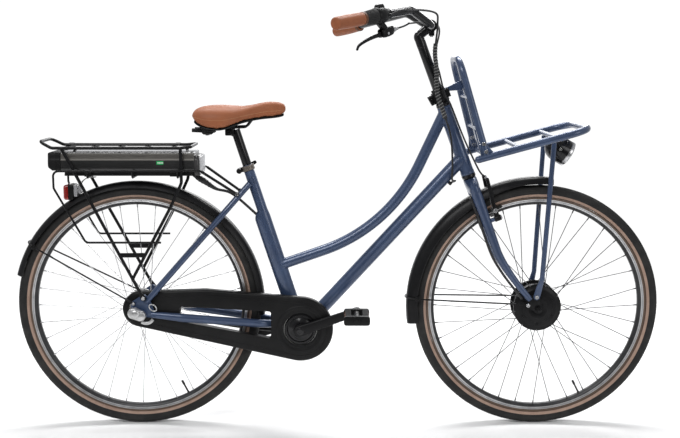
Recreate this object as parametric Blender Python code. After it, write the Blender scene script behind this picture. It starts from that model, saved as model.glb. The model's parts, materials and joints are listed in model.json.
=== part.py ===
# Electric city bicycle: low curved frame, motor in the front hub, battery under the rear rack,
# front carrier on the fork. Metres; +X forward, +Y to the rider's left, +Z up.
# The origin is on the ground, halfway along the bicycle.

from math import asin, atan2, ceil, cos, pi, radians, sin, sqrt, tan

import bmesh
import bpy
from mathutils import Matrix, Vector

X, Y, Z = Vector((1, 0, 0)), Vector((0, 1, 0)), Vector((0, 0, 1))
RIGHT, LEFT = -1, 1

# Clearances
TOUCH = 0.0003
RUNNING = 0.0006
STEEL_SHEET = 0.0015

# Wheels, for 28 inch tyres on 622 mm rims
WHEELBASE = 1.150
RIM_RADIUS = 0.3175
TYRE_HEIGHT = 0.0345
TYRE_WIDTH = 0.042
TYRE_RADIUS = RIM_RADIUS + TYRE_HEIGHT
RIM_DEPTH = 0.0215
RIM_WIDTH = 0.026
WHEEL_SIDES = 48
SPOKE_COUNT = 36
SPOKE_RADIUS = 0.0011
AXLE_RADIUS = 0.005
FRONT_HUB_WIDTH = 0.100
REAR_HUB_WIDTH = 0.132
MOTOR_RADIUS = 0.0655
MOTOR_WIDTH = 0.084
GEAR_HUB_RADIUS = 0.043
FLANGE_SPACING = 0.056

# Frame
CRANK_DROP = 0.059
CRANK_AHEAD_OF_TYRE = 0.1157
CHAINSTAY_REACH = TYRE_RADIUS + CRANK_AHEAD_OF_TYRE
SEAT_ANGLE = radians(72.1)
SEAT_TUBE_LENGTH = 0.492
SEAT_TUBE_RADIUS = 0.0150
HEAD_ANGLE = radians(69.4)
HEAD_TUBE_LENGTH = 0.206
HEAD_TUBE_RADIUS = 0.0190
HEAD_BORE = 0.0170
TOP_TUBE_RADIUS = 0.0155
TOP_TUBE_LOW = 0.1975
TOP_TUBE_LOW_TILT = radians(22.5)
TOP_TUBE_HIGH_TILT = radians(62.9)
TOP_TUBE_BEND = 0.465
TOP_TUBE_BELOW_HEAD_TOP = 0.027
DOWN_TUBE_RADIUS = 0.0195
DOWN_TUBE_LEAD = 0.0145
DOWN_TUBE_ABOVE_HEAD_BASE = 0.0495
SWELL_DEPTH = 0.023
SWELL_WIDTH = 0.0175
SWELL_SHIFT = 0.006
SWELL_TOP = 0.358
SWELL_TAPER = 0.022
BRACKET_SHELL_RADIUS = 0.0215
BRACKET_SHELL_WIDTH = 0.068
BRACKET_BORE = 0.0178
SEAT_STAY_RADIUS = 0.0085
SEAT_STAY_TOP = 0.440
CHAINSTAY_RADIUS = 0.0088
DROPOUT_SHEET = 0.005
RACK_BOLT = (0.0245, 0.0385)

# Steering
FORK_RAKE = 0.0552
CROWN_HEIGHT = 0.040
CROWN_CLEARANCE = 0.004
HEADSET_STACK = 0.013
STEERER_RADIUS = 0.0143
STEERER_BORE = 0.0129
QUILL_RADIUS = 0.0124
BLADE_SPACING = 0.043
BLADE_DEPTH = 0.0155
BLADE_WIDTH = 0.0112
BLADE_TIP_DEPTH = 0.0078
BLADE_TIP_WIDTH = 0.0055
RAKE_START = 0.20
BLADE_END = 0.034
STEM_RISE = 0.859
STEM_REACH = 0.040
BAR_RADIUS = 0.0111
BAR_HALF_WIDTH = 0.315
BAR_BACKSWEEP = 0.263
BAR_RISE = 0.040
GRIP_LENGTH = 0.108
SLEEVE_LENGTH = 0.042
GRIP_RADIUS = 0.0165

# Mudguards
REAR_GUARD_GAP = 0.012
FRONT_GUARD_GAP = 0.025
REAR_GUARD_RADIUS = TYRE_RADIUS + REAR_GUARD_GAP
FRONT_GUARD_RADIUS = TYRE_RADIUS + FRONT_GUARD_GAP
GUARD_WIDTH = 0.058
GUARD_CROWN = 0.017
REAR_GUARD_TAIL = radians(165)
REAR_GUARD_NOSE = radians(-4)
FRONT_GUARD_NOSE = radians(84)
FRONT_GUARD_TAIL = radians(188)

# Drive
CHAINRING_TEETH = 38
SPROCKET_TEETH = 16
CHAIN_PITCH = 0.0127
CHAINLINE = 0.047
CHAIN_WIDTH = 0.0070
CRANK_LENGTH = 0.170
CRANK_TILT = radians(19.5)
CRANK_TREAD = 0.0600
CRANK_AXLE_RADIUS = 0.0085
PEDAL_LENGTH = 0.072
PEDAL_WIDTH = 0.098
PEDAL_THICKNESS = 0.026

# Chain case
CASE_WALL = 0.002
CASE_OUTSIDE = 0.058
CASE_INSIDE = 0.0372
CASE_REAR_RADIUS = 0.052
CASE_REAR_LEAD = 0.011
CASE_FRONT_RADIUS = 0.094
CASE_CROWN_RADIUS = 0.061
CASE_CRANK_OPENING = 0.048
CASE_SLOT_FROM_AXLE = 0.124
CASE_SLOT_TO_CRANK = 0.0842

# Seat
POST_RADIUS = 0.0132
POST_BORE = 0.0138
POST_BELOW_TUBE_TOP = 0.150
POST_ABOVE_TUBE_TOP = 0.1055
SADDLE_LENGTH = 0.265
SADDLE_BEHIND = 0.1072
SADDLE_ARCH = 0.0155

# Rear rack and battery
RACK_HALF_WIDTH = 0.065
RACK_ABOVE_TYRE = 0.1105
RACK_TOP = TYRE_RADIUS * 2 + RACK_ABOVE_TYRE
RACK_LENGTH = 0.331
RACK_ROD = 0.0045
GUARD_ROD = 0.0030
CRADLE_DROP = 0.0195
LOWER_RAIL_DROP = 0.0635
BATTERY_HALF_WIDTH = 0.055
BATTERY_LENGTH = 0.4107
BATTERY_HEIGHT = 0.0513
DOCK_HEIGHT = 0.0150

# Front carrier
CARRIER_HALF_WIDTH = 0.130
CARRIER_TILT = radians(15.2)
CARRIER_DEPTH = 0.315
CARRIER_TUBE = 0.0080
BACKREST_TUBE = 0.0095
BACKREST_ALONG = 0.024
BACKREST_TILT = radians(15.9)
BACKREST_HEIGHT = 0.276
BACKREST_TOP_HALF_WIDTH = 0.085
RUNG_HEIGHT = 0.166
STRUT_RADIUS = 0.0070
STRUT_BAR_SETBACK = 0.092
LAMP_RADIUS = 0.0365

# Places that follow from the sizes above
TAIL_REACH = max(TYRE_RADIUS, -REAR_GUARD_RADIUS * cos(REAR_GUARD_TAIL))
REAR = Vector(((TAIL_REACH - WHEELBASE - TYRE_RADIUS) / 2, 0, TYRE_RADIUS))
FRONT = REAR + X * WHEELBASE
CRANK = REAR + X * CHAINSTAY_REACH - Z * CRANK_DROP
SEAT_UP = Vector((-cos(SEAT_ANGLE), 0, sin(SEAT_ANGLE)))
SEAT_FORWARD = Vector((sin(SEAT_ANGLE), 0, cos(SEAT_ANGLE)))
STEER_UP = Vector((-cos(HEAD_ANGLE), 0, sin(HEAD_ANGLE)))
STEER_FORWARD = Vector((sin(HEAD_ANGLE), 0, cos(HEAD_ANGLE)))
STEER_FOOT = FRONT - STEER_FORWARD * FORK_RAKE
CROWN_BASE = sqrt((FRONT_GUARD_RADIUS + CROWN_CLEARANCE) ** 2 - FORK_RAKE**2)
CROWN_TOP = CROWN_BASE + CROWN_HEIGHT
HEAD_BASE = CROWN_TOP + HEADSET_STACK
HEAD_TOP = HEAD_BASE + HEAD_TUBE_LENGTH
COLLAR_BASE = HEAD_TOP + HEADSET_STACK
COLLAR_TOP = COLLAR_BASE + 0.020
STEERER_TOP = COLLAR_TOP + 0.001
CHAINRING_RADIUS = CHAIN_PITCH / (2 * sin(pi / CHAINRING_TEETH))
SPROCKET_RADIUS = CHAIN_PITCH / (2 * sin(pi / SPROCKET_TEETH))
BAR_CENTRE = STEER_FOOT + STEER_UP * STEM_RISE + STEER_FORWARD * STEM_REACH


def on_steer(up, forward=0.0, side=0.0):
    return STEER_FOOT + STEER_UP * up + STEER_FORWARD * forward + Y * side


def on_seat(up, forward=0.0, side=0.0):
    return CRANK + SEAT_UP * up + SEAT_FORWARD * forward + Y * side


# Sections and outlines

def oval(wide, high, sides, phase=0.5):
    """Points of an ellipse, with a flat at each quarter when phase is a half."""
    turns = [2 * pi * (k + phase) / sides for k in range(sides)]
    return [(wide * cos(t), high * sin(t)) for t in turns]


def circle(radius, sides):
    return oval(radius, radius, sides)


def bar(wide, high, corner=0.0):
    """A rectangle, with its corners cut off if corner is given."""
    w, h, c = wide / 2, high / 2, corner
    if not c:
        return [(-w, -h), (w, -h), (w, h), (-w, h)]
    return [(-w + c, -h), (w - c, -h), (w, -h + c), (w, h - c),
            (w - c, h), (-w + c, h), (-w, h - c), (-w, -h + c)]


def belt(circles, steps=20):
    """The outline that a belt makes round circles, each given as (x, z, radius)."""
    spots = set()
    for x, z, radius in circles:
        for k in range(steps):
            t = 2 * pi * (k + 0.5) / steps
            spots.add((round(x + radius * cos(t), 7), round(z + radius * sin(t), 7)))
    spots = sorted(spots)

    def half(run):
        chain = []
        for spot in run:
            while len(chain) > 1 and turn_of(chain[-2], chain[-1], spot) <= 1e-12:
                chain.pop()
            chain.append(spot)
        return chain[:-1]

    return half(spots) + half(spots[::-1])


def turn_of(a, b, c):
    return (b[0] - a[0]) * (c[1] - a[1]) - (b[1] - a[1]) * (c[0] - a[0])


def mix(a, b, share):
    return a + (b - a) * share


def spread(count, low, high):
    """Evenly spaced numbers from low to high."""
    return [mix(low, high, k / (count - 1)) for k in range(count)]


def rounded_path(corners, radius, turn=18):
    """A path through corners, each one replaced by an arc."""
    path = [corners[0]]
    for before, corner, after in zip(corners, corners[1:], corners[2:]):
        back, on = (before - corner).normalized(), (after - corner).normalized()
        half = back.angle(on) / 2
        centre = corner + (back + on).normalized() * radius / sin(half)
        start = corner + back * radius / tan(half) - centre
        end = corner + on * radius / tan(half) - centre
        axis = start.cross(end).normalized()
        swing = pi - 2 * half
        count = max(1, ceil(swing / radians(turn)))
        for k in range(count + 1):
            path.append(centre + Matrix.Rotation(swing * k / count, 4, axis) @ start)
    return path + [corners[-1]]


def smooth_path(knots, steps=3):
    """A smooth curve through its knots."""
    path = []
    for i in range(len(knots) - 1):
        p0 = knots[max(i - 1, 0)]
        p1, p2 = knots[i], knots[i + 1]
        p3 = knots[min(i + 2, len(knots) - 1)]
        for k in range(steps):
            t = k / steps
            path.append(
                (p1 * 2 + (p2 - p0) * t + (p0 * 2 - p1 * 5 + p2 * 4 - p3) * t * t
                 + (p1 * 3 - p0 - p2 * 3 + p3) * t**3) / 2
            )
    return path + [knots[-1]]


# Solids, each held as a bmesh until it becomes an object

def loft(rings, loop=False):
    """A skin over rings of equally many points, capped unless it closes on itself."""
    shape = bmesh.new()
    rows = [[shape.verts.new(point) for point in ring] for ring in rings]
    pairs = list(zip(rows, rows[1:]))
    if loop:
        pairs.append((rows[-1], rows[0]))
    for low, high in pairs:
        for i in range(len(low)):
            j = (i + 1) % len(low)
            shape.faces.new((low[i], low[j], high[j], high[i]))
    if not loop:
        shape.faces.new(rows[0])
        shape.faces.new(rows[-1])
    bmesh.ops.recalc_face_normals(shape, faces=shape.faces)
    return shape


def sweep(points, section, side=Y, scales=None):
    """One section along a path, mitred at each bend. Its first width lies along side."""
    steps = [(b - a).normalized() for a, b in zip(points, points[1:])]
    across = (side - steps[0] * side.dot(steps[0])).normalized()
    upward = steps[0].cross(across)
    offsets = [across * u + upward * v for u, v in section]
    scales = scales or [1] * len(points)
    rings = [[points[0] + offset * scales[0] for offset in offsets]]
    for i in range(1, len(points)):
        step = steps[i - 1]
        cut_plane = (step + steps[i]).normalized() if i < len(steps) else step
        lean = step.dot(cut_plane)
        offsets = [offset - step * (offset.dot(cut_plane) / lean) for offset in offsets]
        rings.append([points[i] + offset * scales[i] for offset in offsets])
    return loft(rings)


def sweep_loop(points, section):
    """One section round a closed path that lies square to Y. Its second size points outward."""
    count = len(points)
    steps = [(points[(i + 1) % count] - points[i]).normalized() for i in range(count)]
    rings = []
    for i, point in enumerate(points):
        along = (steps[i - 1] + steps[i]).normalized()
        outward = Y.cross(along) / steps[i].dot(along)
        rings.append([point + Y * u + outward * v for u, v in section])
    return loft(rings, loop=True)


def turned(profile, origin, axis, sides, hollow=False):
    """A turned piece from (distance along the axis, radius) pairs."""
    first = X if abs(axis.dot(Y)) > 0.9 else Y
    first = (first - axis * first.dot(axis)).normalized()
    second = axis.cross(first)
    rings = [
        [origin + axis * along + first * u + second * v for u, v in circle(radius, sides)]
        for along, radius in profile
    ]
    return loft(rings, loop=hollow)


def pipe(origin, axis, low, high, outer, inner, sides):
    """A turned sleeve from low to high along its axis."""
    profile = [(low, inner), (low, outer), (high, outer), (high, inner)]
    return turned(profile, origin, axis, sides, hollow=True)


def rod(start, end, radius, sides=8):
    return turned([(0, radius), ((end - start).length, radius)], start, (end - start).normalized(), sides)


def slab(outline, low, high):
    """An outline of (x, z) pairs, made thick from y = low to y = high."""
    return loft([[Vector((x, y, z)) for x, z in outline] for y in (low, high)])


def block(centre, size, turn=0.0):
    """A box, turned nose up about Y by turn."""
    shape = bmesh.new()
    place = Matrix.Translation(centre) @ Matrix.Rotation(-turn, 4, "Y") @ Matrix.Diagonal((*size, 1))
    bmesh.ops.create_cube(shape, size=1, matrix=place)
    return shape


def mirrored(shape):
    """The same shape on the other side of the bicycle."""
    other = shape.copy()
    bmesh.ops.scale(other, vec=(1, -1, 1), verts=other.verts)
    bmesh.ops.reverse_faces(other, faces=other.faces)
    return other


def scratch_object(name, shape):
    mesh = bpy.data.meshes.new(name)
    shape.to_mesh(mesh)
    shape.free()
    return bpy.data.objects.new(name, mesh)


def carve(operation, base, tools):
    """Base joined with tools, or cut by them, as one body."""
    host = scratch_object("host", base)
    bpy.context.scene.collection.objects.link(host)
    group = bpy.data.collections.new("tools")
    for tool in tools:
        group.objects.link(scratch_object("tool", tool))
    step = host.modifiers.new("carve", "BOOLEAN")
    step.operation = operation
    step.solver = "EXACT"
    step.operand_type = "COLLECTION"
    step.collection = group
    graph = bpy.context.evaluated_depsgraph_get()
    mesh = bpy.data.meshes.new_from_object(host.evaluated_get(graph))
    shape = bmesh.new()
    shape.from_mesh(mesh)
    bmesh.ops.remove_doubles(shape, verts=shape.verts, dist=1e-6)
    bmesh.ops.dissolve_degenerate(shape, edges=shape.edges, dist=1e-6)
    for spent in [host, *group.objects]:
        old = spent.data
        bpy.data.objects.remove(spent)
        bpy.data.meshes.remove(old)
    bpy.data.meshes.remove(mesh)
    bpy.data.collections.remove(group)
    return shape


def joined(base, *others):
    return carve("UNION", base, others)


def cut(base, *tools):
    return carve("DIFFERENCE", base, tools)


# Looks and placing

def look(name, colour, roughness, metallic=0.0):
    material = bpy.data.materials.new(name)
    material.use_nodes = True
    shader = material.node_tree.nodes["Principled BSDF"]
    shader.inputs["Base Color"].default_value = (*colour, 1)
    shader.inputs["Roughness"].default_value = roughness
    shader.inputs["Metallic"].default_value = metallic
    return material


PIVOTS = {}


def add_body(name, place, carrier=None):
    """An empty on a joint's axis, which carries the pieces that move about it."""
    empty = bpy.data.objects.new("body_" + name, None)
    bpy.context.scene.collection.objects.link(empty)
    empty.empty_display_size = 0.03
    empty.location = place
    if carrier:
        parent, parent_place = PIVOTS[carrier]
        empty.parent = parent
        empty.location = place - parent_place
    PIVOTS[name] = (empty, place)


def piece(name, shape, finish, body, crease=35):
    """One named sub-part, standing where its body's joint is."""
    empty, place = PIVOTS[body]
    bmesh.ops.translate(shape, vec=-place, verts=shape.verts)
    mesh = bpy.data.meshes.new(name)
    shape.to_mesh(mesh)
    shape.free()
    mesh.materials.append(finish)
    mesh.shade_smooth()
    mesh.set_sharp_from_angle(angle=radians(crease))
    part = bpy.data.objects.new(name, mesh)
    bpy.context.scene.collection.objects.link(part)
    part.parent = empty
    return part


# Frame

def crossing(start, start_tilt, end, end_tilt):
    """Where a line rising from start meets the line that rises to end."""
    a, b = Vector((cos(start_tilt), 0, sin(start_tilt))), Vector((cos(end_tilt), 0, sin(end_tilt)))
    across = end - start
    share = (across.x * b.z - across.z * b.x) / (a.x * b.z - a.z * b.x)
    return start + a * share


def seat_tube():
    """The slim upper tube, on a deeper lower tube that houses wiring."""
    upper = turned([(0, SEAT_TUBE_RADIUS), (SEAT_TUBE_LENGTH, SEAT_TUBE_RADIUS)], CRANK, SEAT_UP, 14)
    steps = [
        (0, SWELL_DEPTH, SWELL_WIDTH, SWELL_SHIFT),
        (SWELL_TOP - SWELL_TAPER, SWELL_DEPTH, SWELL_WIDTH, SWELL_SHIFT),
        (SWELL_TOP, SEAT_TUBE_RADIUS * 0.94, SEAT_TUBE_RADIUS * 0.94, 0),
    ]
    rings = []
    for up, depth, width, shift in steps:
        centre = on_seat(up, -shift)
        rings.append([centre + SEAT_FORWARD * u + Y * v for u, v in oval(depth, width, 14)])
    return upper, loft(rings)


def top_tube():
    low = on_seat(TOP_TUBE_LOW)
    high = on_steer(HEAD_TOP - TOP_TUBE_BELOW_HEAD_TOP)
    corner = crossing(low, TOP_TUBE_LOW_TILT, high, TOP_TUBE_HIGH_TILT)
    path = rounded_path([low, corner, high], TOP_TUBE_BEND, turn=6)
    return sweep(path, circle(TOP_TUBE_RADIUS, 12))


def stay_places():
    """Feet of the right rear stays, measured from the rear axle."""
    side = Y * -(REAR_HUB_WIDTH + DROPOUT_SHEET) / 2
    return REAR + Vector((0.033, 0, 0.028)) + side, REAR + Vector((0.047, 0, -0.012)) + side


def stay_point(x):
    """A point of the right chainstay's middle line."""
    foot = stay_places()[1]
    beside_tyre = -(TYRE_WIDTH / 2 + CHAINSTAY_RADIUS + 0.007)
    knots = [
        (foot.x, foot.y), (REAR.x + 0.130, foot.y), (REAR.x + TYRE_RADIUS, beside_tyre),
        (REAR.x + TYRE_RADIUS + 0.030, -0.0262), (CRANK.x, -0.0240),
    ]
    drop = (foot.z - CRANK.z) / (CRANK.x - foot.x)
    for (x0, y0), (x1, y1) in zip(knots, knots[1:]):
        if x <= x1:
            break
    return Vector((x, mix(y0, y1, (x - x0) / (x1 - x0)), CRANK.z + (CRANK.x - x) * drop))


def rear_triangle():
    """Right seat stay, chainstay and dropout, with the bridges that join the two sides."""
    seat_foot, chain_foot = stay_places()
    seat_top = on_seat(SEAT_STAY_TOP, 0, -0.017)
    knee = mix(seat_foot, seat_top, 0.78)
    knee.y = -0.046
    seat_stay = sweep([seat_foot, knee, seat_top], circle(SEAT_STAY_RADIUS, 10))
    stay = [stay_point(x) for x in (chain_foot.x, REAR.x + 0.130, REAR.x + TYRE_RADIUS,
                                    REAR.x + TYRE_RADIUS + 0.030, CRANK.x)]
    chainstay = sweep(stay, circle(CHAINSTAY_RADIUS, 10), side=Z)
    plate = belt([
        (REAR.x, REAR.z, 0.014), (REAR.x - 0.005, REAR.z + 0.021, 0.007),
        (REAR.x + RACK_BOLT[0], REAR.z + RACK_BOLT[1], 0.008),
        (seat_foot.x, seat_foot.z, 0.009), (chain_foot.x, chain_foot.z, 0.009),
    ], 12)
    dropout = slab(plate, seat_foot.y - DROPOUT_SHEET / 2, seat_foot.y + DROPOUT_SHEET / 2)
    bridge_top = mix(seat_foot, seat_top, 0.80)
    bridge_top.y = 0
    seat_bridge = rod(bridge_top - Y * 0.046, bridge_top + Y * 0.046, 0.006)
    bridge_low = Vector((REAR.x + TYRE_RADIUS + 0.066, 0, CRANK.z + 0.007))
    chain_bridge = rod(bridge_low - Y * 0.026, bridge_low + Y * 0.026, 0.007)
    stand_plate = block(bridge_low - Z * 0.011, (0.040, 0.056, 0.006))
    return seat_stay, chainstay, dropout, seat_bridge, chain_bridge, stand_plate


def frame_shape():
    shell = turned(
        [(-BRACKET_SHELL_WIDTH / 2, BRACKET_SHELL_RADIUS), (BRACKET_SHELL_WIDTH / 2, BRACKET_SHELL_RADIUS)],
        CRANK, Y, 20,
    )
    head = turned([(HEAD_BASE, HEAD_TUBE_RADIUS), (HEAD_TOP, HEAD_TUBE_RADIUS)], STEER_FOOT, STEER_UP, 18)
    down = sweep(
        [CRANK + X * DOWN_TUBE_LEAD, on_steer(HEAD_BASE + DOWN_TUBE_ABOVE_HEAD_BASE)],
        circle(DOWN_TUBE_RADIUS, 14),
    )
    upper, lower = seat_tube()
    right = rear_triangle()
    left = [mirrored(part) for part in right[:3]]
    whole = joined(shell, head, down, upper, lower, top_tube(), *right, *left)
    axle_hole = AXLE_RADIUS + RUNNING
    return cut(
        whole,
        turned([(HEAD_BASE - 0.01, HEAD_BORE), (HEAD_TOP + 0.01, HEAD_BORE)], STEER_FOOT, STEER_UP, 18),
        turned(
            [(SEAT_TUBE_LENGTH - POST_BELOW_TUBE_TOP - 0.030, POST_BORE), (SEAT_TUBE_LENGTH + 0.01, POST_BORE)],
            CRANK, SEAT_UP, 14,
        ),
        turned([(-0.05, BRACKET_BORE), (0.05, BRACKET_BORE)], CRANK, Y, 20),
        turned([(-0.1, axle_hole), (0.1, axle_hole)], REAR, Y, 10),
    )


def bottom_bracket_shape():
    """The cartridge that carries the crank axle, with a rim at each end of the shell."""
    half = BRACKET_SHELL_WIDTH / 2
    body = BRACKET_BORE - TOUCH
    rim = BRACKET_BORE + 0.0015
    bore = CRANK_AXLE_RADIUS + RUNNING
    profile = [
        (-half - 0.002, bore), (-half - 0.002, rim), (-half - TOUCH, rim), (-half - TOUCH, body),
        (half + TOUCH, body), (half + TOUCH, rim), (half + 0.003, rim), (half + 0.003, bore),
    ]
    return turned(profile, CRANK, Y, 20, hollow=True)


def headset_shape(face, away):
    """A cup whose sleeve sits in the head tube's end at face. away is 1 at the top, -1 below."""
    bore, sleeve, rim = STEERER_RADIUS + RUNNING, HEAD_BORE - TOUCH, HEAD_TUBE_RADIUS + 0.0015
    start, lip = face + away * TOUCH, face + away * (HEADSET_STACK - TOUCH)
    profile = [
        (face - away * 0.012, bore), (face - away * 0.012, sleeve), (start, sleeve), (start, rim),
        (face + away * HEADSET_STACK * 0.6, rim), (lip, rim - 0.003), (lip, bore),
    ]
    return turned(profile, STEER_FOOT, STEER_UP, 18, hollow=True)


# Steering

def blade_centre(up, side):
    """The middle of a fork blade at a height above the rake foot, on one side."""
    share = max(0.0, (RAKE_START - up) / RAKE_START)
    tip = (FRONT_HUB_WIDTH + DROPOUT_SHEET) / 2
    reach = 1 - up / CROWN_BASE
    return on_steer(up, FORK_RAKE * share**1.5, side * mix(BLADE_SPACING, tip, reach))


def strut_bolt(side):
    """Where a carrier strut is bolted to the fork end."""
    return FRONT + Vector((-0.0075, side * (FRONT_HUB_WIDTH / 2 + DROPOUT_SHEET), 0.0365))


def fork_blade(side):
    heights = [CROWN_BASE + 0.012, 0.30, 0.21, 0.165, 0.125, 0.090, 0.060, BLADE_END]
    rings = []
    for up in heights:
        share = 1 - up / CROWN_BASE
        depth, width = mix(BLADE_DEPTH, BLADE_TIP_DEPTH, share), mix(BLADE_WIDTH, BLADE_TIP_WIDTH, share)
        ahead = (blade_centre(up - 0.002, side) - blade_centre(up + 0.002, side)).normalized()
        forward = Y.cross(-ahead).normalized()
        centre = blade_centre(up, side)
        rings.append([centre + forward * u + Y * v for u, v in oval(depth, width, 10)])
    return loft(rings)


def fork_shape():
    """Steerer, crown, raked blades, fork ends and the pins of the rim brake."""
    steerer = turned([(CROWN_BASE + 0.004, STEERER_RADIUS), (STEERER_TOP, STEERER_RADIUS)],
                     STEER_FOOT, STEER_UP, 16)
    shoulder = BLADE_SPACING + BLADE_WIDTH + 0.001
    crown = loft([
        [on_steer(up, u * depth, v * width) for u, v in bar(2, 2, 0.45)]
        for up, depth, width in [
            (CROWN_BASE, 0.0165, shoulder), (CROWN_BASE + 0.022, 0.0185, shoulder),
            (CROWN_TOP, 0.0190, 0.0205),
        ]
    ])
    parts = []
    for side in (RIGHT, LEFT):
        tip = blade_centre(BLADE_END, side)
        bolt = strut_bolt(side)
        plate = belt([
            (FRONT.x, FRONT.z, 0.013), (tip.x, tip.z, 0.0085), (bolt.x, bolt.z, 0.0075),
            (FRONT.x - 0.032, FRONT.z + 0.014, 0.006),
        ], 12)
        inner = side * FRONT_HUB_WIDTH / 2
        parts.append(slab(plate, inner, inner + side * DROPOUT_SHEET))
        pin = brake_pivot(side)
        parts.append(rod(pin - STEER_FORWARD * 0.028, pin + STEER_FORWARD * 0.0115, 0.0048))
        parts.append(fork_blade(side))
    hole = AXLE_RADIUS + RUNNING
    return cut(
        joined(crown, steerer, *parts),
        turned([(CROWN_TOP, STEERER_BORE), (STEERER_TOP + 0.01, STEERER_BORE)], STEER_FOOT, STEER_UP, 16),
        turned([(-0.1, hole), (0.1, hole)], FRONT, Y, 10),
    )


def bar_corners(side):
    """Corners of the handlebar's middle line, from its centre to one end."""
    back = -BAR_BACKSWEEP
    return [
        BAR_CENTRE,
        BAR_CENTRE + Vector((0, side * 0.045, 0)),
        BAR_CENTRE + Vector((back * 0.227, side * 0.095, BAR_RISE)),
        BAR_CENTRE + Vector((back, side * BAR_HALF_WIDTH, BAR_RISE - 0.0447)),
    ]


def grip_frame(side):
    """The bar's end, the way inward along it, and the way down from it to the lever."""
    corners = bar_corners(side)
    inward = (corners[2] - corners[3]).normalized()
    down = (-Z + inward * inward.z).normalized()
    return corners[3], inward, down


def on_bar(side, inward_by, down_by=0.0, across_by=0.0):
    end, inward, down = grip_frame(side)
    return end + inward * inward_by + down * down_by + inward.cross(down) * across_by


def handlebar_shape():
    right = rounded_path(bar_corners(RIGHT), 0.040, turn=15)
    left = rounded_path(bar_corners(LEFT), 0.040, turn=15)
    return sweep(right[:0:-1] + left, circle(BAR_RADIUS, 10), side=Z)


def stem_shape():
    """Quill, adjustable knuckle, short arm and bar clamp."""
    quill = turned([(STEERER_TOP - 0.100, QUILL_RADIUS), (STEM_RISE - 0.018, QUILL_RADIUS)],
                   STEER_FOOT, STEER_UP, 14)
    knuckle_place = on_steer(STEM_RISE - 0.018)
    knuckle = turned([(-0.015, 0.0150), (0.015, 0.0150)], knuckle_place, Y, 14)
    arm = sweep([knuckle_place, BAR_CENTRE], bar(0.026, 0.024, 0.006))
    clamp = turned([(-0.020, 0.0175), (0.020, 0.0175)], BAR_CENTRE, Y, 14)
    bolt = block(BAR_CENTRE + Vector((0.004, 0, -0.020)), (0.016, 0.012, 0.014))
    inside = BAR_RADIUS + TOUCH
    bore = turned([(-0.05, inside), (0.05, inside)], BAR_CENTRE, Y, 20)
    return cut(joined(quill, knuckle, arm, clamp, bolt), bore)


def grip_shape(side, length):
    """A swelling hand grip with a closed end."""
    end, inward, _ = grip_frame(side)
    bore = BAR_RADIUS + TOUCH
    profile = [
        (-0.004, 0.012), (-0.003, GRIP_RADIUS - 0.001), (0.008, GRIP_RADIUS), (length * 0.5, GRIP_RADIUS + 0.001),
        (length - 0.006, GRIP_RADIUS), (length, GRIP_RADIUS - 0.001), (length, bore), (-TOUCH, bore),
    ]
    return turned(profile, end, inward, 14)


def shifter_sleeve_shape():
    end, inward, _ = grip_frame(RIGHT)
    bore = BAR_RADIUS + RUNNING
    start = GRIP_LENGTH + TOUCH
    stop = start + SLEEVE_LENGTH
    return turned(
        [(start, bore), (start, 0.0170), (start + 0.010, 0.0185), (stop, 0.0205), (stop, bore)],
        end, inward, 16, hollow=True,
    )


SHIFTER_START = GRIP_LENGTH + SLEEVE_LENGTH + TOUCH + RUNNING
SHIFTER_END = SHIFTER_START + 0.038


def shifter_housing_shape():
    """The fixed half of the twist shifter, with the gear window standing on top."""
    end, inward, down = grip_frame(RIGHT)
    drum = turned(
        [(SHIFTER_START, 0.0215), (SHIFTER_START + 0.022, 0.0235), (SHIFTER_END, 0.0190)], end, inward, 16,
    )
    window = loft([
        [on_bar(RIGHT, SHIFTER_START + 0.014 + u * size, -rise, v * size) for u, v in bar(1, 0.8, 0.2)]
        for rise, size in [(0.012, 0.026), (0.026, 0.024), (0.031, 0.018)]
    ])
    bore = turned([(0, BAR_RADIUS + TOUCH), (0.3, BAR_RADIUS + TOUCH)], end, inward, 16)
    return cut(joined(drum, window), bore)


BRAKE_CLAMP = SHIFTER_END + 0.010
LEVER_PIVOT = (BRAKE_CLAMP - 0.014, 0.048)


def brake_bracket_shape():
    """Clamp on the bar, forked body round the lever's root, and the cable adjuster."""
    end, inward, down = grip_frame(RIGHT)
    ring = turned([(BRAKE_CLAMP - 0.006, 0.0150), (BRAKE_CLAMP + 0.006, 0.0150)], end, inward, 14)
    neck = sweep([on_bar(RIGHT, BRAKE_CLAMP, 0.008), on_bar(RIGHT, BRAKE_CLAMP - 0.004, 0.045)],
                 bar(0.012, 0.014), side=inward)
    body = sweep([on_bar(RIGHT, BRAKE_CLAMP - 0.032, 0.047), on_bar(RIGHT, BRAKE_CLAMP + 0.014, 0.041)],
                 bar(0.024, 0.026, 0.005), side=down)
    adjuster = rod(on_bar(RIGHT, BRAKE_CLAMP + 0.008, 0.042), on_bar(RIGHT, BRAKE_CLAMP + 0.032, 0.039), 0.0045)
    bore = turned([(0, BAR_RADIUS + TOUCH), (0.35, BAR_RADIUS + TOUCH)], end, inward, 14)
    along, below = LEVER_PIVOT
    slot = sweep([on_bar(RIGHT, along - 0.040, below + 0.004), on_bar(RIGHT, along + 0.012, below + 0.004)],
                 bar(0.034, 0.0126), side=down)
    return cut(joined(ring, neck, body, adjuster), bore, slot)


def brake_lever_shape():
    """A two finger blade that bends away at its tip."""
    along, below = LEVER_PIVOT
    knots = [(0.004, -0.001), (-0.020, 0.001), (-0.044, 0.003), (-0.076, 0.0085), (-0.105, 0.017), (-0.114, 0.026)]
    path = smooth_path([on_bar(RIGHT, along + a, below + b) for a, b in knots], 2)
    widths = spread(len(path), 1.2, 0.6)
    return sweep(path, bar(0.0115, 0.0088, 0.0025), side=grip_frame(RIGHT)[2], scales=widths)


# Rim brake on the fork

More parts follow.
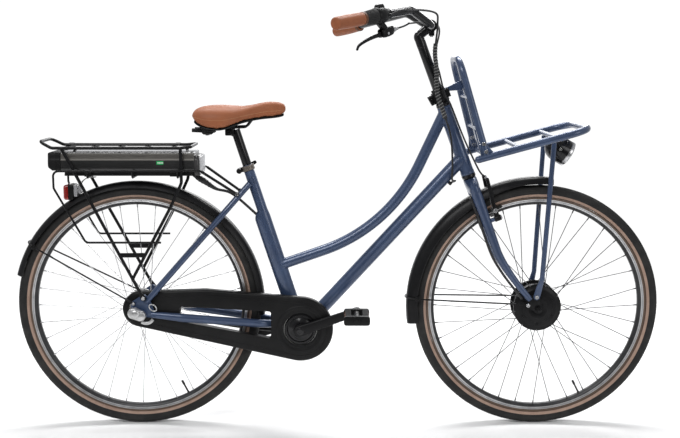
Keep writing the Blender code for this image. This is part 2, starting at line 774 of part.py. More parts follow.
BRAKE_FORWARD = 0.034
BRAKE_PIVOT_UP = sqrt((RIM_RADIUS - 0.006) ** 2 - (FORK_RAKE - BRAKE_FORWARD) ** 2) - 0.022
BRAKE_ARM = 0.114
BRAKE_LEAN = 0.009
BRAKE_GUARD_GAP = 0.0125
PAD_GAP = 0.0020


def brake_pivot(side):
    return on_steer(BRAKE_PIVOT_UP, BRAKE_FORWARD, side * (BLADE_SPACING + 0.002))


def brake_arm_shape(side):
    """Sleeve on the fork's pin, long arm past the mudguard, and a shoe beside the rim."""
    pivot = brake_pivot(side)
    clear = GUARD_WIDTH / 2 + BRAKE_GUARD_GAP
    low = on_steer(BRAKE_PIVOT_UP + 0.022, BRAKE_FORWARD, side * (clear + 0.001))
    high = on_steer(BRAKE_PIVOT_UP + BRAKE_ARM, BRAKE_FORWARD + BRAKE_LEAN, side * clear)
    arm = sweep([pivot, low, high], bar(0.0095, 0.0115, 0.002), scales=[1.2, 1.1, 0.8])
    sleeve = turned([(-0.010, 0.0085), (0.009, 0.0085)], pivot, STEER_FORWARD, 10)
    outward = on_steer(BRAKE_PIVOT_UP + 0.022, BRAKE_FORWARD, 0) - FRONT
    along = Y.cross(outward).normalized()
    middle = on_steer(BRAKE_PIVOT_UP + 0.022, BRAKE_FORWARD, 0)
    face = RIM_WIDTH / 2 + PAD_GAP
    shoe = loft([
        [middle + along * u + outward.normalized() * v + Y * side * y for u, v in bar(long, tall, 0.002)]
        for y, long, tall in [(face, 0.050, 0.009), (face + 0.009, 0.046, 0.008)]
    ])
    stud = rod(middle + Y * side * (face + 0.004), middle + Y * side * (clear + 0.006), 0.0035, 6)
    whole = joined(arm, sleeve, stud, shoe)
    hole = 0.0048 + RUNNING
    return cut(whole, turned([(-0.03, hole), (0.03, hole)], pivot, STEER_FORWARD, 8))


# Wheels

def wheel_ring(profile, hub):
    """A ring from (y, radius) pairs, measured to its flats, so that it stands on one."""
    spread_out = 1 / cos(pi / WHEEL_SIDES)
    return turned([(y, r * spread_out) for y, r in profile], hub, Y, WHEEL_SIDES, hollow=True)


def tyre_shape(hub):
    seat, half = RIM_RADIUS + TOUCH, TYRE_WIDTH / 2
    depth = TYRE_RADIUS - seat
    side = [(0.011, seat), (half, seat + depth * 0.46), (half * 0.83, seat + depth * 0.82), (0.007, TYRE_RADIUS)]
    return wheel_ring([(-y, r) for y, r in side] + side[::-1], hub)


def rim_shape(hub):
    half, inner = RIM_WIDTH / 2, RIM_RADIUS - RIM_DEPTH
    side = [(half, RIM_RADIUS), (half, RIM_RADIUS - 0.011), (0.006, inner)]
    return wheel_ring([(-y, r) for y, r in side] + side[::-1], hub)


def spokes(hub, flange_radius, crosses):
    """Crossed spokes, half to each flange, ending just inside the rim."""
    end = (RIM_RADIUS - RIM_DEPTH - TOUCH)
    step = 2 * pi / SPOKE_COUNT
    found = []
    for k in range(SPOKE_COUNT):
        side = RIGHT if k % 2 else LEFT
        lean = 1 if (k // 2) % 2 else -1
        rim_turn = step * k
        hub_turn = rim_turn + lean * crosses * 2 * step
        head = side * (FLANGE_SPACING / 2 + lean * 0.0016)
        inner = hub + Vector((flange_radius * cos(hub_turn), head, flange_radius * sin(hub_turn)))
        outer = hub + Vector((end * cos(rim_turn), side * 0.003, end * sin(rim_turn)))
        found.append(rod(inner, outer, SPOKE_RADIUS, 3))
    return found


def front_hub_shape():
    """The motor's drum between its two spoke flanges, laced with spokes."""
    half, flange = MOTOR_WIDTH / 2, FLANGE_SPACING / 2
    bore = AXLE_RADIUS + 0.0015
    outer = [
        (half, 0.014), (half, 0.030), (half - 0.005, 0.056), (flange + 0.004, MOTOR_RADIUS - 0.001),
        (flange + 0.004, MOTOR_RADIUS + 0.003), (flange - 0.003, MOTOR_RADIUS + 0.003),
        (flange - 0.003, MOTOR_RADIUS - 0.004),
    ]
    profile = [(half, bore)] + outer + [(-y, r) for y, r in outer[::-1]] + [(-half, bore)]
    drum = turned(profile, FRONT, Y, 24, hollow=True)
    return joined(drum, *spokes(FRONT, MOTOR_RADIUS - 0.001, 1))


def rear_hub_shape():
    """The gear hub's shell, laced with spokes."""
    flange, bore = FLANGE_SPACING / 2, AXLE_RADIUS + 0.0015
    side = [
        (0.0385, bore), (0.0385, 0.020), (flange + 0.003, 0.030), (flange + 0.003, GEAR_HUB_RADIUS),
        (flange - 0.003, GEAR_HUB_RADIUS), (flange - 0.003, GEAR_HUB_RADIUS - 0.009),
    ]
    profile = side + [(-y, r) for y, r in side[::-1]]
    shell = turned(profile, REAR, Y, 20, hollow=True)
    return joined(shell, *spokes(REAR, GEAR_HUB_RADIUS - 0.003, 1.5))


def front_axle_shape():
    """The motor's fixed axle, with a nut outside each fork end."""
    out = FRONT_HUB_WIDTH / 2 + DROPOUT_SHEET + TOUCH
    in_ = FRONT_HUB_WIDTH / 2 - TOUCH
    nut, tip, collar = 0.0095, 0.0075, 0.0090
    side = [
        (MOTOR_WIDTH / 2 + 0.001, AXLE_RADIUS), (MOTOR_WIDTH / 2 + 0.001, collar), (in_, collar), (in_, AXLE_RADIUS),
        (out, AXLE_RADIUS), (out, nut), (out + 0.008, nut), (out + 0.014, tip),
    ]
    return turned([(-y, r) for y, r in side[::-1]] + side, FRONT, Y, 12)


def rear_axle_shape():
    """The hub's fixed axle with its nuts, the gear joint on the right and the brake arm on the left."""
    out = REAR_HUB_WIDTH / 2 + DROPOUT_SHEET + TOUCH
    in_ = REAR_HUB_WIDTH / 2 - TOUCH
    joint_start = CHAINLINE + 0.006
    right = [
        (-out - 0.016, 0.0070), (-out - 0.008, 0.0095), (-out, 0.0095), (-out, AXLE_RADIUS),
        (-in_, AXLE_RADIUS), (-in_, 0.0150), (-joint_start, 0.0190), (-joint_start, AXLE_RADIUS),
    ]
    left = [
        (0.0395, AXLE_RADIUS), (0.0395, 0.0160), (0.054, 0.0160), (0.054, 0.010), (in_, 0.010), (in_, AXLE_RADIUS),
        (out, AXLE_RADIUS), (out, 0.0095), (out + 0.008, 0.0095), (out + 0.016, 0.0070),
    ]
    axle = turned(right + left, REAR, Y, 14)
    place = stay_point(REAR.x + 0.112)
    ahead = (stay_point(REAR.x + 0.122) - place).normalized()
    place.y = -place.y
    ahead.y = -ahead.y
    outline = belt([(REAR.x, REAR.z, 0.014), (place.x, place.z, 0.007)], 12)
    arm = slab(outline, 0.0525, 0.0555)
    strap = rod(place - ahead * 0.006, place + ahead * 0.006, CHAINSTAY_RADIUS + 0.0032, 16)
    link = block(place - Y * 0.011, (0.012, 0.012, 0.010))
    hole = rod(place - ahead * 0.03, place + ahead * 0.03, CHAINSTAY_RADIUS + RUNNING, 16)
    return cut(joined(axle, arm, strap, link), hole)


# Drive

def toothed(teeth, pitch_radius, centre, thickness, bore):
    """A flat chainwheel, with a pointed tooth for each link."""
    outline = []
    for k in range(teeth):
        for share, reach in [(0, -0.0050), (0.5, 0.0034)]:
            t = 2 * pi * (k + share) / teeth
            radius = pitch_radius + reach
            outline.append((centre.x + radius * cos(t), centre.z + radius * sin(t)))
    wheel = slab(outline, -CHAINLINE - thickness / 2, -CHAINLINE + thickness / 2)
    return cut(wheel, turned([(-0.1, bore), (0.1, bore)], centre, Y, 16))


def chain_shape():
    """Side plates and rollers of the closed chain, kept clear of the teeth that run in it."""
    points = []
    rise = CRANK.z - REAR.z
    run = CRANK.x - REAR.x
    tilt = atan2(rise, run)
    open_by = pi / 2 + asin((CHAINRING_RADIUS - SPROCKET_RADIUS) / sqrt(run**2 + rise**2))
    for centre, radius, low, high, count in [
        (CRANK, CHAINRING_RADIUS, tilt - open_by, tilt + open_by, 19),
        (REAR, SPROCKET_RADIUS, tilt + open_by, tilt + 2 * pi - open_by, 11),
    ]:
        for t in spread(count, low, high):
            points.append(centre + Vector((radius * cos(t), 0, radius * sin(t))))
    points = [point - Y * CHAINLINE for point in points]
    half, plate, web, low = CHAIN_WIDTH / 2, 0.0012, 0.0040, -0.0038
    section = [
        (-half, low), (-half + plate, low), (-half + plate, web), (half - plate, web),
        (half - plate, low), (half, low), (half, web + 0.0012), (-half, web + 0.0012),
    ]
    return sweep_loop(points, section)


def case_outline(inset=0.0):
    """The chain case from the side: round ends, with its top line arched a little."""
    crown = mix(REAR, CRANK, 0.42)
    return belt([
        (REAR.x + CASE_REAR_LEAD, REAR.z, CASE_REAR_RADIUS - inset),
        (crown.x, crown.z + 0.022, CASE_CROWN_RADIUS - inset),
        (CRANK.x, CRANK.z, CASE_FRONT_RADIUS - inset),
    ], 28)


def case_slot(grow=0.0):
    """The long window through which the chainstay passes from outside to inside."""
    rear, front = REAR.x + CASE_SLOT_FROM_AXLE - grow, CRANK.x - CASE_SLOT_TO_CRANK + grow
    return [
        (rear, REAR.z - 0.034 - grow), (front, CRANK.z - 0.026 - grow),
        (front, CRANK.z + 0.053 + grow), (rear, REAR.z + 0.009 + grow),
    ]


def chaincase_cover_shape():
    """The moulded outer half, a shell that is hollow all round the window."""
    shell = slab(case_outline(), -CASE_OUTSIDE, -CASE_INSIDE)
    hollow = cut(
        slab(case_outline(CASE_WALL), -CASE_OUTSIDE + CASE_WALL, -CASE_INSIDE + 0.01),
        slab(case_slot(CASE_WALL), -0.1, 0),
    )
    axle_window = belt([(REAR.x, REAR.z, 0.024), (REAR.x + 0.026, REAR.z - 0.004, 0.014)], 16)
    panel = slab(belt([(CRANK.x, CRANK.z, 0.070)], 28), -CASE_OUTSIDE - 0.0008, -CASE_OUTSIDE + 0.001)
    lip = CASE_CRANK_OPENING
    return cut(
        joined(shell, panel),
        hollow,
        slab(case_slot(), -0.1, 0),
        turned([(-0.1, lip), (0, lip)], CRANK, Y, 24),
        slab(axle_window, -0.1, 0),
    )


def chaincase_back_shape():
    """The flat inner half, open at the hub, the window and the bottom bracket."""
    plate = slab(case_outline(), -CASE_INSIDE + TOUCH, -CASE_INSIDE + TOUCH + STEEL_SHEET)
    return cut(
        plate,
        slab(case_slot(), -0.1, 0),
        turned([(-0.1, 0.032), (0, 0.032)], CRANK, Y, 20),
        turned([(-0.1, 0.043), (0, 0.043)], REAR, Y, 20),
    )


def crank_direction(side):
    """The right crank points forward and up, the left one the opposite way."""
    return Vector((cos(CRANK_TILT), 0, sin(CRANK_TILT))) * (1 if side == RIGHT else -1)


def pedal_centre(side):
    end = CRANK + crank_direction(side) * CRANK_LENGTH
    return end + Y * side * (CRANK_TREAD + 0.020 + 0.006 + PEDAL_WIDTH / 2)


def crank_arm_shape(side):
    """A tapered arm, its boss on the axle and the pedal's spindle at its end."""
    along = crank_direction(side)
    across = along.cross(Y)
    rings = []
    for reach, width, inner, thick in [
        (-0.018, 0.018, 0.0000, 0.018), (-0.010, 0.032, 0.0000, 0.020), (0.012, 0.034, 0.0000, 0.020),
        (0.045, 0.022, 0.0040, 0.015), (0.150, 0.019, 0.0070, 0.012), (0.168, 0.024, 0.0065, 0.0135),
        (0.182, 0.014, 0.0065, 0.0135),
    ]:
        base = CRANK + along * reach + Y * side * (CRANK_TREAD + inner + thick / 2)
        rings.append([base + across * u + Y * v for u, v in bar(width, thick, 0.0035)])
    arm = loft(rings)
    end = CRANK + along * CRANK_LENGTH
    spindle = rod(end + Y * side * (CRANK_TREAD + 0.010),
                  end + Y * side * (CRANK_TREAD + 0.022 + PEDAL_WIDTH), 0.0045)
    square = CRANK_AXLE_RADIUS * 0.7 + TOUCH
    hole = sweep([CRANK + Y * side * (CRANK_TREAD - 0.01), CRANK + Y * side * (CRANK_TREAD + 0.0145)],
                 bar(square * 2, square * 2), side=along)
    return cut(joined(arm, spindle), hole)


def crank_axle_shape():
    """A round axle with square ends for the two arms."""
    along = crank_direction(RIGHT)
    half = CRANK_AXLE_RADIUS * 0.7
    middle = turned([(-CRANK_TREAD + 0.003, CRANK_AXLE_RADIUS), (CRANK_TREAD - 0.003, CRANK_AXLE_RADIUS)], CRANK, Y, 12)
    ends = sweep([CRANK - Y * (CRANK_TREAD + 0.014), CRANK + Y * (CRANK_TREAD + 0.014)],
                 bar(half * 2, half * 2), side=along)
    return joined(middle, ends)


def pedal_shape(side):
    """A block pedal: two end caps, joined by two tread bars and a spindle tube."""
    centre = pedal_centre(side)
    half = PEDAL_WIDTH / 2
    parts = []
    for end in (-1, 1):
        cap = centre + Y * end * (half - 0.006)
        outline = [(cap.x + u, cap.z + v) for u, v in bar(PEDAL_LENGTH, PEDAL_THICKNESS, 0.007)]
        parts.append(slab(outline, cap.y - 0.006, cap.y + 0.006))
    for end in (-1, 1):
        tread = centre + X * end * (PEDAL_LENGTH / 2 - 0.012)
        parts.append(block(tread, (0.018, PEDAL_WIDTH - 0.010, PEDAL_THICKNESS * 0.92)))
    tube = rod(centre - Y * (half - 0.002), centre + Y * (half - 0.002), 0.0095, 10)
    bore = rod(centre - Y * (half + 0.01), centre + Y * (half + 0.01), 0.0045 + RUNNING, 8)
    return cut(joined(tube, *parts), bore)


# Mudguards

def guard_section(grow=0.0):
    """(y, radial) points over the guard's outside, from one edge to the other."""
    half = GUARD_WIDTH / 2
    side = [(half + grow, -GUARD_CROWN), (half * 0.78 + grow * 0.9, -GUARD_CROWN * 0.30 + grow * 0.6)]
    return [(-y, r) for y, r in side] + [(0, grow)] + side[::-1]


def guard_shape(hub, radius, start, end, count):
    outer = guard_section()
    inner = [(y * (1 - STEEL_SHEET / abs(y)) if y else 0, r - STEEL_SHEET * 0.8) for y, r in outer]
    rings = []
    for t in spread(count, start, end):
        radial = Vector((cos(t), 0, sin(t)))
        rings.append([hub + radial * (radius + r) + Y * y for y, r in outer + inner[::-1]])
    return loft(rings)


def guard_stay_shape(hub, radius, angle, foot, wire=0.0023):
    """One wire from a fork end or dropout, over the guard and back down the other side."""
    radial = Vector((cos(angle), 0, sin(angle)))
    over = [hub + radial * (radius + r) + Y * y for y, r in guard_section(wire + TOUCH + 0.0004)]
    low = foot + radial * 0.012
    path = [foot, low, over[0] - radial * 0.006] + over
    other = [Vector((p.x, -p.y, p.z)) for p in (over[0] - radial * 0.006, low, foot)]
    return sweep(path + other, circle(wire, 6), side=radial.cross(Y))


# Rear rack, battery and tail light

def rack_front():
    return REAR.x + 0.1306


def rack_rear():
    return rack_front() - RACK_LENGTH


def rack_foot(side):
    """Bolt place of a rack leg, just outside the dropout."""
    out = (REAR_HUB_WIDTH + DROPOUT_SHEET) / 2 + SEAT_STAY_RADIUS + TOUCH + RACK_ROD
    return REAR + Vector((RACK_BOLT[0], side * out, RACK_BOLT[1]))


def rack_lower_z():
    return RACK_TOP - LOWER_RAIL_DROP


def rear_rack_shape():
    """Bent rods welded into a deck, legs, pannier guards and the rods to the seat stays."""
    front, rear, low = rack_front(), rack_rear(), rack_lower_z()
    wide = RACK_HALF_WIDTH
    ends = [[Vector((x, side * y, z)) for x, y, z in [
        (front + 0.054, wide * 0.92, RACK_TOP + 0.0137), (front, wide, RACK_TOP), (rear, wide, RACK_TOP),
        (rear - 0.053, wide * 0.92, RACK_TOP + 0.0185),
    ]] for side in (RIGHT, LEFT)]
    hoop = rounded_path(ends[0] + ends[1][::-1], 0.022, turn=30)
    parts = [sweep(hoop, circle(RACK_ROD, 6), side=Z), rod(ends[0][0], ends[1][0], RACK_ROD, 6)]
    for side in (RIGHT, LEFT):
        y = side * wide
        foot = rack_foot(side)
        top = Vector((rear + 0.005, y, RACK_TOP))
        parts.append(sweep([foot - (top - foot).normalized() * 0.004, top], circle(RACK_ROD, 6)))
        bolt_start = REAR_HUB_WIDTH / 2 + DROPOUT_SHEET + TOUCH
        parts.append(rod(Vector((foot.x, side * bolt_start, foot.z)), foot, RACK_ROD * 0.85, 6))
        meet = mix(foot, top, 0.13)
        legs = [Vector((front + 0.006, y, RACK_TOP)), Vector((front + 0.007, y, RACK_TOP - 0.098)),
                Vector((front - 0.027, y * 1.03, RACK_TOP - 0.170)), meet]
        parts.append(sweep(legs, circle(RACK_ROD, 6)))
        bar_z = mix(foot.z, top.z, 0.29)
        back, ahead = mix(foot, top, 0.29), mix(meet, legs[2], 0.36)
        ahead.z = bar_z
        parts.append(sweep([back, ahead], bar(0.003, 0.013)))
        guard_y = foot.y * 0.96
        guard = rounded_path([
            Vector((front - 0.052, guard_y, low - 0.201)), Vector((rear + 0.068, guard_y, low - 0.201)),
            Vector((rear - 0.0165, guard_y, low - 0.047)), Vector((rear - 0.0165, guard_y, low)),
            Vector((front + 0.060, side * 0.066, low)), rack_stay_end(side),
        ], 0.014, turn=40)
        parts.append(sweep(guard, circle(GUARD_ROD, 6), side=Z))
    for x in spread(5, rear + 0.012, front - 0.020):
        parts.append(rod(Vector((x, -wide, RACK_TOP)), Vector((x, wide, RACK_TOP)), RACK_ROD * 0.8, 6))
    for x in spread(3, rear + 0.075, front - 0.004):
        reach = mix(abs(guard_y), 0.066, (x - rear + 0.016) / (front - rear + 0.088))
        drop = low - CRADLE_DROP
        cradle = [Vector((x, -reach, low)), Vector((x, -0.061, drop)), Vector((x, 0.061, drop)), Vector((x, reach, low))]
        parts.append(sweep(cradle, circle(GUARD_ROD, 6), side=X))
    return joined(*parts)


def rack_stay_end(side):
    """Where a front rod of the rack meets the seat stay."""
    seat_foot, _ = stay_places()
    seat_top = on_seat(SEAT_STAY_TOP, 0, -0.017)
    spot = mix(seat_foot, seat_top, 0.90)
    out = SEAT_STAY_RADIUS + GUARD_ROD + TOUCH
    return Vector((spot.x - 0.012, side * (0.032 + out), spot.z + 0.004))


def rack_strap_shape():
    """Three rubber bands over the deck, joined at both ends."""
    rear, front = rack_rear(), rack_front()
    z = RACK_TOP + RACK_ROD + 0.0016 + TOUCH
    length = front - rear - 0.010
    middle = (front + rear) / 2
    bands = [block(Vector((middle, y, z)), (length, 0.009, 0.003)) for y in (-0.019, 0, 0.019)]
    ends = [block(Vector((middle + end * (length / 2 - 0.008), 0, z + 0.0004)), (0.015, 0.054, 0.0042)) for end in (-1, 1)]
    return joined(*ends, *bands)


def battery_base():
    return rack_lower_z() - CRADLE_DROP + GUARD_ROD + TOUCH


def battery_front():
    return rack_front() + 0.0425


def battery_shape():
    """The sliding battery: a long case with a chamfered top and a sloping rear cap."""
    base = battery_base() + DOCK_HEIGHT + TOUCH
    front, height = battery_front(), BATTERY_HEIGHT
    rings = []
    for x, tall, wide in [
        (front, 1.0, 1.0), (front - BATTERY_LENGTH + 0.034, 1.0, 1.0), (front - BATTERY_LENGTH + 0.030, 1.02, 1.02),
        (front - BATTERY_LENGTH + 0.008, 1.02, 1.02), (front - BATTERY_LENGTH, 0.80, 0.94),
    ]:
        w, h = BATTERY_HALF_WIDTH * wide, height * tall
        foot = height * (1.0 - tall) * 0.5 if tall < 1 else 0
        side = [(w * 0.93, foot), (w, foot + 0.006), (w, h * 0.58), (w * 0.96, h * 0.62), (w * 0.94, h - 0.008), (w * 0.80, h)]
        rings.append([Vector((x, -y, base + z)) for y, z in side] + [Vector((x, y, base + z)) for y, z in side[::-1]])
    return loft(rings)


def battery_dock_shape():
    """The rail that the battery slides on, with the controller's end cap at its front."""
    base, front = battery_base(), battery_front() + TOUCH
    length = BATTERY_LENGTH - 0.040
    rail = block(Vector((front - length / 2 + 0.004, 0, base + DOCK_HEIGHT / 2)), (length + 0.008, 0.094, DOCK_HEIGHT))
    cap = loft([
        [Vector((x, y * wide, base + z)) for y, z in [
            (-0.050, 0), (0.050, 0), (0.055, 0.010), (0.055, 0.044), (0.044, 0.056), (-0.044, 0.056), (-0.055, 0.044),
            (-0.055, 0.010)]]
        for x, wide in [(front, 1.0), (front + 0.014, 1.0), (front + 0.026, 0.84)]
    ])
    return joined(rail, cap)


def tail_light_place():
    return Vector((REAR.x - 0.1815, 0, REAR.z + 0.333))


def tail_light_body_shape():
    """Black housing on a foot that follows the mudguard's crown."""
    place = tail_light_place()
    housing = block(place, (0.024, 0.056, 0.040))
    foot = block(place + Vector((0.022, 0, -0.014)), (0.040, 0.020, 0.034))
    under = turned([(-0.1, REAR_GUARD_RADIUS + TOUCH * 4), (0.1, REAR_GUARD_RADIUS + TOUCH * 4)], REAR, Y, 96)
    return cut(joined(housing, foot), under)


def tail_light_lens_shape():
    place = tail_light_place() - X * (0.012 + TOUCH)
    return loft([
        [place + Vector((-out, u * size, v * size)) for u, v in bar(0.058, 0.043, 0.006)]
        for out, size in [(0, 1.0), (0.009, 0.98), (0.014, 0.84)]
    ])


# Seat

def seatpost_shape():
    """The post, with a head that is set back to carry the saddle's clamp."""
    top = SEAT_TUBE_LENGTH + POST_ABOVE_TUBE_TOP
    post = turned([(SEAT_TUBE_LENGTH - POST_BELOW_TUBE_TOP, POST_RADIUS), (top, POST_RADIUS)], CRANK, SEAT_UP, 14)
    head = rod(saddle_pivot() - Y * 0.017, saddle_pivot() + Y * 0.017, 0.0095, 10)
    neck = sweep([on_seat(top - 0.016), saddle_pivot()], bar(0.022, 0.018, 0.004))
    return joined(post, head, neck)


def saddle_pivot():
    return on_seat(SEAT_TUBE_LENGTH + POST_ABOVE_TUBE_TOP - 0.002, -0.014)


def seat_clamp_shape():
    """A split collar with its two ears behind the tube and the skewer through them."""
    low, high = SEAT_TUBE_LENGTH - 0.016, SEAT_TUBE_LENGTH - 0.001
    inner, outer = SEAT_TUBE_RADIUS + TOUCH, SEAT_TUBE_RADIUS + 0.0035
    collar = pipe(CRANK, SEAT_UP, low, high, outer, inner, 14)
    middle = (low + high) / 2
    ears = [
        sweep([on_seat(middle, -outer + 0.001, side * 0.0055), on_seat(middle, -outer - 0.013, side * 0.0055)],
              bar(0.006, 0.013))
        for side in (RIGHT, LEFT)
    ]
    skewer = rod(on_seat(middle, -outer - 0.007, -0.018), on_seat(middle, -outer - 0.007, 0.014), 0.0028, 6)
    nut = turned([(-0.024, 0.0070), (-0.015, 0.0085)], on_seat(middle, -outer - 0.007), Y, 10)
    return joined(collar, *ears, skewer, nut)


def clamp_lever_pivot():
    middle = SEAT_TUBE_LENGTH - 0.0085
    return on_seat(middle, -SEAT_TUBE_RADIUS - 0.0105, 0.021)


def seat_clamp_lever_shape():
    """The quick release handle, folded forward along the left of the collar."""
    pivot = clamp_lever_pivot()
    cam = turned([(-0.0060, 0.0062), (0.0060, 0.0062)], pivot, SEAT_UP, 10)
    blade = sweep([
        pivot, pivot + SEAT_FORWARD * 0.018 + Y * 0.003, pivot + SEAT_FORWARD * 0.044 + Y * 0.001 + SEAT_UP * 0.004,
    ], bar(0.0050, 0.0105, 0.0015), scales=[0.8, 1.0, 0.9])
    return joined(cam, blade)


SADDLE_STATIONS = [
    # share of the length from the rear, half width, top and lower edge above the pivot
    (0.000, 0.039, 0.0510, 0.0440), (0.025, 0.054, 0.0640, 0.0360), (0.07, 0.067, 0.0720, 0.0262),
    (0.14, 0.076, 0.0768, 0.0175), (0.22, 0.080, 0.0787, 0.0127), (0.30, 0.081, 0.0791, 0.0112),
    (0.38, 0.077, 0.0783, 0.0147), (0.46, 0.065, 0.0760, 0.0225), (0.54, 0.047, 0.0745, 0.0305),
    (0.62, 0.035, 0.0758, 0.0365), (0.70, 0.029, 0.0795, 0.0415), (0.78, 0.0255, 0.0833, 0.0455),
    (0.86, 0.0235, 0.0847, 0.0485), (0.93, 0.0205, 0.0820, 0.0518), (0.975, 0.015, 0.0762, 0.0560),
    (1.000, 0.008, 0.0690, 0.0625),
]


def saddle_cover_shape():
    """The padded top: a wide crowned rear that draws in to a narrow nose."""
    pivot = saddle_pivot()
    start = pivot.x - SADDLE_BEHIND
    under = [(1.0, 0.22, 0), (0.97, 0.06, 0), (0.90, 0, 0), (0.72, 0, 0.75), (0.30, 0, 1)]
    rings = []
    for share, half, top, low in SADDLE_STATIONS:
        tall, arch = top - low, saddle_arch(half)
        side = []
        for k in range(5):
            t = pi * (k + 0.5) / 10
            side.append((half * sin(t) ** 0.62, low + tall * (0.34 + 0.66 * cos(t) ** 0.9)))
        side += [(half * w, low + tall * up + arch * lift) for w, up, lift in under]
        ring = side + [(-y, z) for y, z in side[::-1]]
        rings.append([Vector((start + share * SADDLE_LENGTH, y, pivot.z + z)) for y, z in ring])
    return loft(rings)


def saddle_arch(half):
    """How far the middle of the cushion's underside stands above its skirt."""
    return SADDLE_ARCH * min(1, half / 0.060)


def saddle_base_shape():
    """Shell under the padding, two rails, the rubber springs and the rail clamp."""
    pivot = saddle_pivot()
    start = pivot.x - SADDLE_BEHIND
    rings = []
    for share, half, _, low in SADDLE_STATIONS[2:-1]:
        arch = saddle_arch(half)
        crown = low + arch - RUNNING
        edge = crown - arch * 0.25
        side = [(half * 0.28, crown), (half * 0.62, edge), (half * 0.55, edge - 0.006)]
        ring = [(-y, z) for y, z in side[::-1]] + side
        rings.append([Vector((start + share * SADDLE_LENGTH, y, pivot.z + z)) for y, z in ring])
    parts = [loft(rings)]
    for side in (RIGHT, LEFT):
        rail = rounded_path([
            pivot + Vector((-0.088, side * 0.030, -0.003)), pivot + Vector((-0.042, side * 0.022, 0.0118)),
            pivot + Vector((0.045, side * 0.022, 0.0152)), pivot + Vector((0.066, side * 0.014, 0.0420)),
        ], 0.012, turn=30)
        parts.append(sweep(rail, circle(0.0036, 6)))
        spring = pivot + Vector((-0.078, side * 0.034, 0))
        parts.append(turned([(-0.009, 0.013), (-0.005, 0.016), (0.014, 0.016), (0.025, 0.012)], spring, Z, 10))
    parts.append(block(pivot + Vector((-0.004, 0, 0.0155)), (0.036, 0.056, 0.0105)))
    ears = [block(pivot + Vector((-0.002, side * 0.0225, 0.002)), (0.024, 0.0085, 0.022)) for side in (RIGHT, LEFT)]
    return joined(*parts, *ears)


# Carrier and lamp on the fork

def carrier_place(along, side=0.0, up=0.0):
    """A place on the tilted platform, measured from its rear end."""
    run = Vector((cos(CARRIER_TILT), 0, sin(CARRIER_TILT)))
    rise = Vector((-sin(CARRIER_TILT), 0, cos(CARRIER_TILT)))
    return on_steer(CROWN_TOP + 0.059, 0.030) + run * along + rise * up + Y * side


def backrest_place(up, side=0.0):
    foot = carrier_place(BACKREST_ALONG)
    return foot + Vector((-sin(BACKREST_TILT), 0, cos(BACKREST_TILT))) * up + Y * side


STRUT_BAR_ALONG = CARRIER_DEPTH - STRUT_BAR_SETBACK


def front_carrier_shape():
    """Platform hoop, backrest hoop, cross tubes and the bracket to the steering collar."""
    wide = CARRIER_HALF_WIDTH
    platform = rounded_path([
        carrier_place(0, -wide), carrier_place(CARRIER_DEPTH, -wide),
        carrier_place(CARRIER_DEPTH, wide), carrier_place(0, wide),
    ], 0.055, turn=24)
    back = rounded_path([
        backrest_place(0, -wide), backrest_place(BACKREST_HEIGHT, -BACKREST_TOP_HALF_WIDTH),
        backrest_place(BACKREST_HEIGHT, BACKREST_TOP_HALF_WIDTH), backrest_place(0, wide),
    ], 0.050, turn=26)
    hoops = sweep(platform, circle(CARRIER_TUBE, 8), side=Z), sweep(back, circle(BACKREST_TUBE, 8), side=X)
    parts = []
    for along in (BACKREST_ALONG + 0.004, 0.118, STRUT_BAR_ALONG):
        parts.append(rod(carrier_place(along, -wide), carrier_place(along, wide), CARRIER_TUBE * 0.85, 8))
    for up, half in [(BACKREST_HEIGHT * 0.28, 0.117), (RUNG_HEIGHT, 0.101)]:
        parts.append(rod(backrest_place(up, -half), backrest_place(up, half), 0.0055, 8))
    spine = [backrest_place(0.0), backrest_place(BACKREST_HEIGHT)]
    parts.append(sweep(spine, bar(0.024, 0.004)))
    outer = STEERER_RADIUS + 0.0065
    collar = turned([(COLLAR_BASE, outer), (COLLAR_TOP - TOUCH, outer)], STEER_FOOT, STEER_UP, 16)
    hold = backrest_place(BACKREST_HEIGHT * 0.73)
    arm = loft([
        [on_steer(COLLAR_TOP - 0.010, 0.006) + Y * u + Z * v for u, v in bar(0.010, 0.010)],
        [on_steer(COLLAR_TOP - 0.009, 0.024) + Y * u + Z * v for u, v in bar(0.010, 0.010)],
        [hold + Y * u + Z * v for u, v in bar(0.010, 0.032)],
    ])
    inside = STEERER_RADIUS + TOUCH
    bore = turned([(COLLAR_BASE - 0.02, inside), (COLLAR_TOP + 0.02, inside)], STEER_FOOT, STEER_UP, 16)
    return cut(joined(*hoops, *parts, arm, collar), bore)


def strut_shape(side):
    """A carrier leg, with a flattened foot bolted to the fork end."""
    bolt = strut_bolt(side)
    y = side * (FRONT_HUB_WIDTH / 2 + DROPOUT_SHEET + TOUCH + STRUT_RADIUS * 0.6)
    top = carrier_place(STRUT_BAR_ALONG, side * 0.075, -CARRIER_TUBE * 0.85 - TOUCH)
    foot = Vector((bolt.x, y, bolt.z))
    knee = Vector((bolt.x + 0.013, y + side * 0.002, bolt.z + 0.050))
    leg = sweep(rounded_path([foot, knee, top - Z * 0.0005], 0.08, turn=12), circle(STRUT_RADIUS, 8))
    inner = side * (FRONT_HUB_WIDTH / 2 + DROPOUT_SHEET + TOUCH)
    pad = slab(belt([(bolt.x, bolt.z, 0.0085), (bolt.x + 0.004, bolt.z + 0.016, 0.007)], 10), inner, inner + side * 0.004)
    shave = block(Vector((bolt.x, inner - side * 0.02, bolt.z)), (0.08, 0.04, 0.12))
    return cut(joined(leg, pad), shave)


def lamp_centre():
    return carrier_place(STRUT_BAR_ALONG) + Vector((0.0265, 0, -0.0378))


LAMP_AIM = Vector((0.862, 0, -0.507)).normalized()


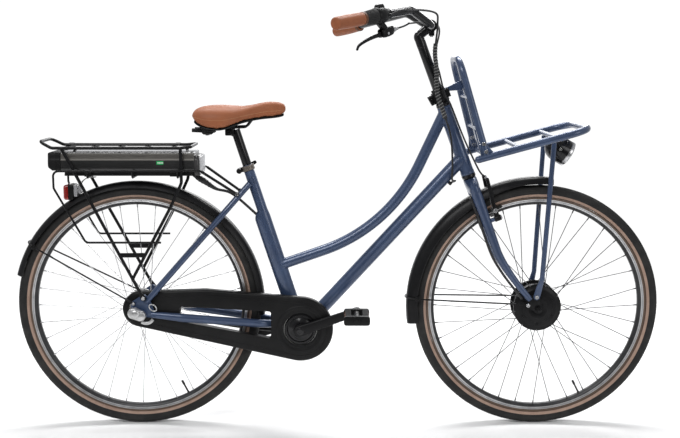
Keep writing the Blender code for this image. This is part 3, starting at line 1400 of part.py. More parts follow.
def headlamp_shell_shape():
    """A round bowl, open to the front, with a rolled edge."""
    r, wall = LAMP_RADIUS, 0.002
    outer = [(-r * 0.985, r * 0.17), (-r * 0.86, r * 0.51), (-r * 0.5, r * 0.866), (0, r), (0.026, r), (0.031, r + 0.0012), (0.036, r)]
    inner = [(0.036, r - wall), (0, r - wall), (-r * 0.5, r * 0.866 - wall), (-r * 0.8, r * 0.4)]
    return turned(outer + inner, lamp_centre(), LAMP_AIM, 18)


def headlamp_lens_shape():
    r = LAMP_RADIUS - 0.002 - TOUCH
    profile = [(0.026, r - 0.002), (0.031, r), (0.0375, r), (0.041, r * 0.6), (0.042, r * 0.15)]
    return turned(profile, lamp_centre(), LAMP_AIM, 18)


def headlamp_bracket_shape():
    """A strap from the carrier's cross tube down to both sides of the bowl."""
    centre, tube = lamp_centre(), carrier_place(STRUT_BAR_ALONG)
    hold = tube + (centre - tube).normalized() * (CARRIER_TUBE * 0.85 + TOUCH + 0.0014)
    y = LAMP_RADIUS + 0.0032
    corners = [centre - Y * y, hold - Y * y, hold + Y * y, centre + Y * y]
    return sweep(rounded_path(corners, 0.004, turn=50), bar(0.010, 0.0022), side=Y.cross(Z))


# Kickstand

STAND_AXIS = Vector((-0.124, 0.986, 0.110)).normalized()
STAND_SWING = 104


def stand_pivot():
    return Vector((REAR.x + TYRE_RADIUS + 0.060, 0.030, CRANK.z - 0.022))


def kickstand_shape():
    """Hinge block under the frame's plate, and a leg folded back beside the left chainstay."""
    pivot = stand_pivot()
    knuckle = turned([(-0.016, 0.0095), (0.016, 0.0095)], pivot, STAND_AXIS, 10)
    leg = [pivot, pivot + Vector((-0.030, 0.004, 0.000)), pivot + Vector((-0.110, 0.009, 0.006)),
           pivot + Vector((-0.180, 0.020, 0.014)), pivot + Vector((-0.262, 0.034, 0.024))]
    rubber = sweep([leg[-2], leg[-1], leg[-1] + (leg[-1] - leg[-2]).normalized() * 0.012], circle(0.0095, 8),
                   scales=[0.75, 0.8, 1.25])
    return joined(knuckle, sweep(leg, circle(0.0075, 8), side=Z), rubber)


# Cables that the bicycle holds all the way

def cable(knots, radius, sides=6, steps=3):
    return sweep(smooth_path(knots, steps), circle(radius, sides), side=Y)


def front_brake_cable_shape():
    """From the lever, in front of the head tube, to the top of the right brake arm."""
    top = on_steer(BRAKE_PIVOT_UP + BRAKE_ARM + 0.004, BRAKE_FORWARD + BRAKE_LEAN, -0.020)
    return cable([
        on_bar(RIGHT, BRAKE_CLAMP + 0.0332, 0.039), on_bar(RIGHT, BRAKE_CLAMP + 0.046, 0.0375),
        on_bar(RIGHT, BRAKE_CLAMP + 0.068, 0.036),
        BAR_CENTRE + Vector((-0.010, -0.034, -0.030)), on_steer(STEM_RISE - 0.080, 0.030, -0.018),
        on_steer(STEM_RISE - 0.130, 0.026, -0.015), on_steer(COLLAR_TOP, 0.0255, -0.0115),
        on_steer(HEAD_TOP, 0.0275, -0.0115), on_steer(HEAD_TOP - 0.100, 0.032, -0.014), on_steer(HEAD_BASE + 0.020, 0.038, -0.018),
        on_steer(CROWN_TOP + 0.004, 0.034, -0.022), top,
    ], 0.0025)


def bar_loom_shape():
    """Gear and motor cables from the twist shifter down to the port under the down tube."""
    down_top = on_steer(HEAD_BASE + DOWN_TUBE_ABOVE_HEAD_BASE)
    along = (CRANK + X * DOWN_TUBE_LEAD - down_top).normalized()
    below = along.cross(Y).normalized()
    if below.z > 0:
        below = -below
    port = down_top + along * 0.075 + below * (DOWN_TUBE_RADIUS + 0.0040)
    return cable([
        on_bar(RIGHT, SHIFTER_END + 0.0016, 0.002, -0.0200), on_bar(RIGHT, SHIFTER_END + 0.050, -0.006, -0.028),
        BAR_CENTRE + Vector((0.014, -0.048, 0.034)), BAR_CENTRE + Vector((0.024, -0.040, 0.000)),
        on_steer(STEM_RISE - 0.070, 0.030, -0.033), on_steer(STEM_RISE - 0.120, 0.022, -0.031),
        on_steer(COLLAR_TOP, 0.013, -0.031), on_steer(HEAD_TOP - 0.020, 0.010, -0.033),
        on_steer(HEAD_TOP - 0.080, -0.004, -0.034), on_steer(HEAD_BASE + 0.040, -0.034, -0.034),
        on_steer(HEAD_BASE - 0.006, -0.052, -0.026), port - along * 0.030 + below * 0.004, port,
    ], 0.0035)


def motor_cable_shape():
    """Down behind the right fork blade and into the axle's end."""
    knots = [on_steer(CROWN_BASE - 0.006, -0.020, -0.043)]
    for up, out in [(0.330, 0.0185), (0.260, 0.0185), (0.190, 0.0185), (0.130, 0.0175), (0.080, 0.0165)]:
        knots.append(blade_centre(up, RIGHT) - STEER_FORWARD * out)
    knots.append(blade_centre(0.045, RIGHT) + Vector((-0.016, 0, -0.006)))
    return cable(knots, 0.0030)


def controller_lead_shape():
    """The sleeve of wires from the controller to the seat tube."""
    start = Vector((battery_front() + 0.012, 0, battery_base() - 0.008))
    end = on_seat(SWELL_TOP + 0.004, -SEAT_TUBE_RADIUS - 0.007)
    bend = Vector((start.x + 0.050, -0.012, start.z - 0.030))
    return cable([start, bend, mix(bend, end, 0.55) + Vector((0, -0.006, 0.004)), end], 0.0065, 8)


# The whole bicycle

def build():
    for thing in list(bpy.data.objects):
        bpy.data.objects.remove(thing)

    blue = look("frame_blue", (0.035, 0.060, 0.170), 0.30, 0.55)
    black_metal = look("black_metal", (0.012, 0.012, 0.013), 0.40, 0.3)
    black_plastic = look("black_plastic", (0.018, 0.018, 0.019), 0.55)
    rubber = look("rubber", (0.012, 0.012, 0.012), 0.80)
    tyre = look("tyre", (0.020, 0.018, 0.016), 0.85)
    leather = look("brown_leather", (0.420, 0.140, 0.055), 0.50)
    alloy = look("alloy", (0.600, 0.600, 0.610), 0.30, 1.0)
    steel = look("steel", (0.450, 0.450, 0.460), 0.30, 1.0)
    battery_case = look("battery_case", (0.030, 0.030, 0.032), 0.45)
    red_lens = look("red_lens", (0.450, 0.010, 0.010), 0.15)
    clear_lens = look("clear_lens", (0.800, 0.820, 0.850), 0.05)

    add_body("frame", Vector((0, 0, 0)))
    add_body("steering", STEER_FOOT, "frame")
    add_body("front_wheel", FRONT, "steering")
    add_body("rear_wheel", REAR, "frame")
    add_body("rear_sprocket", REAR, "frame")
    add_body("crankset", CRANK, "frame")
    add_body("right_pedal", pedal_centre(RIGHT), "crankset")
    add_body("left_pedal", pedal_centre(LEFT), "crankset")
    add_body("shifter", bar_corners(RIGHT)[3], "steering")
    add_body("brake_lever", on_bar(RIGHT, *LEVER_PIVOT), "steering")
    add_body("right_brake_arm", brake_pivot(RIGHT), "steering")
    add_body("left_brake_arm", brake_pivot(LEFT), "steering")
    add_body("headlamp", lamp_centre(), "steering")
    add_body("seatpost", on_seat(SEAT_TUBE_LENGTH), "frame")
    add_body("saddle", saddle_pivot(), "seatpost")
    add_body("seat_clamp_lever", clamp_lever_pivot(), "frame")
    add_body("battery", Vector((battery_front(), 0, battery_base())), "frame")
    add_body("kickstand", stand_pivot(), "frame")

    piece("frame", frame_shape(), blue, "frame")
    piece("headset_upper", headset_shape(HEAD_TOP, 1), black_metal, "frame")
    piece("headset_lower", headset_shape(HEAD_BASE, -1), black_metal, "frame")
    piece("bottom_bracket", bottom_bracket_shape(), black_metal, "frame")
    piece("chaincase_cover", chaincase_cover_shape(), black_plastic, "frame")
    piece("chaincase_back", chaincase_back_shape(), black_plastic, "frame")
    piece("chain", chain_shape(), steel, "frame")
    piece("rear_mudguard", guard_shape(REAR, REAR_GUARD_RADIUS, REAR_GUARD_NOSE, REAR_GUARD_TAIL, 27),
          black_metal, "frame")
    rear_foot = REAR + Vector((-0.005, -(REAR_HUB_WIDTH / 2 + DROPOUT_SHEET + 0.0028), 0.021))
    piece("rear_mudguard_stay", guard_stay_shape(REAR, REAR_GUARD_RADIUS, radians(149), rear_foot),
          black_metal, "frame")
    piece("rear_rack", rear_rack_shape(), black_metal, "frame")
    piece("rack_strap", rack_strap_shape(), rubber, "frame")
    piece("battery_dock", battery_dock_shape(), black_plastic, "frame")
    piece("tail_light_body", tail_light_body_shape(), black_plastic, "frame")
    piece("tail_light_lens", tail_light_lens_shape(), red_lens, "frame")
    piece("rear_axle", rear_axle_shape(), steel, "frame")
    piece("seat_clamp", seat_clamp_shape(), steel, "frame")
    piece("controller_lead", controller_lead_shape(), rubber, "frame")

    piece("fork", fork_shape(), blue, "steering")
    piece("stem", stem_shape(), black_metal, "steering")
    piece("steerer_nut", pipe(STEER_FOOT, STEER_UP, STEERER_TOP + TOUCH, STEERER_TOP + 0.009, 0.0185,
                              QUILL_RADIUS + TOUCH, 14), black_metal, "steering")
    piece("handlebar", handlebar_shape(), black_metal, "steering")
    piece("grip_right", grip_shape(RIGHT, GRIP_LENGTH), leather, "steering")
    piece("grip_left", grip_shape(LEFT, GRIP_LENGTH), leather, "steering")
    piece("shifter_housing", shifter_housing_shape(), black_plastic, "steering")
    piece("brake_bracket", brake_bracket_shape(), black_metal, "steering")
    piece("front_carrier", front_carrier_shape(), blue, "steering")
    piece("carrier_strut_right", strut_shape(RIGHT), blue, "steering")
    piece("carrier_strut_left", strut_shape(LEFT), blue, "steering")
    piece("headlamp_bracket", headlamp_bracket_shape(), black_metal, "steering")
    piece("front_mudguard", guard_shape(FRONT, FRONT_GUARD_RADIUS, FRONT_GUARD_NOSE, FRONT_GUARD_TAIL, 18),
          black_metal, "steering")
    front_foot = FRONT + Vector((-0.032, -(FRONT_HUB_WIDTH / 2 + DROPOUT_SHEET + 0.0028), 0.014))
    piece("front_mudguard_stay", guard_stay_shape(FRONT, FRONT_GUARD_RADIUS, radians(176), front_foot),
          black_metal, "steering")
    piece("front_axle", front_axle_shape(), steel, "steering")
    piece("front_brake_cable", front_brake_cable_shape(), rubber, "steering")
    piece("bar_loom", bar_loom_shape(), rubber, "steering")
    piece("motor_cable", motor_cable_shape(), rubber, "steering")

    piece("front_tyre", tyre_shape(FRONT), tyre, "front_wheel", crease=60)
    piece("front_rim", rim_shape(FRONT), alloy, "front_wheel")
    piece("front_hub", front_hub_shape(), black_metal, "front_wheel")
    piece("rear_tyre", tyre_shape(REAR), tyre, "rear_wheel", crease=60)
    piece("rear_rim", rim_shape(REAR), alloy, "rear_wheel")
    piece("rear_hub", rear_hub_shape(), steel, "rear_wheel")
    piece("rear_sprocket", toothed(SPROCKET_TEETH, SPROCKET_RADIUS, REAR, 0.0022, 0.017), steel, "rear_sprocket")

    piece("chainring", toothed(CHAINRING_TEETH, CHAINRING_RADIUS, CRANK, 0.0022, CRANK_AXLE_RADIUS + TOUCH),
          steel, "crankset")
    piece("crank_axle", crank_axle_shape(), steel, "crankset")
    piece("crank_right", crank_arm_shape(RIGHT), black_metal, "crankset")
    piece("crank_left", crank_arm_shape(LEFT), black_metal, "crankset")
    piece("pedal_right", pedal_shape(RIGHT), black_plastic, "right_pedal")
    piece("pedal_left", pedal_shape(LEFT), black_plastic, "left_pedal")

    piece("shifter_sleeve", shifter_sleeve_shape(), rubber, "shifter")
    piece("brake_lever", brake_lever_shape(), black_metal, "brake_lever")
    piece("brake_arm_right", brake_arm_shape(RIGHT), black_metal, "right_brake_arm")
    piece("brake_arm_left", brake_arm_shape(LEFT), black_metal, "left_brake_arm")
    piece("headlamp_shell", headlamp_shell_shape(), black_plastic, "headlamp")
    piece("headlamp_lens", headlamp_lens_shape(), clear_lens, "headlamp")
    piece("seatpost", seatpost_shape(), black_metal, "seatpost")
    piece("saddle_cover", saddle_cover_shape(), leather, "saddle", crease=60)
    piece("saddle_base", saddle_base_shape(), black_plastic, "saddle")
    piece("seat_clamp_lever", seat_clamp_lever_shape(), black_metal, "seat_clamp_lever")
    piece("battery", battery_shape(), battery_case, "battery")
    piece("kickstand", kickstand_shape(), black_metal, "kickstand")

    for name, (_, place) in PIVOTS.items():
        print("pivot", name, [round(value, 5) for value in place])


build()
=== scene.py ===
import json
from itertools import accumulate
from math import asin, atan2, ceil, cos, hypot, pi, radians, sin, sqrt, tan

import bmesh
import bpy
from mathutils import Matrix, Vector
from mathutils.bvhtree import BVHTree

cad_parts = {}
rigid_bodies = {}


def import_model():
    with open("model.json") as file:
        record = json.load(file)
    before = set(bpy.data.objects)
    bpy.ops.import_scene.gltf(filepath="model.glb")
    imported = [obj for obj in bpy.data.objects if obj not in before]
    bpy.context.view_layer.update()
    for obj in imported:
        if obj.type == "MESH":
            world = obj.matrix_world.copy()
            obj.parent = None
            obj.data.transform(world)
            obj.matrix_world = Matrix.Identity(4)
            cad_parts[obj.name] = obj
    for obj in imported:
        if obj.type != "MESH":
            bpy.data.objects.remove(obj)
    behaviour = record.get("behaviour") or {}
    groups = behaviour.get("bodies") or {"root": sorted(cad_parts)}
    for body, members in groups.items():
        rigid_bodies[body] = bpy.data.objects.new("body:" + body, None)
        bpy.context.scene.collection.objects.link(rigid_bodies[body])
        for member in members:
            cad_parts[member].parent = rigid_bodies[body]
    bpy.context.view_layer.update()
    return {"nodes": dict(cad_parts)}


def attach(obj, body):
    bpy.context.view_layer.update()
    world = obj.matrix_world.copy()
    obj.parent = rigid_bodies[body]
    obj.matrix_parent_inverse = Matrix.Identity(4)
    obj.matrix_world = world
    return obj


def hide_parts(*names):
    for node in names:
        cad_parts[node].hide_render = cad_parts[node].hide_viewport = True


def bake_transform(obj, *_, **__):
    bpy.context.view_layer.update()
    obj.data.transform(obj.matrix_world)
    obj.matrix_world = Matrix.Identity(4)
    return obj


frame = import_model()


def at(x, y, z):
    # a place or an offset in millimetres
    return Vector((x / 1000, y / 1000, z / 1000))


# Directions and main places, the same as in the CAD source
xAxis, yAxis, zAxis = Vector((1, 0, 0)), Vector((0, 1, 0)), Vector((0, 0, 1))
rearHub, frontHub = at(-575, 0, 352), at(575, 0, 352)
crank = at(-107.3, 0, 293)
seatUp = Vector((-cos(radians(72.1)), 0, sin(radians(72.1))))
seatForward = Vector((sin(radians(72.1)), 0, cos(radians(72.1))))
steerUp = Vector((-cos(radians(69.4)), 0, sin(radians(69.4))))
steerForward = Vector((sin(radians(69.4)), 0, cos(radians(69.4))))
rake = 0.0552
steerFoot = frontHub - steerForward * rake
crownBase = sqrt(0.381**2 - rake**2)
crownTop = crownBase + 0.040
headBase, headTop = crownTop + 0.013, crownTop + 0.219
collarTop = headTop + 0.033
steererTop = collarTop + 0.001
barCentre = steerFoot + steerUp * 0.859 + steerForward * 0.040
seatTubeLength = 0.492


def onSteer(up, forward=0.0, side=0.0):
    return steerFoot + steerUp * up + steerForward * forward + yAxis * side


def onSeat(up, forward=0.0, side=0.0):
    return crank + seatUp * up + seatForward * forward + yAxis * side


# Outlines and paths

def mix(a, b, share):
    return a + (b - a) * share


def spread(count, low, high):
    return [mix(low, high, k / (count - 1)) for k in range(count)]


def mm(points):
    # points written in millimetres, with a comma between them
    return [tuple(float(value) / 1000 for value in point.split()) for point in points.split(",")]


def oval(wide, high, sides, phase=0.5):
    turns = [2 * pi * (k + phase) / sides for k in range(sides)]
    return [(wide * cos(t), high * sin(t)) for t in turns]


def roundBar(wide, high, corner, steps=4):
    # rectangle with round corners
    points = []
    for k, (sx, sy) in enumerate([(1, 1), (-1, 1), (-1, -1), (1, -1)]):
        for j in range(steps + 1):
            t = pi / 2 * (k + j / steps)
            points.append((sx * (wide / 2 - corner) + corner * cos(t), sy * (high / 2 - corner) + corner * sin(t)))
    return points


def belt(circles, steps=48):
    # outline of a belt round circles given as (x, z, radius)
    spots = set()
    for x, z, radius in circles:
        for k in range(steps):
            t = 2 * pi * (k + 0.5) / steps
            spots.add((round(x + radius * cos(t), 7), round(z + radius * sin(t), 7)))
    spots = sorted(spots)

    def half(run):
        chain = []
        for spot in run:
            while len(chain) > 1 and (
                (chain[-1][0] - chain[-2][0]) * (spot[1] - chain[-2][1])
                - (chain[-1][1] - chain[-2][1]) * (spot[0] - chain[-2][0])
            ) <= 1e-12:
                chain.pop()
            chain.append(spot)
        return chain[:-1]

    return half(spots) + half(spots[::-1])


def roundHole(centre, radius, count=64):
    return [(centre.x + u, centre.z + v) for u, v in oval(radius, radius, count, 0)]


def heading(path, k):
    # direction of a path at its point k
    return (path[min(k + 1, len(path) - 1)] - path[max(k - 1, 0)]).normalized()


def roundedPath(corners, radius, turn=6):
    path = [corners[0]]
    for before, corner, after in zip(corners, corners[1:], corners[2:]):
        back, on = (before - corner).normalized(), (after - corner).normalized()
        half = back.angle(on) / 2
        if half > radians(89):
            path.append(corner)
            continue
        centre = corner + (back + on).normalized() * radius / sin(half)
        start = corner + back * radius / tan(half) - centre
        end = corner + on * radius / tan(half) - centre
        axis = start.cross(end).normalized()
        swing = pi - 2 * half
        count = max(1, ceil(swing / radians(turn)))
        path += [centre + Matrix.Rotation(swing * k / count, 4, axis) @ start for k in range(count + 1)]
    return path + [corners[-1]]


def runLengths(path):
    # length of the path up to each of its points
    return [0.0, *accumulate((b - a).length for a, b in zip(path, path[1:]))]


def smoothPath(knots, steps=8):
    path = []
    for i in range(len(knots) - 1):
        p0, p1, p2 = knots[max(i - 1, 0)], knots[i], knots[i + 1]
        p3 = knots[min(i + 2, len(knots) - 1)]
        for k in range(steps):
            t = k / steps
            path.append((p1 * 2 + (p2 - p0) * t + (p0 * 2 - p1 * 5 + p2 * 4 - p3) * t * t
                         + (p1 * 3 - p0 - p2 * 3 + p3) * t**3) / 2)
    return path + [knots[-1]]


# Shapes, each a bmesh until it becomes a piece

def skin(rings, loop=False):
    shape = bmesh.new()
    rows = [[shape.verts.new(point) for point in ring] for ring in rings]
    pairs = list(zip(rows, rows[1:])) + ([(rows[-1], rows[0])] if loop else [])
    for low, high in pairs:
        for i in range(len(low)):
            j = (i + 1) % len(low)
            shape.faces.new((low[i], low[j], high[j], high[i]))
    if not loop:
        shape.faces.new(rows[0])
        shape.faces.new(rows[-1])
    bmesh.ops.recalc_face_normals(shape, faces=shape.faces)
    return shape


def sweep(points, section, side=yAxis, scales=None, closed=False):
    # one section along a path, mitred at each bend
    points = [Vector(p) for p in points]
    if closed:
        points = points + [points[0], points[1]]
    steps = [(b - a).normalized() for a, b in zip(points, points[1:])]
    across = (side - steps[0] * side.dot(steps[0])).normalized()
    upward = steps[0].cross(across)
    offsets = [across * u + upward * v for u, v in section]
    scales = scales or [1] * len(points)
    rings = [[points[0] + offset * scales[0] for offset in offsets]]
    for i in range(1, len(points)):
        step = steps[i - 1]
        plane = (step + steps[i]).normalized() if i < len(steps) else step
        lean = step.dot(plane)
        offsets = [offset - step * (offset.dot(plane) / lean) for offset in offsets]
        rings.append([points[i] + offset * scales[i] for offset in offsets])
    return skin(rings[1:-1], loop=True) if closed else skin(rings)


def tube(points, radius, sides=16, side=yAxis, scales=None, closed=False):
    return sweep(points, oval(radius, radius, sides), side, scales, closed)


def rod(start, end, radius, sides=16):
    return tube([start, end], radius, sides, side=xAxis if abs((end - start).normalized().x) < 0.7 else yAxis)


def lathe(profile, origin, axis, sides=48, hollow=False):
    # (distance along the axis, radius) pairs turned round it
    first = xAxis if abs(axis.dot(yAxis)) > 0.9 else yAxis
    first = (first - axis * first.dot(axis)).normalized()
    second = axis.cross(first)
    rings = [[origin + axis * along + first * u + second * v for u, v in oval(radius, radius, sides)]
             for along, radius in profile]
    return skin(rings, loop=hollow)


def pipe(profile, origin, axis, sides=48):
    # the same for a closed section that leaves a bore
    return lathe(profile, origin, axis, sides, hollow=True)


def prism(outline, low, high):
    return skin([[Vector((x, y, z)) for x, z in outline] for y in (low, high)])


def plate(outline, holes, low, high):
    # a flat sheet between y = low and y = high, with holes given as outlines
    shape = bmesh.new()
    loops = []
    for line in [outline, *holes]:
        verts = [shape.verts.new((x, low, z)) for x, z in line]
        loops += [shape.edges.new((verts[i], verts[(i + 1) % len(verts)])) for i in range(len(verts))]
    flat = bmesh.ops.triangle_fill(shape, use_beauty=True, use_dissolve=False, edges=loops)
    faces = [f for f in flat["geom"] if isinstance(f, bmesh.types.BMFace)]
    grown = bmesh.ops.extrude_face_region(shape, geom=faces)
    moved = [v for v in grown["geom"] if isinstance(v, bmesh.types.BMVert)]
    bmesh.ops.translate(shape, vec=(0, high - low, 0), verts=moved)
    bmesh.ops.recalc_face_normals(shape, faces=shape.faces)
    return shape


def block(centre, size, turn=0.0):
    shape = bmesh.new()
    place = Matrix.Translation(centre) @ Matrix.Rotation(-turn, 4, "Y") @ Matrix.Diagonal((*size, 1))
    bmesh.ops.create_cube(shape, size=1, matrix=place)
    return shape


def soften(shape, width=0.001, segments=2, angle=30):
    # rounds every edge that is sharper than angle
    edges = [e for e in shape.edges if len(e.link_faces) == 2 and e.calc_face_angle(0) > radians(angle)]
    bmesh.ops.bevel(shape, geom=edges, offset=width, offset_type="OFFSET", segments=segments,
                    profile=0.5, affect="EDGES", clamp_overlap=True)
    return shape


def brick(place, x, y, z, edge, segments=2, turn=0.0):
    # block with rounded edges, its sides in millimetres
    return soften(block(place, (x / 1000, y / 1000, z / 1000), turn), edge / 1000, segments)


def merge(*shapes):
    whole = bmesh.new()
    for shape in shapes:
        mesh = bpy.data.meshes.new("part")
        shape.to_mesh(mesh)
        shape.free()
        whole.from_mesh(mesh)
        bpy.data.meshes.remove(mesh)
    return whole


def mirrored(shape):
    other = shape.copy()
    bmesh.ops.scale(other, vec=(1, -1, 1), verts=other.verts)
    bmesh.ops.reverse_faces(other, faces=other.faces)
    return other


def cutBy(base, *tools):
    # base cut by tools, through exact Booleans
    mesh = bpy.data.meshes.new("host")
    base.to_mesh(mesh)
    base.free()
    host = bpy.data.objects.new("host", mesh)
    bpy.context.scene.collection.objects.link(host)
    group = bpy.data.collections.new("tools")
    for tool in tools:
        toolMesh = bpy.data.meshes.new("tool")
        tool.to_mesh(toolMesh)
        tool.free()
        group.objects.link(bpy.data.objects.new("tool", toolMesh))
    step = host.modifiers.new("cut", "BOOLEAN")
    step.operation, step.solver = "DIFFERENCE", "EXACT"
    step.operand_type, step.collection = "COLLECTION", group
    graph = bpy.context.evaluated_depsgraph_get()
    result = bpy.data.meshes.new_from_object(host.evaluated_get(graph))
    shape = bmesh.new()
    shape.from_mesh(result)
    bmesh.ops.remove_doubles(shape, verts=shape.verts, dist=1e-6)
    for spent in [host, *group.objects]:
        bpy.data.objects.remove(spent)
    bpy.data.collections.remove(group)
    return shape


def hexNut(place, axis, across, height, cap):
    # six-sided nut with a washer, its dome standing cap high
    washer = lathe([(0, across * 0.66), (0.0014, across * 0.66)], place, axis, 24)
    nut = lathe([(0.0014, across / sqrt(3)), (height - 0.0006, across / sqrt(3)), (height, across * 0.50)],
                place, axis, 6)
    dome = [(height + cap * sin(t), across * 0.40 * cos(t)) for t in spread(6, 0, radians(84))]
    return merge(washer, soften(nut, 0.0003), lathe([(height - 0.001, across * 0.40), *dome], place, axis, 20))


def screw(place, axis, radius, height=0.003):
    # round head with a socket in it
    head = [(0, radius), (height * 0.7, radius), (height, radius * 0.86), (height, radius * 0.5),
            (height * 0.45, radius * 0.48), (height * 0.4, radius * 0.05)]
    return lathe(head, place, axis, 20)


def weld(start, direction, radius, otherPlace, otherAxis, otherRadius, size=0.0022):
    # bead where a tube that runs from start along direction meets a second tube
    direction, otherAxis = direction.normalized(), otherAxis.normalized()
    first = direction.orthogonal().normalized()
    second = direction.cross(first)
    ring = []
    for k in range(64):
        t = 2 * pi * k / 64
        spot = start + first * radius * cos(t) + second * radius * sin(t) - otherPlace
        flatSpot = spot - otherAxis * spot.dot(otherAxis)
        flatWay = direction - otherAxis * direction.dot(otherAxis)
        a, b = flatWay.dot(flatWay), flatSpot.dot(flatWay)
        rest = b * b - a * (flatSpot.dot(flatSpot) - otherRadius**2)
        along = (-b - sqrt(max(rest, 0))) / a
        ring.append(spot + otherPlace + direction * along)
    return tube(ring, size, 8, side=direction, closed=True)


usualSlots = {finish: slot for slot, names in {
    "black_metal": "satin gloss darkSpoke collar",
    "steel": "steel zinc spoke mirror",
    "alloy": "alloy",
    "black_plastic": "plastic silver",
    "rubber": "rubber cable grey",
    "frame_paint": "blue",
    "leather": "leather grip thread darkGrip",
    "battery_case": "battery green white",
    "red_lens": "red",
    "clear_lens": "clear pale frosted amber",
}.items() for finish in names.split()}
usualSlots.update(frontTyre="tyre", rearTyre="tyre", frontRim="alloy", rearRim="alloy")


def addPiece(name, shape, finish, body, *nodes, slot=None, crease=35):
    # a slot is worked out from the finish unless one is named, but it is not kept on the piece
    mesh = bpy.data.meshes.new(name)
    shape.to_mesh(mesh)
    shape.free()
    mesh.materials.append(finishes[finish])
    mesh.shade_smooth()
    mesh.set_sharp_from_angle(angle=radians(crease))
    piece = bpy.data.objects.new(name, mesh)
    bpy.context.scene.collection.objects.link(piece)
    if body:
        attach(piece, body)
    if nodes:
        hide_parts(*nodes)
    slot = slot or usualSlots[finish]
    return piece


# Shader maths: a socket that takes part in Python sums

class Wire:
    def __init__(self, finish, socket):
        self.finish, self.socket = finish, socket

    def maths(self, operation, *others):
        made = self.finish.node("ShaderNodeMath", {"operation": operation}, {0: self, **{
            k + 1: other for k, other in enumerate(others)}})
        return Wire(self.finish, made.outputs[0])

    def flipped(self, operation, other):
        made = self.finish.node("ShaderNodeMath", {"operation": operation}, {0: other, 1: self})
        return Wire(self.finish, made.outputs[0])

    def __add__(self, other):
        return self.maths("ADD", other)

    def __sub__(self, other):
        return self.maths("SUBTRACT", other)

    def __rsub__(self, other):
        return self.flipped("SUBTRACT", other)

    def __mul__(self, other):
        return self.maths("MULTIPLY", other)

    def step(self, low, high):
        # 0 below low, 1 above high, soft between them
        made = self.finish.node("ShaderNodeMapRange", {"interpolation_type": "SMOOTHSTEP"}, {
            "Value": self, "From Min": low, "From Max": high})
        return Wire(self.finish, made.outputs[0])

    def band(self, low, high, soft):
        return self.step(low - soft, low + soft) * (1 - self.step(high - soft, high + soft))


class Finish:
    def __init__(self, name, **fixed):
        self.material = bpy.data.materials.new(name)
        self.material.use_nodes = True
        self.tree = self.material.node_tree
        self.shader = self.tree.nodes["Principled BSDF"]
        for key, value in fixed.items():
            self.shader.inputs[sockets[key]].default_value = (*value, 1) if isinstance(value, tuple) else value
        spot = self.node("ShaderNodeTexCoord")
        self.spot = Wire(self, spot.outputs["Object"])
        apart = self.node("ShaderNodeSeparateXYZ", None, {0: self.spot})
        self.x, self.y, self.z = (Wire(self, apart.outputs[k]) for k in range(3))

    def node(self, kind, settings=None, values=None):
        made = self.tree.nodes.new(kind)
        for key, value in (settings or {}).items():
            if key == "stops":
                for k, (place, colour) in enumerate(value):
                    stop = made.color_ramp.elements[k] if k < 2 else made.color_ramp.elements.new(place)
                    stop.position, stop.color = place, (*colour, 1)
            else:
                setattr(made, key, value)
        for key, value in (values or {}).items():
            if isinstance(value, Wire):
                self.tree.links.new(value.socket, made.inputs[key])
            else:
                made.inputs[key].default_value = (*value, 1) if (
                    isinstance(value, tuple) and made.inputs[key].type == "RGBA") else value
        return made

    def noise(self, scale, detail=3.0, roughness=0.55, place=None):
        made = self.node("ShaderNodeTexNoise", None, {
            "Vector": place or self.spot, "Scale": scale, "Detail": detail, "Roughness": roughness})
        return Wire(self, made.outputs[0])

    def cells(self, scale, feature="F1", place=None, output="Distance"):
        made = self.node("ShaderNodeTexVoronoi", {"feature": feature}, {"Vector": place or self.spot, "Scale": scale})
        return Wire(self, made.outputs[output])

    def stretched(self, x, y, z):
        made = self.node("ShaderNodeVectorMath", {"operation": "MULTIPLY"}, {0: self.spot, 1: (x, y, z)})
        return Wire(self, made.outputs[0])

    def distance(self, place):
        # how far the surface is from an axis through place along Y
        made = self.node("ShaderNodeVectorMath", {"operation": "SUBTRACT"}, {0: self.spot, 1: tuple(place)})
        flat = self.node("ShaderNodeVectorMath", {"operation": "MULTIPLY"}, {
            0: Wire(self, made.outputs[0]), 1: (1, 0, 1)})
        far = self.node("ShaderNodeVectorMath", {"operation": "LENGTH"}, {0: Wire(self, flat.outputs[0])})
        return Wire(self, far.outputs["Value"])

    def blend(self, share, first, second):
        made = self.node("ShaderNodeMix", {"data_type": "RGBA"}, {0: share, 6: first, 7: second})
        return Wire(self, made.outputs[2])

    def feed(self, socket, wire):
        self.tree.links.new(wire.socket, self.shader.inputs[socket])

    def relief(self, height, depth, strength=1.0):
        made = self.node("ShaderNodeBump", None, {"Height": height, "Distance": depth, "Strength": strength})
        self.feed("Normal", Wire(self, made.outputs[0]))


sockets = {
    "colour": "Base Color", "rough": "Roughness", "metal": "Metallic", "coat": "Coat Weight",
    "coatRough": "Coat Roughness", "sheen": "Sheen Weight", "sheenRough": "Sheen Roughness", "ior": "IOR",
    "specular": "Specular IOR Level", "through": "Transmission Weight", "below": "Subsurface Weight",
    "glow": "Emission Strength", "glowColour": "Emission Color", "alpha": "Alpha",
}


# Finishes

def paintFinish(name, light, dark, rough=0.38, metal=0.32, coat=0.55):
    # metallic paint: fine flakes, a clear coat with slight orange peel, faint dust
    made = Finish(name, coat=coat, coatRough=0.12)
    flakes = made.cells(2600, output="Color")
    flake = made.node("ShaderNodeSeparateColor", None, {0: flakes})
    tone = made.noise(9, 2) * 0.55 + made.noise(60, 3) * 0.25 + Wire(made, flake.outputs[0]) * 0.16
    made.feed("Base Color", made.blend(tone.step(0.25, 0.85), dark, light))
    made.feed("Roughness", made.noise(140, 4) * 0.10 + made.noise(6, 2) * 0.08 + (rough - 0.09))
    made.feed("Metallic", Wire(made, flake.outputs[1]) * 0.10 + (metal - 0.05))
    made.relief(made.noise(420, 2) * 0.6 + made.noise(1500, 1) * 0.1, 0.00003, 0.10)
    return made.material


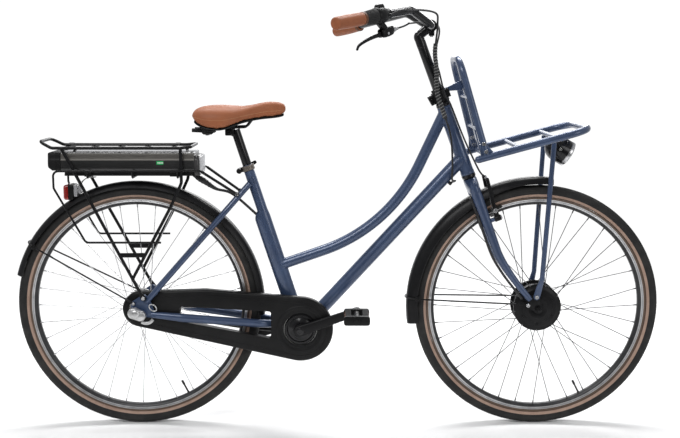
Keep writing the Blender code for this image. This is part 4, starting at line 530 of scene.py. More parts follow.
def coatedFinish(name, colour, rough, metal=0.0, grain=700, depth=0.00010, coat=0.0):
    # powder coat or moulded plastic: even grain, worn a little smoother in patches
    made = Finish(name, coat=coat, coatRough=0.2, specular=0.17)
    patches = made.noise(14, 3)
    lighter = tuple(min(1, c * 1.55 + 0.004) for c in colour)
    speck = made.noise(grain * 0.6, 4)
    made.feed("Base Color", made.blend((patches * 0.5 + speck * 0.5).step(0.3, 0.75), colour, lighter))
    made.feed("Roughness", patches * 0.12 + speck * 0.10 + (rough - 0.11))
    made.feed("Metallic", speck * 0.05 + metal)
    made.relief(made.noise(grain, 3) * 0.7 + made.cells(grain * 1.3) * 0.3, depth, 0.55)
    return made.material


def metalFinish(name, colour, rough, scratch=(260, 260, 260), dull=0.10):
    # bare metal: fine draw lines, small stains and a little dullness
    made = Finish(name)
    lines = made.noise(1.0, 5, 0.65, made.stretched(*scratch))
    stain = made.noise(35, 4)
    darker = tuple(c * 0.72 for c in colour)
    made.feed("Base Color", made.blend((lines * 0.4 + stain * 0.6).step(0.30, 0.72), darker, colour))
    made.feed("Roughness", stain * dull + lines * 0.10 + (rough - 0.08))
    made.feed("Metallic", 1 - stain.step(0.72, 0.85) * 0.12)
    made.relief(lines, 0.00006, 0.35)
    return made.material


def rubberFinish(name, colour=(0.012, 0.012, 0.012), rough=0.72, grain=900):
    made = Finish(name, specular=0.4)
    dust = made.noise(22, 4)
    fine = made.noise(grain, 3)
    made.feed("Base Color", made.blend((dust * 0.6 + fine * 0.4).step(0.4, 0.8), colour,
                                       tuple(c * 2.4 + 0.006 for c in colour)))
    made.feed("Roughness", fine * 0.16 + (rough - 0.08))
    made.relief(fine, 0.00012, 0.5)
    return made.material


def leatherFinish(name, light, dark, scale=330):
    # pebbled hide: raised cells with dark creases, rubbed smoother on top
    made = Finish(name, sheen=0.04, sheenRough=0.4, specular=0.30)
    cell = made.cells(scale)
    crease = made.cells(scale, "DISTANCE_TO_EDGE")
    fold = made.noise(26, 4)
    rubbed = made.noise(7, 3)
    shade = (1 - crease.step(0.0, 0.16)) * 0.35 + fold * 0.35 + rubbed * 0.45
    made.feed("Base Color", made.blend(shade.step(0.30, 0.85), light, dark))
    made.feed("Roughness", (1 - crease.step(0.0, 0.2)) * 0.14 + rubbed * 0.12 + 0.40)
    made.relief(crease.step(0.0, 0.22) * 0.7 + (1 - cell) * 0.2 + fold * 0.4, 0.00008, 0.28)
    return made.material


def tyreFinish(name, hub, body):
    # black tread, tan reflecting wall between two black lines, threads showing at the bead
    made = Finish(name, specular=0.35)
    reach = made.distance(hub)
    if hub.x < 0:
        reach = reach + 0.0018
    wall = reach.band(body["wallFrom"], body["wallTo"], 0.0006)
    fine = made.noise(900, 3)
    dust = made.noise(30, 4)
    black = made.blend((dust * 0.6 + fine * 0.4).step(0.4, 0.8), (0.011, 0.011, 0.011), (0.034, 0.032, 0.030))
    tan_ = made.blend((dust * 0.5 + fine * 0.5).step(0.3, 0.7), body["wallDark"], body["wallLight"])
    skirt = 1 - reach.step(body["wallFrom"] - 0.0006, body["wallFrom"] + 0.0002)
    made.feed("Base Color", made.blend(wall, made.blend(skirt, black, body["bead"]), tan_))
    made.feed("Roughness", fine * 0.18 - wall * 0.12 + 0.66)
    ribs = (reach * 5200).maths("SINE") * 0.5 + 0.5
    made.relief(fine * 0.6 + ribs * (1 - wall) * 0.25, 0.00015, 0.5)
    return made.material


def rimFinish(name, hub, body):
    # machined brake track with fine turned lines and a painted shade line in its groove, black inner part
    made = Finish(name)
    reach = made.distance(hub)
    track = reach.band(body["trackFrom"], body["trackTo"], 0.0003)
    turned = (reach * 9000).maths("SINE") * 0.5 + 0.5
    stain = made.noise(40, 4)
    # painted shade: the band of the groove, also cut into the rim's shape, is coloured dark grey for the shadow in it
    groove = reach.band(body["groove"], body["groove"] + 0.0009, 0.0002)
    bright = made.blend((turned * 0.12 + stain * 0.88).step(0.2, 0.8), (0.40, 0.40, 0.41), (0.66, 0.66, 0.67))
    # painted shade: the groove band turns the bright track dark grey
    bright = made.blend(groove, bright, (0.10, 0.10, 0.10))
    black = made.blend(stain.step(0.35, 0.7), (0.010, 0.010, 0.011), (0.022, 0.022, 0.024))
    black = made.blend(reach.step(body["trackTo"] - 0.001, body["trackTo"]), black, body["bead"])
    made.feed("Base Color", made.blend(track, black, bright))
    made.feed("Roughness", track * (turned * 0.02 - 0.07) + stain * 0.12 + 0.32)
    made.feed("Metallic", track * 0.85 + 0.10)
    made.relief(turned * track * 0.25 - groove, 0.00008, 0.4)
    return made.material


def lampGlass(name, colour, rough, through):
    made = Finish(name, through=through, ior=1.49, coat=0.6, coatRough=0.03)
    smear = made.noise(45, 3)
    rib = (made.y * 2600).maths("SINE") * 0.5 + 0.5
    made.feed("Base Color", made.blend(smear.step(0.3, 0.8), colour, tuple(min(1, c * 1.25 + 0.01) for c in colour)))
    made.feed("Roughness", smear * 0.06 + rough)
    made.relief(rib, 0.0002, 0.35)
    return made.material


def batteryFinish(name):
    # brushed dark sides with a lighter shoulder band, polished lid
    made = Finish(name, coat=0.35, coatRough=0.06)
    grain = made.noise(1.0, 4, 0.6, made.stretched(40, 900, 900))
    patches = made.noise(12, 3)
    shoulder = made.z.band(0.7790, 0.7985, 0.0012)
    lid = made.z.step(0.7990, 0.8002)
    low = made.blend((grain * 0.5 + patches * 0.5).step(0.3, 0.7), (0.008, 0.008, 0.008), (0.018, 0.018, 0.018))
    high = made.blend(grain.step(0.3, 0.7), (0.085, 0.080, 0.072), (0.130, 0.122, 0.110))
    made.feed("Base Color", made.blend(shoulder, low, high))
    made.feed("Roughness", grain * (0.14 - lid * 0.13) + patches * 0.06 + 0.24 - lid * 0.09)
    made.feed("Metallic", shoulder * 0.35 + 0.05)
    made.relief(grain * (1 - lid), 0.00008, 0.4)
    return made.material


finishes = {
    "blue": paintFinish("frame_blue_paint", (0.056, 0.092, 0.180), (0.028, 0.048, 0.105)),
    "satin": coatedFinish("satin_black_coat", (0.0060, 0.0060, 0.0066), 0.32, 0.04),
    "gloss": coatedFinish("gloss_black_coat", (0.005, 0.005, 0.006), 0.15, 0.08, 500, 0.00004, 0.45),
    "plastic": coatedFinish("moulded_black_plastic", (0.0065, 0.0065, 0.0068), 0.38, 0.0, 950, 0.00014),
    "rubber": rubberFinish("black_rubber"),
    "cable": rubberFinish("cable_jacket", (0.014, 0.014, 0.015), 0.42, 500),
    "leather": leatherFinish("brown_leather_grain", (0.360, 0.122, 0.052), (0.238, 0.076, 0.032), 900),
    "grip": leatherFinish("brown_grip_leather", (0.345, 0.113, 0.046), (0.205, 0.062, 0.025), 800),
    "steel": metalFinish("bright_steel", (0.62, 0.62, 0.63), 0.24),
    "zinc": metalFinish("plated_steel", (0.46, 0.46, 0.45), 0.36),
    "alloy": metalFinish("cast_alloy", (0.66, 0.66, 0.66), 0.34),
    "spoke": metalFinish("spoke_steel", (0.72, 0.72, 0.73), 0.26),
    "darkSpoke": metalFinish("dark_spoke_steel", (0.16, 0.16, 0.165), 0.32),
    "battery": batteryFinish("battery_case_satin"),
    "red": lampGlass("red_lens_plastic", (0.34, 0.016, 0.012), 0.10, 0.35),
    "clear": lampGlass("clear_lens_plastic", (0.86, 0.88, 0.90), 0.03, 0.85),
}
print("finishes made")

# Stage: a pale floor that fades out, soft boxes and the camera

cameraFacts = {"place": (0.0063, -2.921, 1.049), "down": 8.64, "lens": 54.37}
camera = bpy.data.objects.new("camera", bpy.data.cameras.new("camera"))
camera.data.lens = cameraFacts["lens"]
camera.location = cameraFacts["place"]
camera.rotation_euler = (radians(90 - cameraFacts["down"]), 0, 0)
bpy.context.scene.collection.objects.link(camera)
bpy.context.scene.camera = camera


def addFloor(reach=9.0, count=48):
    shape = bmesh.new()
    bmesh.ops.create_circle(shape, cap_ends=True, segments=count, radius=reach)
    mesh = bpy.data.meshes.new("floor")
    shape.to_mesh(mesh)
    shape.free()
    made = Finish("pale_floor", rough=0.85, specular=0.1)
    away = made.node("ShaderNodeVectorMath", {"operation": "LENGTH"}, {0: made.spot})
    far = Wire(made, away.outputs["Value"])
    fleck = made.noise(3, 3)
    made.feed("Base Color", made.blend(fleck.step(0.3, 0.7), (0.86, 0.86, 0.86), (0.90, 0.90, 0.90)))
    made.feed("Alpha", 1 - far.step(1.3, 3.0))
    mesh.materials.append(made.material)
    floor = bpy.data.objects.new("floor", mesh)
    bpy.context.scene.collection.objects.link(floor)
    floor.location.z = -0.0005


def addLight(name, place, aim, size, power):
    lamp = bpy.data.lights.new(name, "AREA")
    lamp.shape = "RECTANGLE"
    lamp.size, lamp.size_y = size
    lamp.energy = power
    holder = bpy.data.objects.new(name, lamp)
    holder.location = place
    holder.rotation_euler = (Vector(aim) - Vector(place)).to_track_quat("-Z", "Y").to_euler()
    bpy.context.scene.collection.objects.link(holder)


def addWorld():
    # white to the camera; in reflections a bright back wall, a soft ceiling and a dim front
    world = bpy.data.worlds.new("studio")
    world.use_nodes = True
    bpy.context.scene.world = world
    tree = world.node_tree
    tree.nodes.clear()

    def add(kind, **values):
        made = tree.nodes.new(kind)
        for key, value in values.items():
            setattr(made, key, value)
        return made

    out, path = add("ShaderNodeOutputWorld"), add("ShaderNodeLightPath")
    spot, apart = add("ShaderNodeTexCoord"), add("ShaderNodeSeparateXYZ")
    rise, wall = add("ShaderNodeMapRange"), add("ShaderNodeMapRange")
    low, both = add("ShaderNodeMapRange"), add("ShaderNodeMath", operation="MULTIPLY")
    total, more = add("ShaderNodeMath", operation="ADD"), add("ShaderNodeMath", operation="ADD")
    wide, edge = add("ShaderNodeMath", operation="ABSOLUTE"), add("ShaderNodeMapRange")
    shade, white, pick = add("ShaderNodeBackground"), add("ShaderNodeBackground"), add("ShaderNodeMixShader")
    for node, ends in ((rise, (0.0, 0.8, 0.13, 0.36)), (wall, (0.45, 0.95, 0.0, 0.85)), (low, (0.15, 0.55, 1.0, 0.0)),
                       (edge, (0.45, 0.92, 0.0, 0.38))):
        for k, value in enumerate(ends):
            node.inputs[k + 1].default_value = value
    white.inputs["Color"].default_value = (1, 1, 1, 1)
    white.inputs["Strength"].default_value = 1.05
    shade.inputs["Color"].default_value = (0.97, 0.98, 1.0, 1)
    link = tree.links.new
    link(spot.outputs["Generated"], apart.inputs[0])
    link(apart.outputs["Z"], rise.inputs[0])
    link(apart.outputs["Y"], wall.inputs[0])
    link(apart.outputs["Z"], low.inputs[0])
    link(wall.outputs[0], both.inputs[0])
    link(low.outputs[0], both.inputs[1])
    link(rise.outputs[0], total.inputs[0])
    link(both.outputs[0], total.inputs[1])
    link(apart.outputs["X"], wide.inputs[0])
    link(wide.outputs[0], edge.inputs[0])
    link(total.outputs[0], more.inputs[0])
    link(edge.outputs[0], more.inputs[1])
    link(more.outputs[0], shade.inputs["Strength"])
    link(path.outputs["Is Camera Ray"], pick.inputs[0])
    link(shade.outputs[0], pick.inputs[1])
    link(white.outputs[0], pick.inputs[2])
    link(pick.outputs[0], out.inputs["Surface"])


addFloor()
addWorld()
addLight("key", (-1.6, -3.2, 3.4), (0, 0, 0.55), (2.6, 1.2), 80)
addLight("fill", (2.8, -3.0, 1.8), (0, 0, 0.5), (1.8, 1.8), 26)
addLight("top", (0.0, 1.2, 3.4), (0, 0, 0.4), (3.2, 0.7), 112)
addLight("back", (0.6, 3.4, 2.2), (0, 0, 0.6), (2.6, 1.2), 50)
bpy.context.scene.view_settings.view_transform = "Standard"

# The CAD nodes that stay keep their shape and get a full finish
nodeFinish = {
    "blue": "frame fork front_carrier carrier_strut_right carrier_strut_left",
    "gloss": "stem steerer_nut handlebar seatpost",
    "satin": "headset_upper headset_lower bottom_bracket rear_mudguard rear_mudguard_stay rear_rack seat_clamp "
             "brake_bracket front_mudguard front_mudguard_stay front_hub crank_right crank_left brake_lever "
             "brake_arm_right brake_arm_left seat_clamp_lever kickstand headlamp_bracket",
    "plastic": "chaincase_cover chaincase_back battery_dock tail_light_body shifter_housing pedal_right "
               "pedal_left headlamp_shell saddle_base",
    "rubber": "rack_strap shifter_sleeve",
    "cable": "controller_lead front_brake_cable bar_loom motor_cable",
    "leather": "saddle_cover",
    "grip": "grip_right grip_left",
    "steel": "rear_hub crank_axle front_axle",
    "zinc": "chain rear_axle rear_sprocket chainring",
    "battery": "battery",
    "red": "tail_light_lens",
    "clear": "headlamp_lens",
}
for finish, names in nodeFinish.items():
    for name in names.split():
        node = frame["nodes"][name]
        for k in range(max(1, len(node.material_slots))):
            if node.material_slots:
                node.material_slots[k].material = finishes[finish]
            else:
                node.data.materials.append(finishes[finish])
print("stage set and CAD nodes finished")

# Wheels

tyreFacts = {"turns": 324, "groove": 0.0016, "shoulder": 0.3405, "row": 0.0052, "wallFrom": 0.3196, "wallTo": 0.3268,
             "wallLight": (0.430, 0.300, 0.235), "wallDark": (0.290, 0.190, 0.145), "bead": (0.095, 0.062, 0.044)}
# groove: radius of the rim's groove, which rimFinish paints dark grey as painted shade
rimFacts = {"trackFrom": 0.3050, "trackTo": 0.3122, "groove": 0.3084, "bead": (0.100, 0.066, 0.046)}
wheelFacts = {"spokes": 36, "spoke": 0.00115, "flangeGap": 0.028, "seat": 0.2985}


def tyreShape(hub):
    # (half width, radius) from the bead over the shoulder to the middle of the tread
    knots = mm("11.8 318.1, 15 320.5, 18.6 326.2, 20.6 333.5, 20 339.2, 17.8 344.5, 14 348.7, 8.5 351, 0 352")
    side = smoothPath([Vector((y, r, 0)) for y, r in knots], 4)
    side = [(p.x, p.y) for p in side]
    profile = [(-y, r) for y, r in side] + [(y, r) for y, r in side[-2::-1]]
    profile += [(0.0100, 0.3178), (-0.0100, 0.3178)]
    rings = []
    turns, shoulder, rowWidth = tyreFacts["turns"], tyreFacts["shoulder"], tyreFacts["row"]
    for k in range(turns):
        t = 2 * pi * k / turns
        ring = []
        for y, r in profile:
            depth = 0.0
            if r > shoulder:
                row = int(abs(y) / rowWidth)
                shift = (k + row * 2) % 6
                if shift == 0 and row != 0:
                    depth = tyreFacts["groove"] * min(1, (r - shoulder) / 0.004)
                if abs(abs(y) - rowWidth) < 0.0009 or abs(abs(y) - 0.0128) < 0.0009:
                    depth = tyreFacts["groove"]
            reach = r - depth
            ring.append(hub + Vector((reach * cos(t), y, reach * sin(t))))
        rings.append(ring)
    return skin(rings, loop=True)


def rimShape(hub):
    side = mm("13 317.5, 12.7 316.5, 12.7 309.2, 12.4 308.6, 12.4 308, 12.7 307.4, 12.4 306.2, 11.2 303, "
              "8.8 299.5, 6 296.8, 4 296")
    profile = [(-y, r) for y, r in side] + side[::-1] + [(0.0100, 0.3168), (-0.0100, 0.3168)]
    return pipe(profile, hub, yAxis, 160)


def spokeSet(hub, flange, crosses):
    # crossed spokes, bent over at the flange, each ending in a nipple
    count, seat = wheelFacts["spokes"], wheelFacts["seat"]
    step = 2 * pi / count
    wires, nipples = [], []
    for k in range(count):
        side = -1 if k % 2 else 1
        lean = 1 if (k // 2) % 2 else -1
        rimTurn = step * k
        hubTurn = rimTurn + lean * crosses * 2 * step
        outside = side * (wheelFacts["flangeGap"] + lean * 0.0022)
        inside = side * (wheelFacts["flangeGap"] - lean * 0.0030)
        head = hub + Vector((flange * cos(hubTurn), inside, flange * sin(hubTurn)))
        bend = hub + Vector((flange * cos(hubTurn), outside, flange * sin(hubTurn)))
        end = hub + Vector((seat * cos(rimTurn), side * 0.003, seat * sin(rimTurn)))
        wires.append(tube([head, bend, end], wheelFacts["spoke"], 8,
                          side=xAxis if abs(cos(rimTurn)) < 0.7 else zAxis))
        back = (bend - end).normalized()
        nipples.append(lathe(mm("0 2.6, 2.2 2.6, 2.4 2, 12 1.8, 12.6 1.3"), end - back * 0.001, back, 8))
        wires.append(lathe([(0, 0.0021), (0.0012, 0.0018)], head, yAxis * (-side * lean), 8))
    return merge(*wires), merge(*nipples)


def frontDrum():
    # motor drum: shallow ribbed faces, flange rims with a hole for each spoke
    half, flange = 0.042, 0.028
    outer = [(half - 0.0005, 0.0165), (half, 0.0180), (half, 0.0290), (half - 0.0012, 0.0305),
             (half - 0.0030, 0.0420), (half - 0.0045, 0.0430), (half - 0.0056, 0.0540), (half - 0.0075, 0.0565),
             (flange + 0.0045, 0.0636), (flange + 0.0038, 0.0655), (flange + 0.0038, 0.0679),
             (flange + 0.0030, 0.0685), (flange - 0.0024, 0.0685), (flange - 0.0030, 0.0679),
             (flange - 0.0030, 0.0622), (flange - 0.0040, 0.0612)]
    profile = [(half - 0.0005, 0.0068)] + outer + [(-y, r) for y, r in outer[::-1]] + [(-half + 0.0005, 0.0068)]
    drum = pipe(profile, frontHub, yAxis, 96)
    screws = []
    for k in range(6):
        t = 2 * pi * (k + 0.5) / 6
        for side in (-1, 1):
            spot = frontHub + Vector((0.0485 * cos(t), side * (half - 0.0052), 0.0485 * sin(t)))
            screws.append(screw(spot, yAxis * side, 0.0030, 0.0022))
    return drum, merge(*screws)


def rearShell():
    flange = 0.028
    side = [(0.0380, 0.0068), (0.0385, 0.0120), (0.0385, 0.0195), (0.0372, 0.0210), (flange + 0.0045, 0.0260),
            (flange + 0.0032, 0.0300), (flange + 0.0030, 0.0425), (flange + 0.0024, 0.0430),
            (flange - 0.0024, 0.0430), (flange - 0.0030, 0.0425), (flange - 0.0032, 0.0350),
            (flange - 0.0070, 0.0325), (0.0060, 0.0318)]
    return pipe(side + [(-y, r) for y, r in side[::-1]], rearHub, yAxis, 72)


def valve(hub, turn):
    out = Vector((cos(turn), 0, sin(turn)))
    return lathe(mm("0 3.4, 4 3.4, 4.5 2.7, 28 2.6, 28.5 3.6, 40 3.4, 42 2.2"), hub + out * 0.2972, -out, 16)


for tag, hub in (("front", frontHub), ("rear", rearHub)):
    finishes[tag + "Tyre"] = tyreFinish(tag + "_tyre_rubber", hub, tyreFacts)
    finishes[tag + "Rim"] = rimFinish(tag + "_rim_alloy", hub, rimFacts)
    addPiece(tag + "_tyre_tread", tyreShape(hub), tag + "Tyre", tag + "_wheel", tag + "_tyre", crease=50)
    addPiece(tag + "_rim_ring", rimShape(hub), tag + "Rim", tag + "_wheel", tag + "_rim", crease=30)
    addPiece(tag + "_valve", valve(hub, radians(-63)), "rubber", tag + "_wheel")
frontWires, frontNipples = spokeSet(frontHub, 0.0655, 1)
addPiece("front_spokes", frontWires, "darkSpoke", "front_wheel", crease=60)
addPiece("front_nipples", frontNipples, "darkSpoke", "front_wheel")
drum, drumScrews = frontDrum()
addPiece("motor_drum", drum, "satin", "front_wheel", "front_hub", crease=28)
addPiece("motor_screws", drumScrews, "satin", "front_wheel")
rearWires, rearNipples = spokeSet(rearHub, 0.0395, 1.5)
addPiece("rear_spokes", rearWires, "spoke", "rear_wheel", crease=60)
addPiece("rear_nipples", rearNipples, "spoke", "rear_wheel")
addPiece("gear_hub_shell", rearShell(), "alloy", "rear_wheel", "rear_hub", crease=28)
print("wheels laced")

# Frame

frameFacts = {"head": 0.0190, "down": 0.0195, "top": 0.0155, "seatStay": 0.0085, "chainStay": 0.0088,
              "shell": 0.0212, "topFoot": 0.1872, "footTilt": radians(19.2), "headTilt": radians(65.0),
              "topBend": 0.474, "lowerEnd": 0.330, "weld": 0.0019}


def meeting(spot, direction, place, axis, radius):
    # how far along direction a line from spot first meets a round tube
    spot = spot - place
    flatSpot = spot - axis * spot.dot(axis)
    flatWay = direction - axis * direction.dot(axis)
    a, b = flatWay.dot(flatWay), flatSpot.dot(flatWay)
    rest = b * b - a * (flatSpot.dot(flatSpot) - radius**2)
    return (-b - sqrt(max(rest, 0))) / a


def fitted(shape, sides, startOn=None, endOn=None):
    # moves the end rings of a swept tube along it until they lie on round tubes
    shape.verts.ensure_lookup_table()
    verts = list(shape.verts)
    for ring, inner, on in ((verts[:sides], verts[sides:2 * sides], startOn),
                            (verts[-sides:], verts[-2 * sides:-sides], endOn)):
        if on:
            for vert, before in zip(ring, inner):
                way = (vert.co - before.co).normalized()
                vert.co = before.co + way * meeting(before.co, way, *on)
    return shape


def stayPoint(x):
    foot = chainFoot
    knots = [(foot.x, foot.y), (-0.445, foot.y), (-0.223, -0.0368), (-0.193, -0.0262), (crank.x, -0.0240)]
    drop = (foot.z - crank.z) / (crank.x - foot.x)
    for (x0, y0), (x1, y1) in zip(knots, knots[1:]):
        if x <= x1:
            break
    return Vector((x, mix(y0, y1, (x - x0) / (x1 - x0)), crank.z + (crank.x - x) * drop))


def crossing(start, startTilt, end, endTilt):
    a, b = Vector((cos(startTilt), 0, sin(startTilt))), Vector((cos(endTilt), 0, sin(endTilt)))
    across = end - start
    return start + a * (across.x * b.z - across.z * b.x) / (a.x * b.z - a.z * b.x)


# places that the tubes share with their welds
downTop = onSteer(headBase + 0.0495)
downWay = (downTop - crank - xAxis * 0.0145).normalized()
topLow, topHigh = onSeat(frameFacts["topFoot"]), onSteer(headTop - 0.013)
topCorner = crossing(topLow, frameFacts["footTilt"], topHigh, frameFacts["headTilt"])
seatFoot = rearHub + at(33, 0, 28) + yAxis * -0.0685
chainFoot = rearHub + at(47, 0, -12) + yAxis * -0.0685
seatTop = onSeat(0.440, -0.009, -0.0165)
stayKnee = mix(seatFoot, seatTop, 0.78)
stayKnee.y = -0.046
rackEye, stayEye = rearHub + at(24.5, 0, 38.5), rearHub + at(-5, 0, 21)


def frameTubes():
    facts = frameFacts
    # bottom bracket shell, head tube, down tube and top tube, cut to the tubes they meet
    shell = pipe(mm("-34 18, -34 20.9, -33.2 21.5, 33.2 21.5, 34 20.9, 34 18"), crank, yAxis, 64)
    head = pipe([(headBase, 0.0170), (headBase, 0.0193), (headBase + 0.0010, 0.0199), (headBase + 0.0085, 0.0199),
                 (headBase + 0.0100, 0.0190), (headTop - 0.0100, 0.0190), (headTop - 0.0085, 0.0199),
                 (headTop - 0.0010, 0.0199), (headTop, 0.0193), (headTop, 0.0170)], steerFoot, steerUp, 64)
    down = tube([crank + xAxis * 0.0145 + downWay * 0.06, downTop - downWay * 0.06], facts["down"], 48)
    down = fitted(down, 48, (crank, yAxis, 0.0205), (steerFoot, steerUp, 0.0182))
    path = roundedPath([topLow, topCorner, topHigh], facts["topBend"], 1.5)
    path[0] = path[0] + (path[1] - path[0]).normalized() * 0.045
    path[-1] = path[-1] + (path[-2] - path[-1]).normalized() * 0.045
    top = fitted(tube(path, facts["top"], 40), 40, (onSeat(0, 0.0025), seatUp, 0.0138), (steerFoot, steerUp, 0.0182))
    upper = pipe(mm("330 13.8, 330 15, 491.2 15, 492 14.5, 492 13.8"), crank, seatUp, 48)
    # wider lower part of the seat tube, drawn in at its top to the tube above
    rings, end = [], facts["lowerEnd"]
    stations = [(0.0195, 0.0215, 0.0165, 0.006), (0.030, 0.023, 0.0175, 0.006), (end, 0.023, 0.0175, 0.006)]
    for k in range(1, 9):
        share = cos(pi / 2 * k / 8) ** 0.8
        stations.append((end + 0.028 * k / 8, mix(0.0144, 0.023, share), mix(0.0144, 0.0175, share), 0.006 * share))
    for up, depth, width, shift in stations:
        centre = onSeat(up, -shift)
        rings.append([centre + seatForward * u + yAxis * v for u, v in oval(depth, width, 48)])
    lower = skin(rings)
    # seat stay, and the chainstay that is fuller in its middle
    seatStay = tube(roundedPath([seatFoot, stayKnee, seatTop], 0.10, 3), facts["seatStay"], 24)
    run = [stayPoint(x) for x in (chainFoot.x, -0.445, -0.223, -0.193, crank.x)]
    stayRun = roundedPath(run, 0.030, 4)
    rings = []
    for k, spot in enumerate(stayRun):
        way = heading(stayRun, k)
        up = (zAxis - way * zAxis.dot(way)).normalized()
        reach = (spot.x - run[0].x) / (run[-1].x - run[0].x)
        tall = facts["chainStay"] * (1.03 + 0.50 * max(0, sin(pi * min(1, max(0, reach) * 1.15))) ** 0.7)
        rings.append([spot + up * u * tall + way.cross(up) * v * facts["chainStay"] for u, v in oval(1, 1, 24)])
    chainStay = skin(rings)
    # dropout, and plugs that close the lower ends of both stays
    outline = belt([(rearHub.x, rearHub.z, 0.014), (stayEye.x, stayEye.z, 0.007),
                    (rackEye.x, rackEye.z, 0.008), (seatFoot.x, seatFoot.z, 0.009),
                    (chainFoot.x, chainFoot.z, 0.009)], 48)
    hole = roundHole(rearHub, 0.0056, 24)
    dropout = soften(plate(outline, [hole], seatFoot.y - 0.0025, seatFoot.y + 0.0025), 0.0007, 2, 50)
    feet = [(seatFoot, (seatTop - seatFoot).normalized()), (chainFoot, (run[1] - run[0]).normalized())]
    plug = [lathe(mm("-4 8, 0 8.6, 4 8.6"), spot, way, 20) for spot, way in feet]
    # bridges between the stays, with a plate under the lower one
    bridgeTop = mix(seatFoot, seatTop, 0.80)
    bridgeTop.y = 0
    bridgeLow = Vector((-0.157, 0, crank.z + 0.007))
    middle = [rod(bridgeTop - yAxis * 0.046, bridgeTop + yAxis * 0.046, 0.006, 20),
              rod(bridgeLow - yAxis * 0.026, bridgeLow + yAxis * 0.026, 0.007, 20),
              brick(bridgeLow - zAxis * 0.011, 40, 56, 6, 1)]
    sides = [seatStay, chainStay, dropout, *plug]
    sides += [mirrored(part) for part in sides]
    return merge(shell, head, down, top, upper, lower, *middle, *sides)


def frameWelds():
    facts = frameFacts
    size, head, shell = facts["weld"], (steerFoot, steerUp, facts["head"]), (crank, yAxis, facts["shell"])
    low, high = topLow - topCorner, topHigh - topCorner
    beads = [
        weld(downTop - downWay * 0.08, downWay, facts["down"], *head, size),
        weld(crank + xAxis * 0.0145 + downWay * 0.08, -downWay, facts["down"], *shell, size),
        weld(topHigh - high.normalized() * 0.07, high, facts["top"], *head, size),
        weld(topLow - low.normalized() * 0.07, low, facts["top"], onSeat(0, 0.0025), seatUp, 0.0145, size),
        weld(onSeat(0.09, -0.006), -seatUp, 0.0190, *shell, size),
    ]
    for side in (-1, 1):
        top, bend = seatTop * 1, stayKnee * 1
        top.y, bend.y = seatTop.y * -side, stayKnee.y * -side
        beads.append(weld(bend, top - bend, facts["seatStay"], crank, seatUp, 0.0152, size * 0.8))
    return merge(*beads)


addPiece("frame_tubes", frameTubes(), "blue", "frame", "frame", crease=40)
addPiece("frame_welds", frameWelds(), "blue", "frame", crease=60)
rackBolts = []
for side in (-1, 1):
    # the upper bolt holds the rack's foot, the lower one the eye of the mudguard stay
    rackBolts.append(screw(rackEye + yAxis * side * 0.0838, yAxis * side, 0.0056, 0.0042))
    rackBolts.append(screw(stayEye + yAxis * side * 0.0760, yAxis * side, 0.0044, 0.0032))
addPiece("rack_bolts", merge(*rackBolts), "steel", "frame")
print("frame welded")

# Headset, rear axle and seat clamp


def headsetCup(face, away):
    profile = [(face - away * 0.012, 0.0149), (face - away * 0.012, 0.0167), (face + away * 0.0003, 0.0167),
               (face + away * 0.0003, 0.0198), (face + away * 0.0012, 0.0205), (face + away * 0.0052, 0.0205),
               (face + away * 0.0058, 0.0199), (face + away * 0.0066, 0.0199), (face + away * 0.0072, 0.0204),
               (face + away * 0.0090, 0.0200), (face + away * 0.0122, 0.0178), (face + away * 0.0127, 0.0170),
               (face + away * 0.0127, 0.0149)]
    return pipe(profile, steerFoot, steerUp, 56)


addPiece("headset_cup_upper", headsetCup(headTop, 1), "gloss", "frame", "headset_upper")
addPiece("headset_cup_lower", headsetCup(headBase, -1), "gloss", "frame", "headset_lower")


def rearAxleSet():
    out = 0.0713
    axle = lathe(mm("-88 3, -87.5 4.8, 87.5 4.8, 88 3"), rearHub, yAxis, 20)
    joint = pipe(mm("-65.5 6, -65.5 14.8, -60 15.2, -59.5 18, -53.5 18.8, -53.2 6"), rearHub, yAxis, 48)
    cone = pipe(mm("39.6 6, 39.6 15.5, 40 16, 53 16, 53.6 15.4, 54 10, 65.5 10, 65.5 6"), rearHub, yAxis, 48)
    nuts = [hexNut(rearHub + yAxis * side * out, yAxis * side, 0.0150, 0.0085, 0.0055) for side in (-1, 1)]
    place, ahead = stayPoint(-0.463), (stayPoint(-0.453) - stayPoint(-0.463)).normalized()
    place.y, ahead.y = -place.y, -ahead.y
    arm = soften(prism(belt([(rearHub.x, rearHub.z, 0.0138), (place.x, place.z, 0.007)], 32), 0.0526, 0.0554), 0.0005)
    strap = pipe(mm("-6 9.6, -6 11.8, -5.5 12, 5.5 12, 6 11.8, 6 9.6"), place, ahead, 32)
    link = brick(place - yAxis * 0.011, 12, 9.5, 10, 0.8)
    return merge(axle, joint, cone, *nuts, arm, strap, link)


def shiftBox():
    # cover over the hub's shift pin, the arm that holds its cable and the ring round the plate's slot
    cover = soften(prism(belt([(rearHub.x - 0.003, rearHub.z - 0.002, 0.0150),
                               (rearHub.x + 0.018, rearHub.z - 0.009, 0.0150)], 40), -0.1030, -0.0830), 0.0042, 4)
    dome = lathe(mm("-99 15, -103.5 12.5, -105.5 8.5, -106.2 4"), rearHub + at(3, 0, -4), yAxis, 40)
    nose = lathe(mm("-99 10, -104 8.5, -105 5"), rearHub + at(22, 0, -10), yAxis, 32)
    holder = sweep(smoothPath([rearHub + Vector((x, -0.094, z)) for x, z in ((0.020, -0.0270), (0.032, -0.0310),
                                                                             (0.044, -0.0285), (0.053, -0.0200))], 6),
                   roundBar(0.0060, 0.0090, 0.0020))
    spot, turn = rearHub + at(50, -77.8, 10), radians(-40)
    along, over = Vector((cos(turn), 0, sin(turn))), Vector((-sin(turn), 0, cos(turn)))
    ring = tube([spot + along * 0.0120 * cos(t) + over * 0.0080 * sin(t) for t in spread(33, 0, 2 * pi)[:-1]], 0.0017,
                10, closed=True)
    return merge(cover, dome, nose, soften(holder, 0.0006, 2, 60), ring)


addPiece("rear_axle_nuts", rearAxleSet(), "steel", "frame", "rear_axle", crease=30)
addPiece("shift_box", shiftBox(), "alloy", "frame", crease=35)


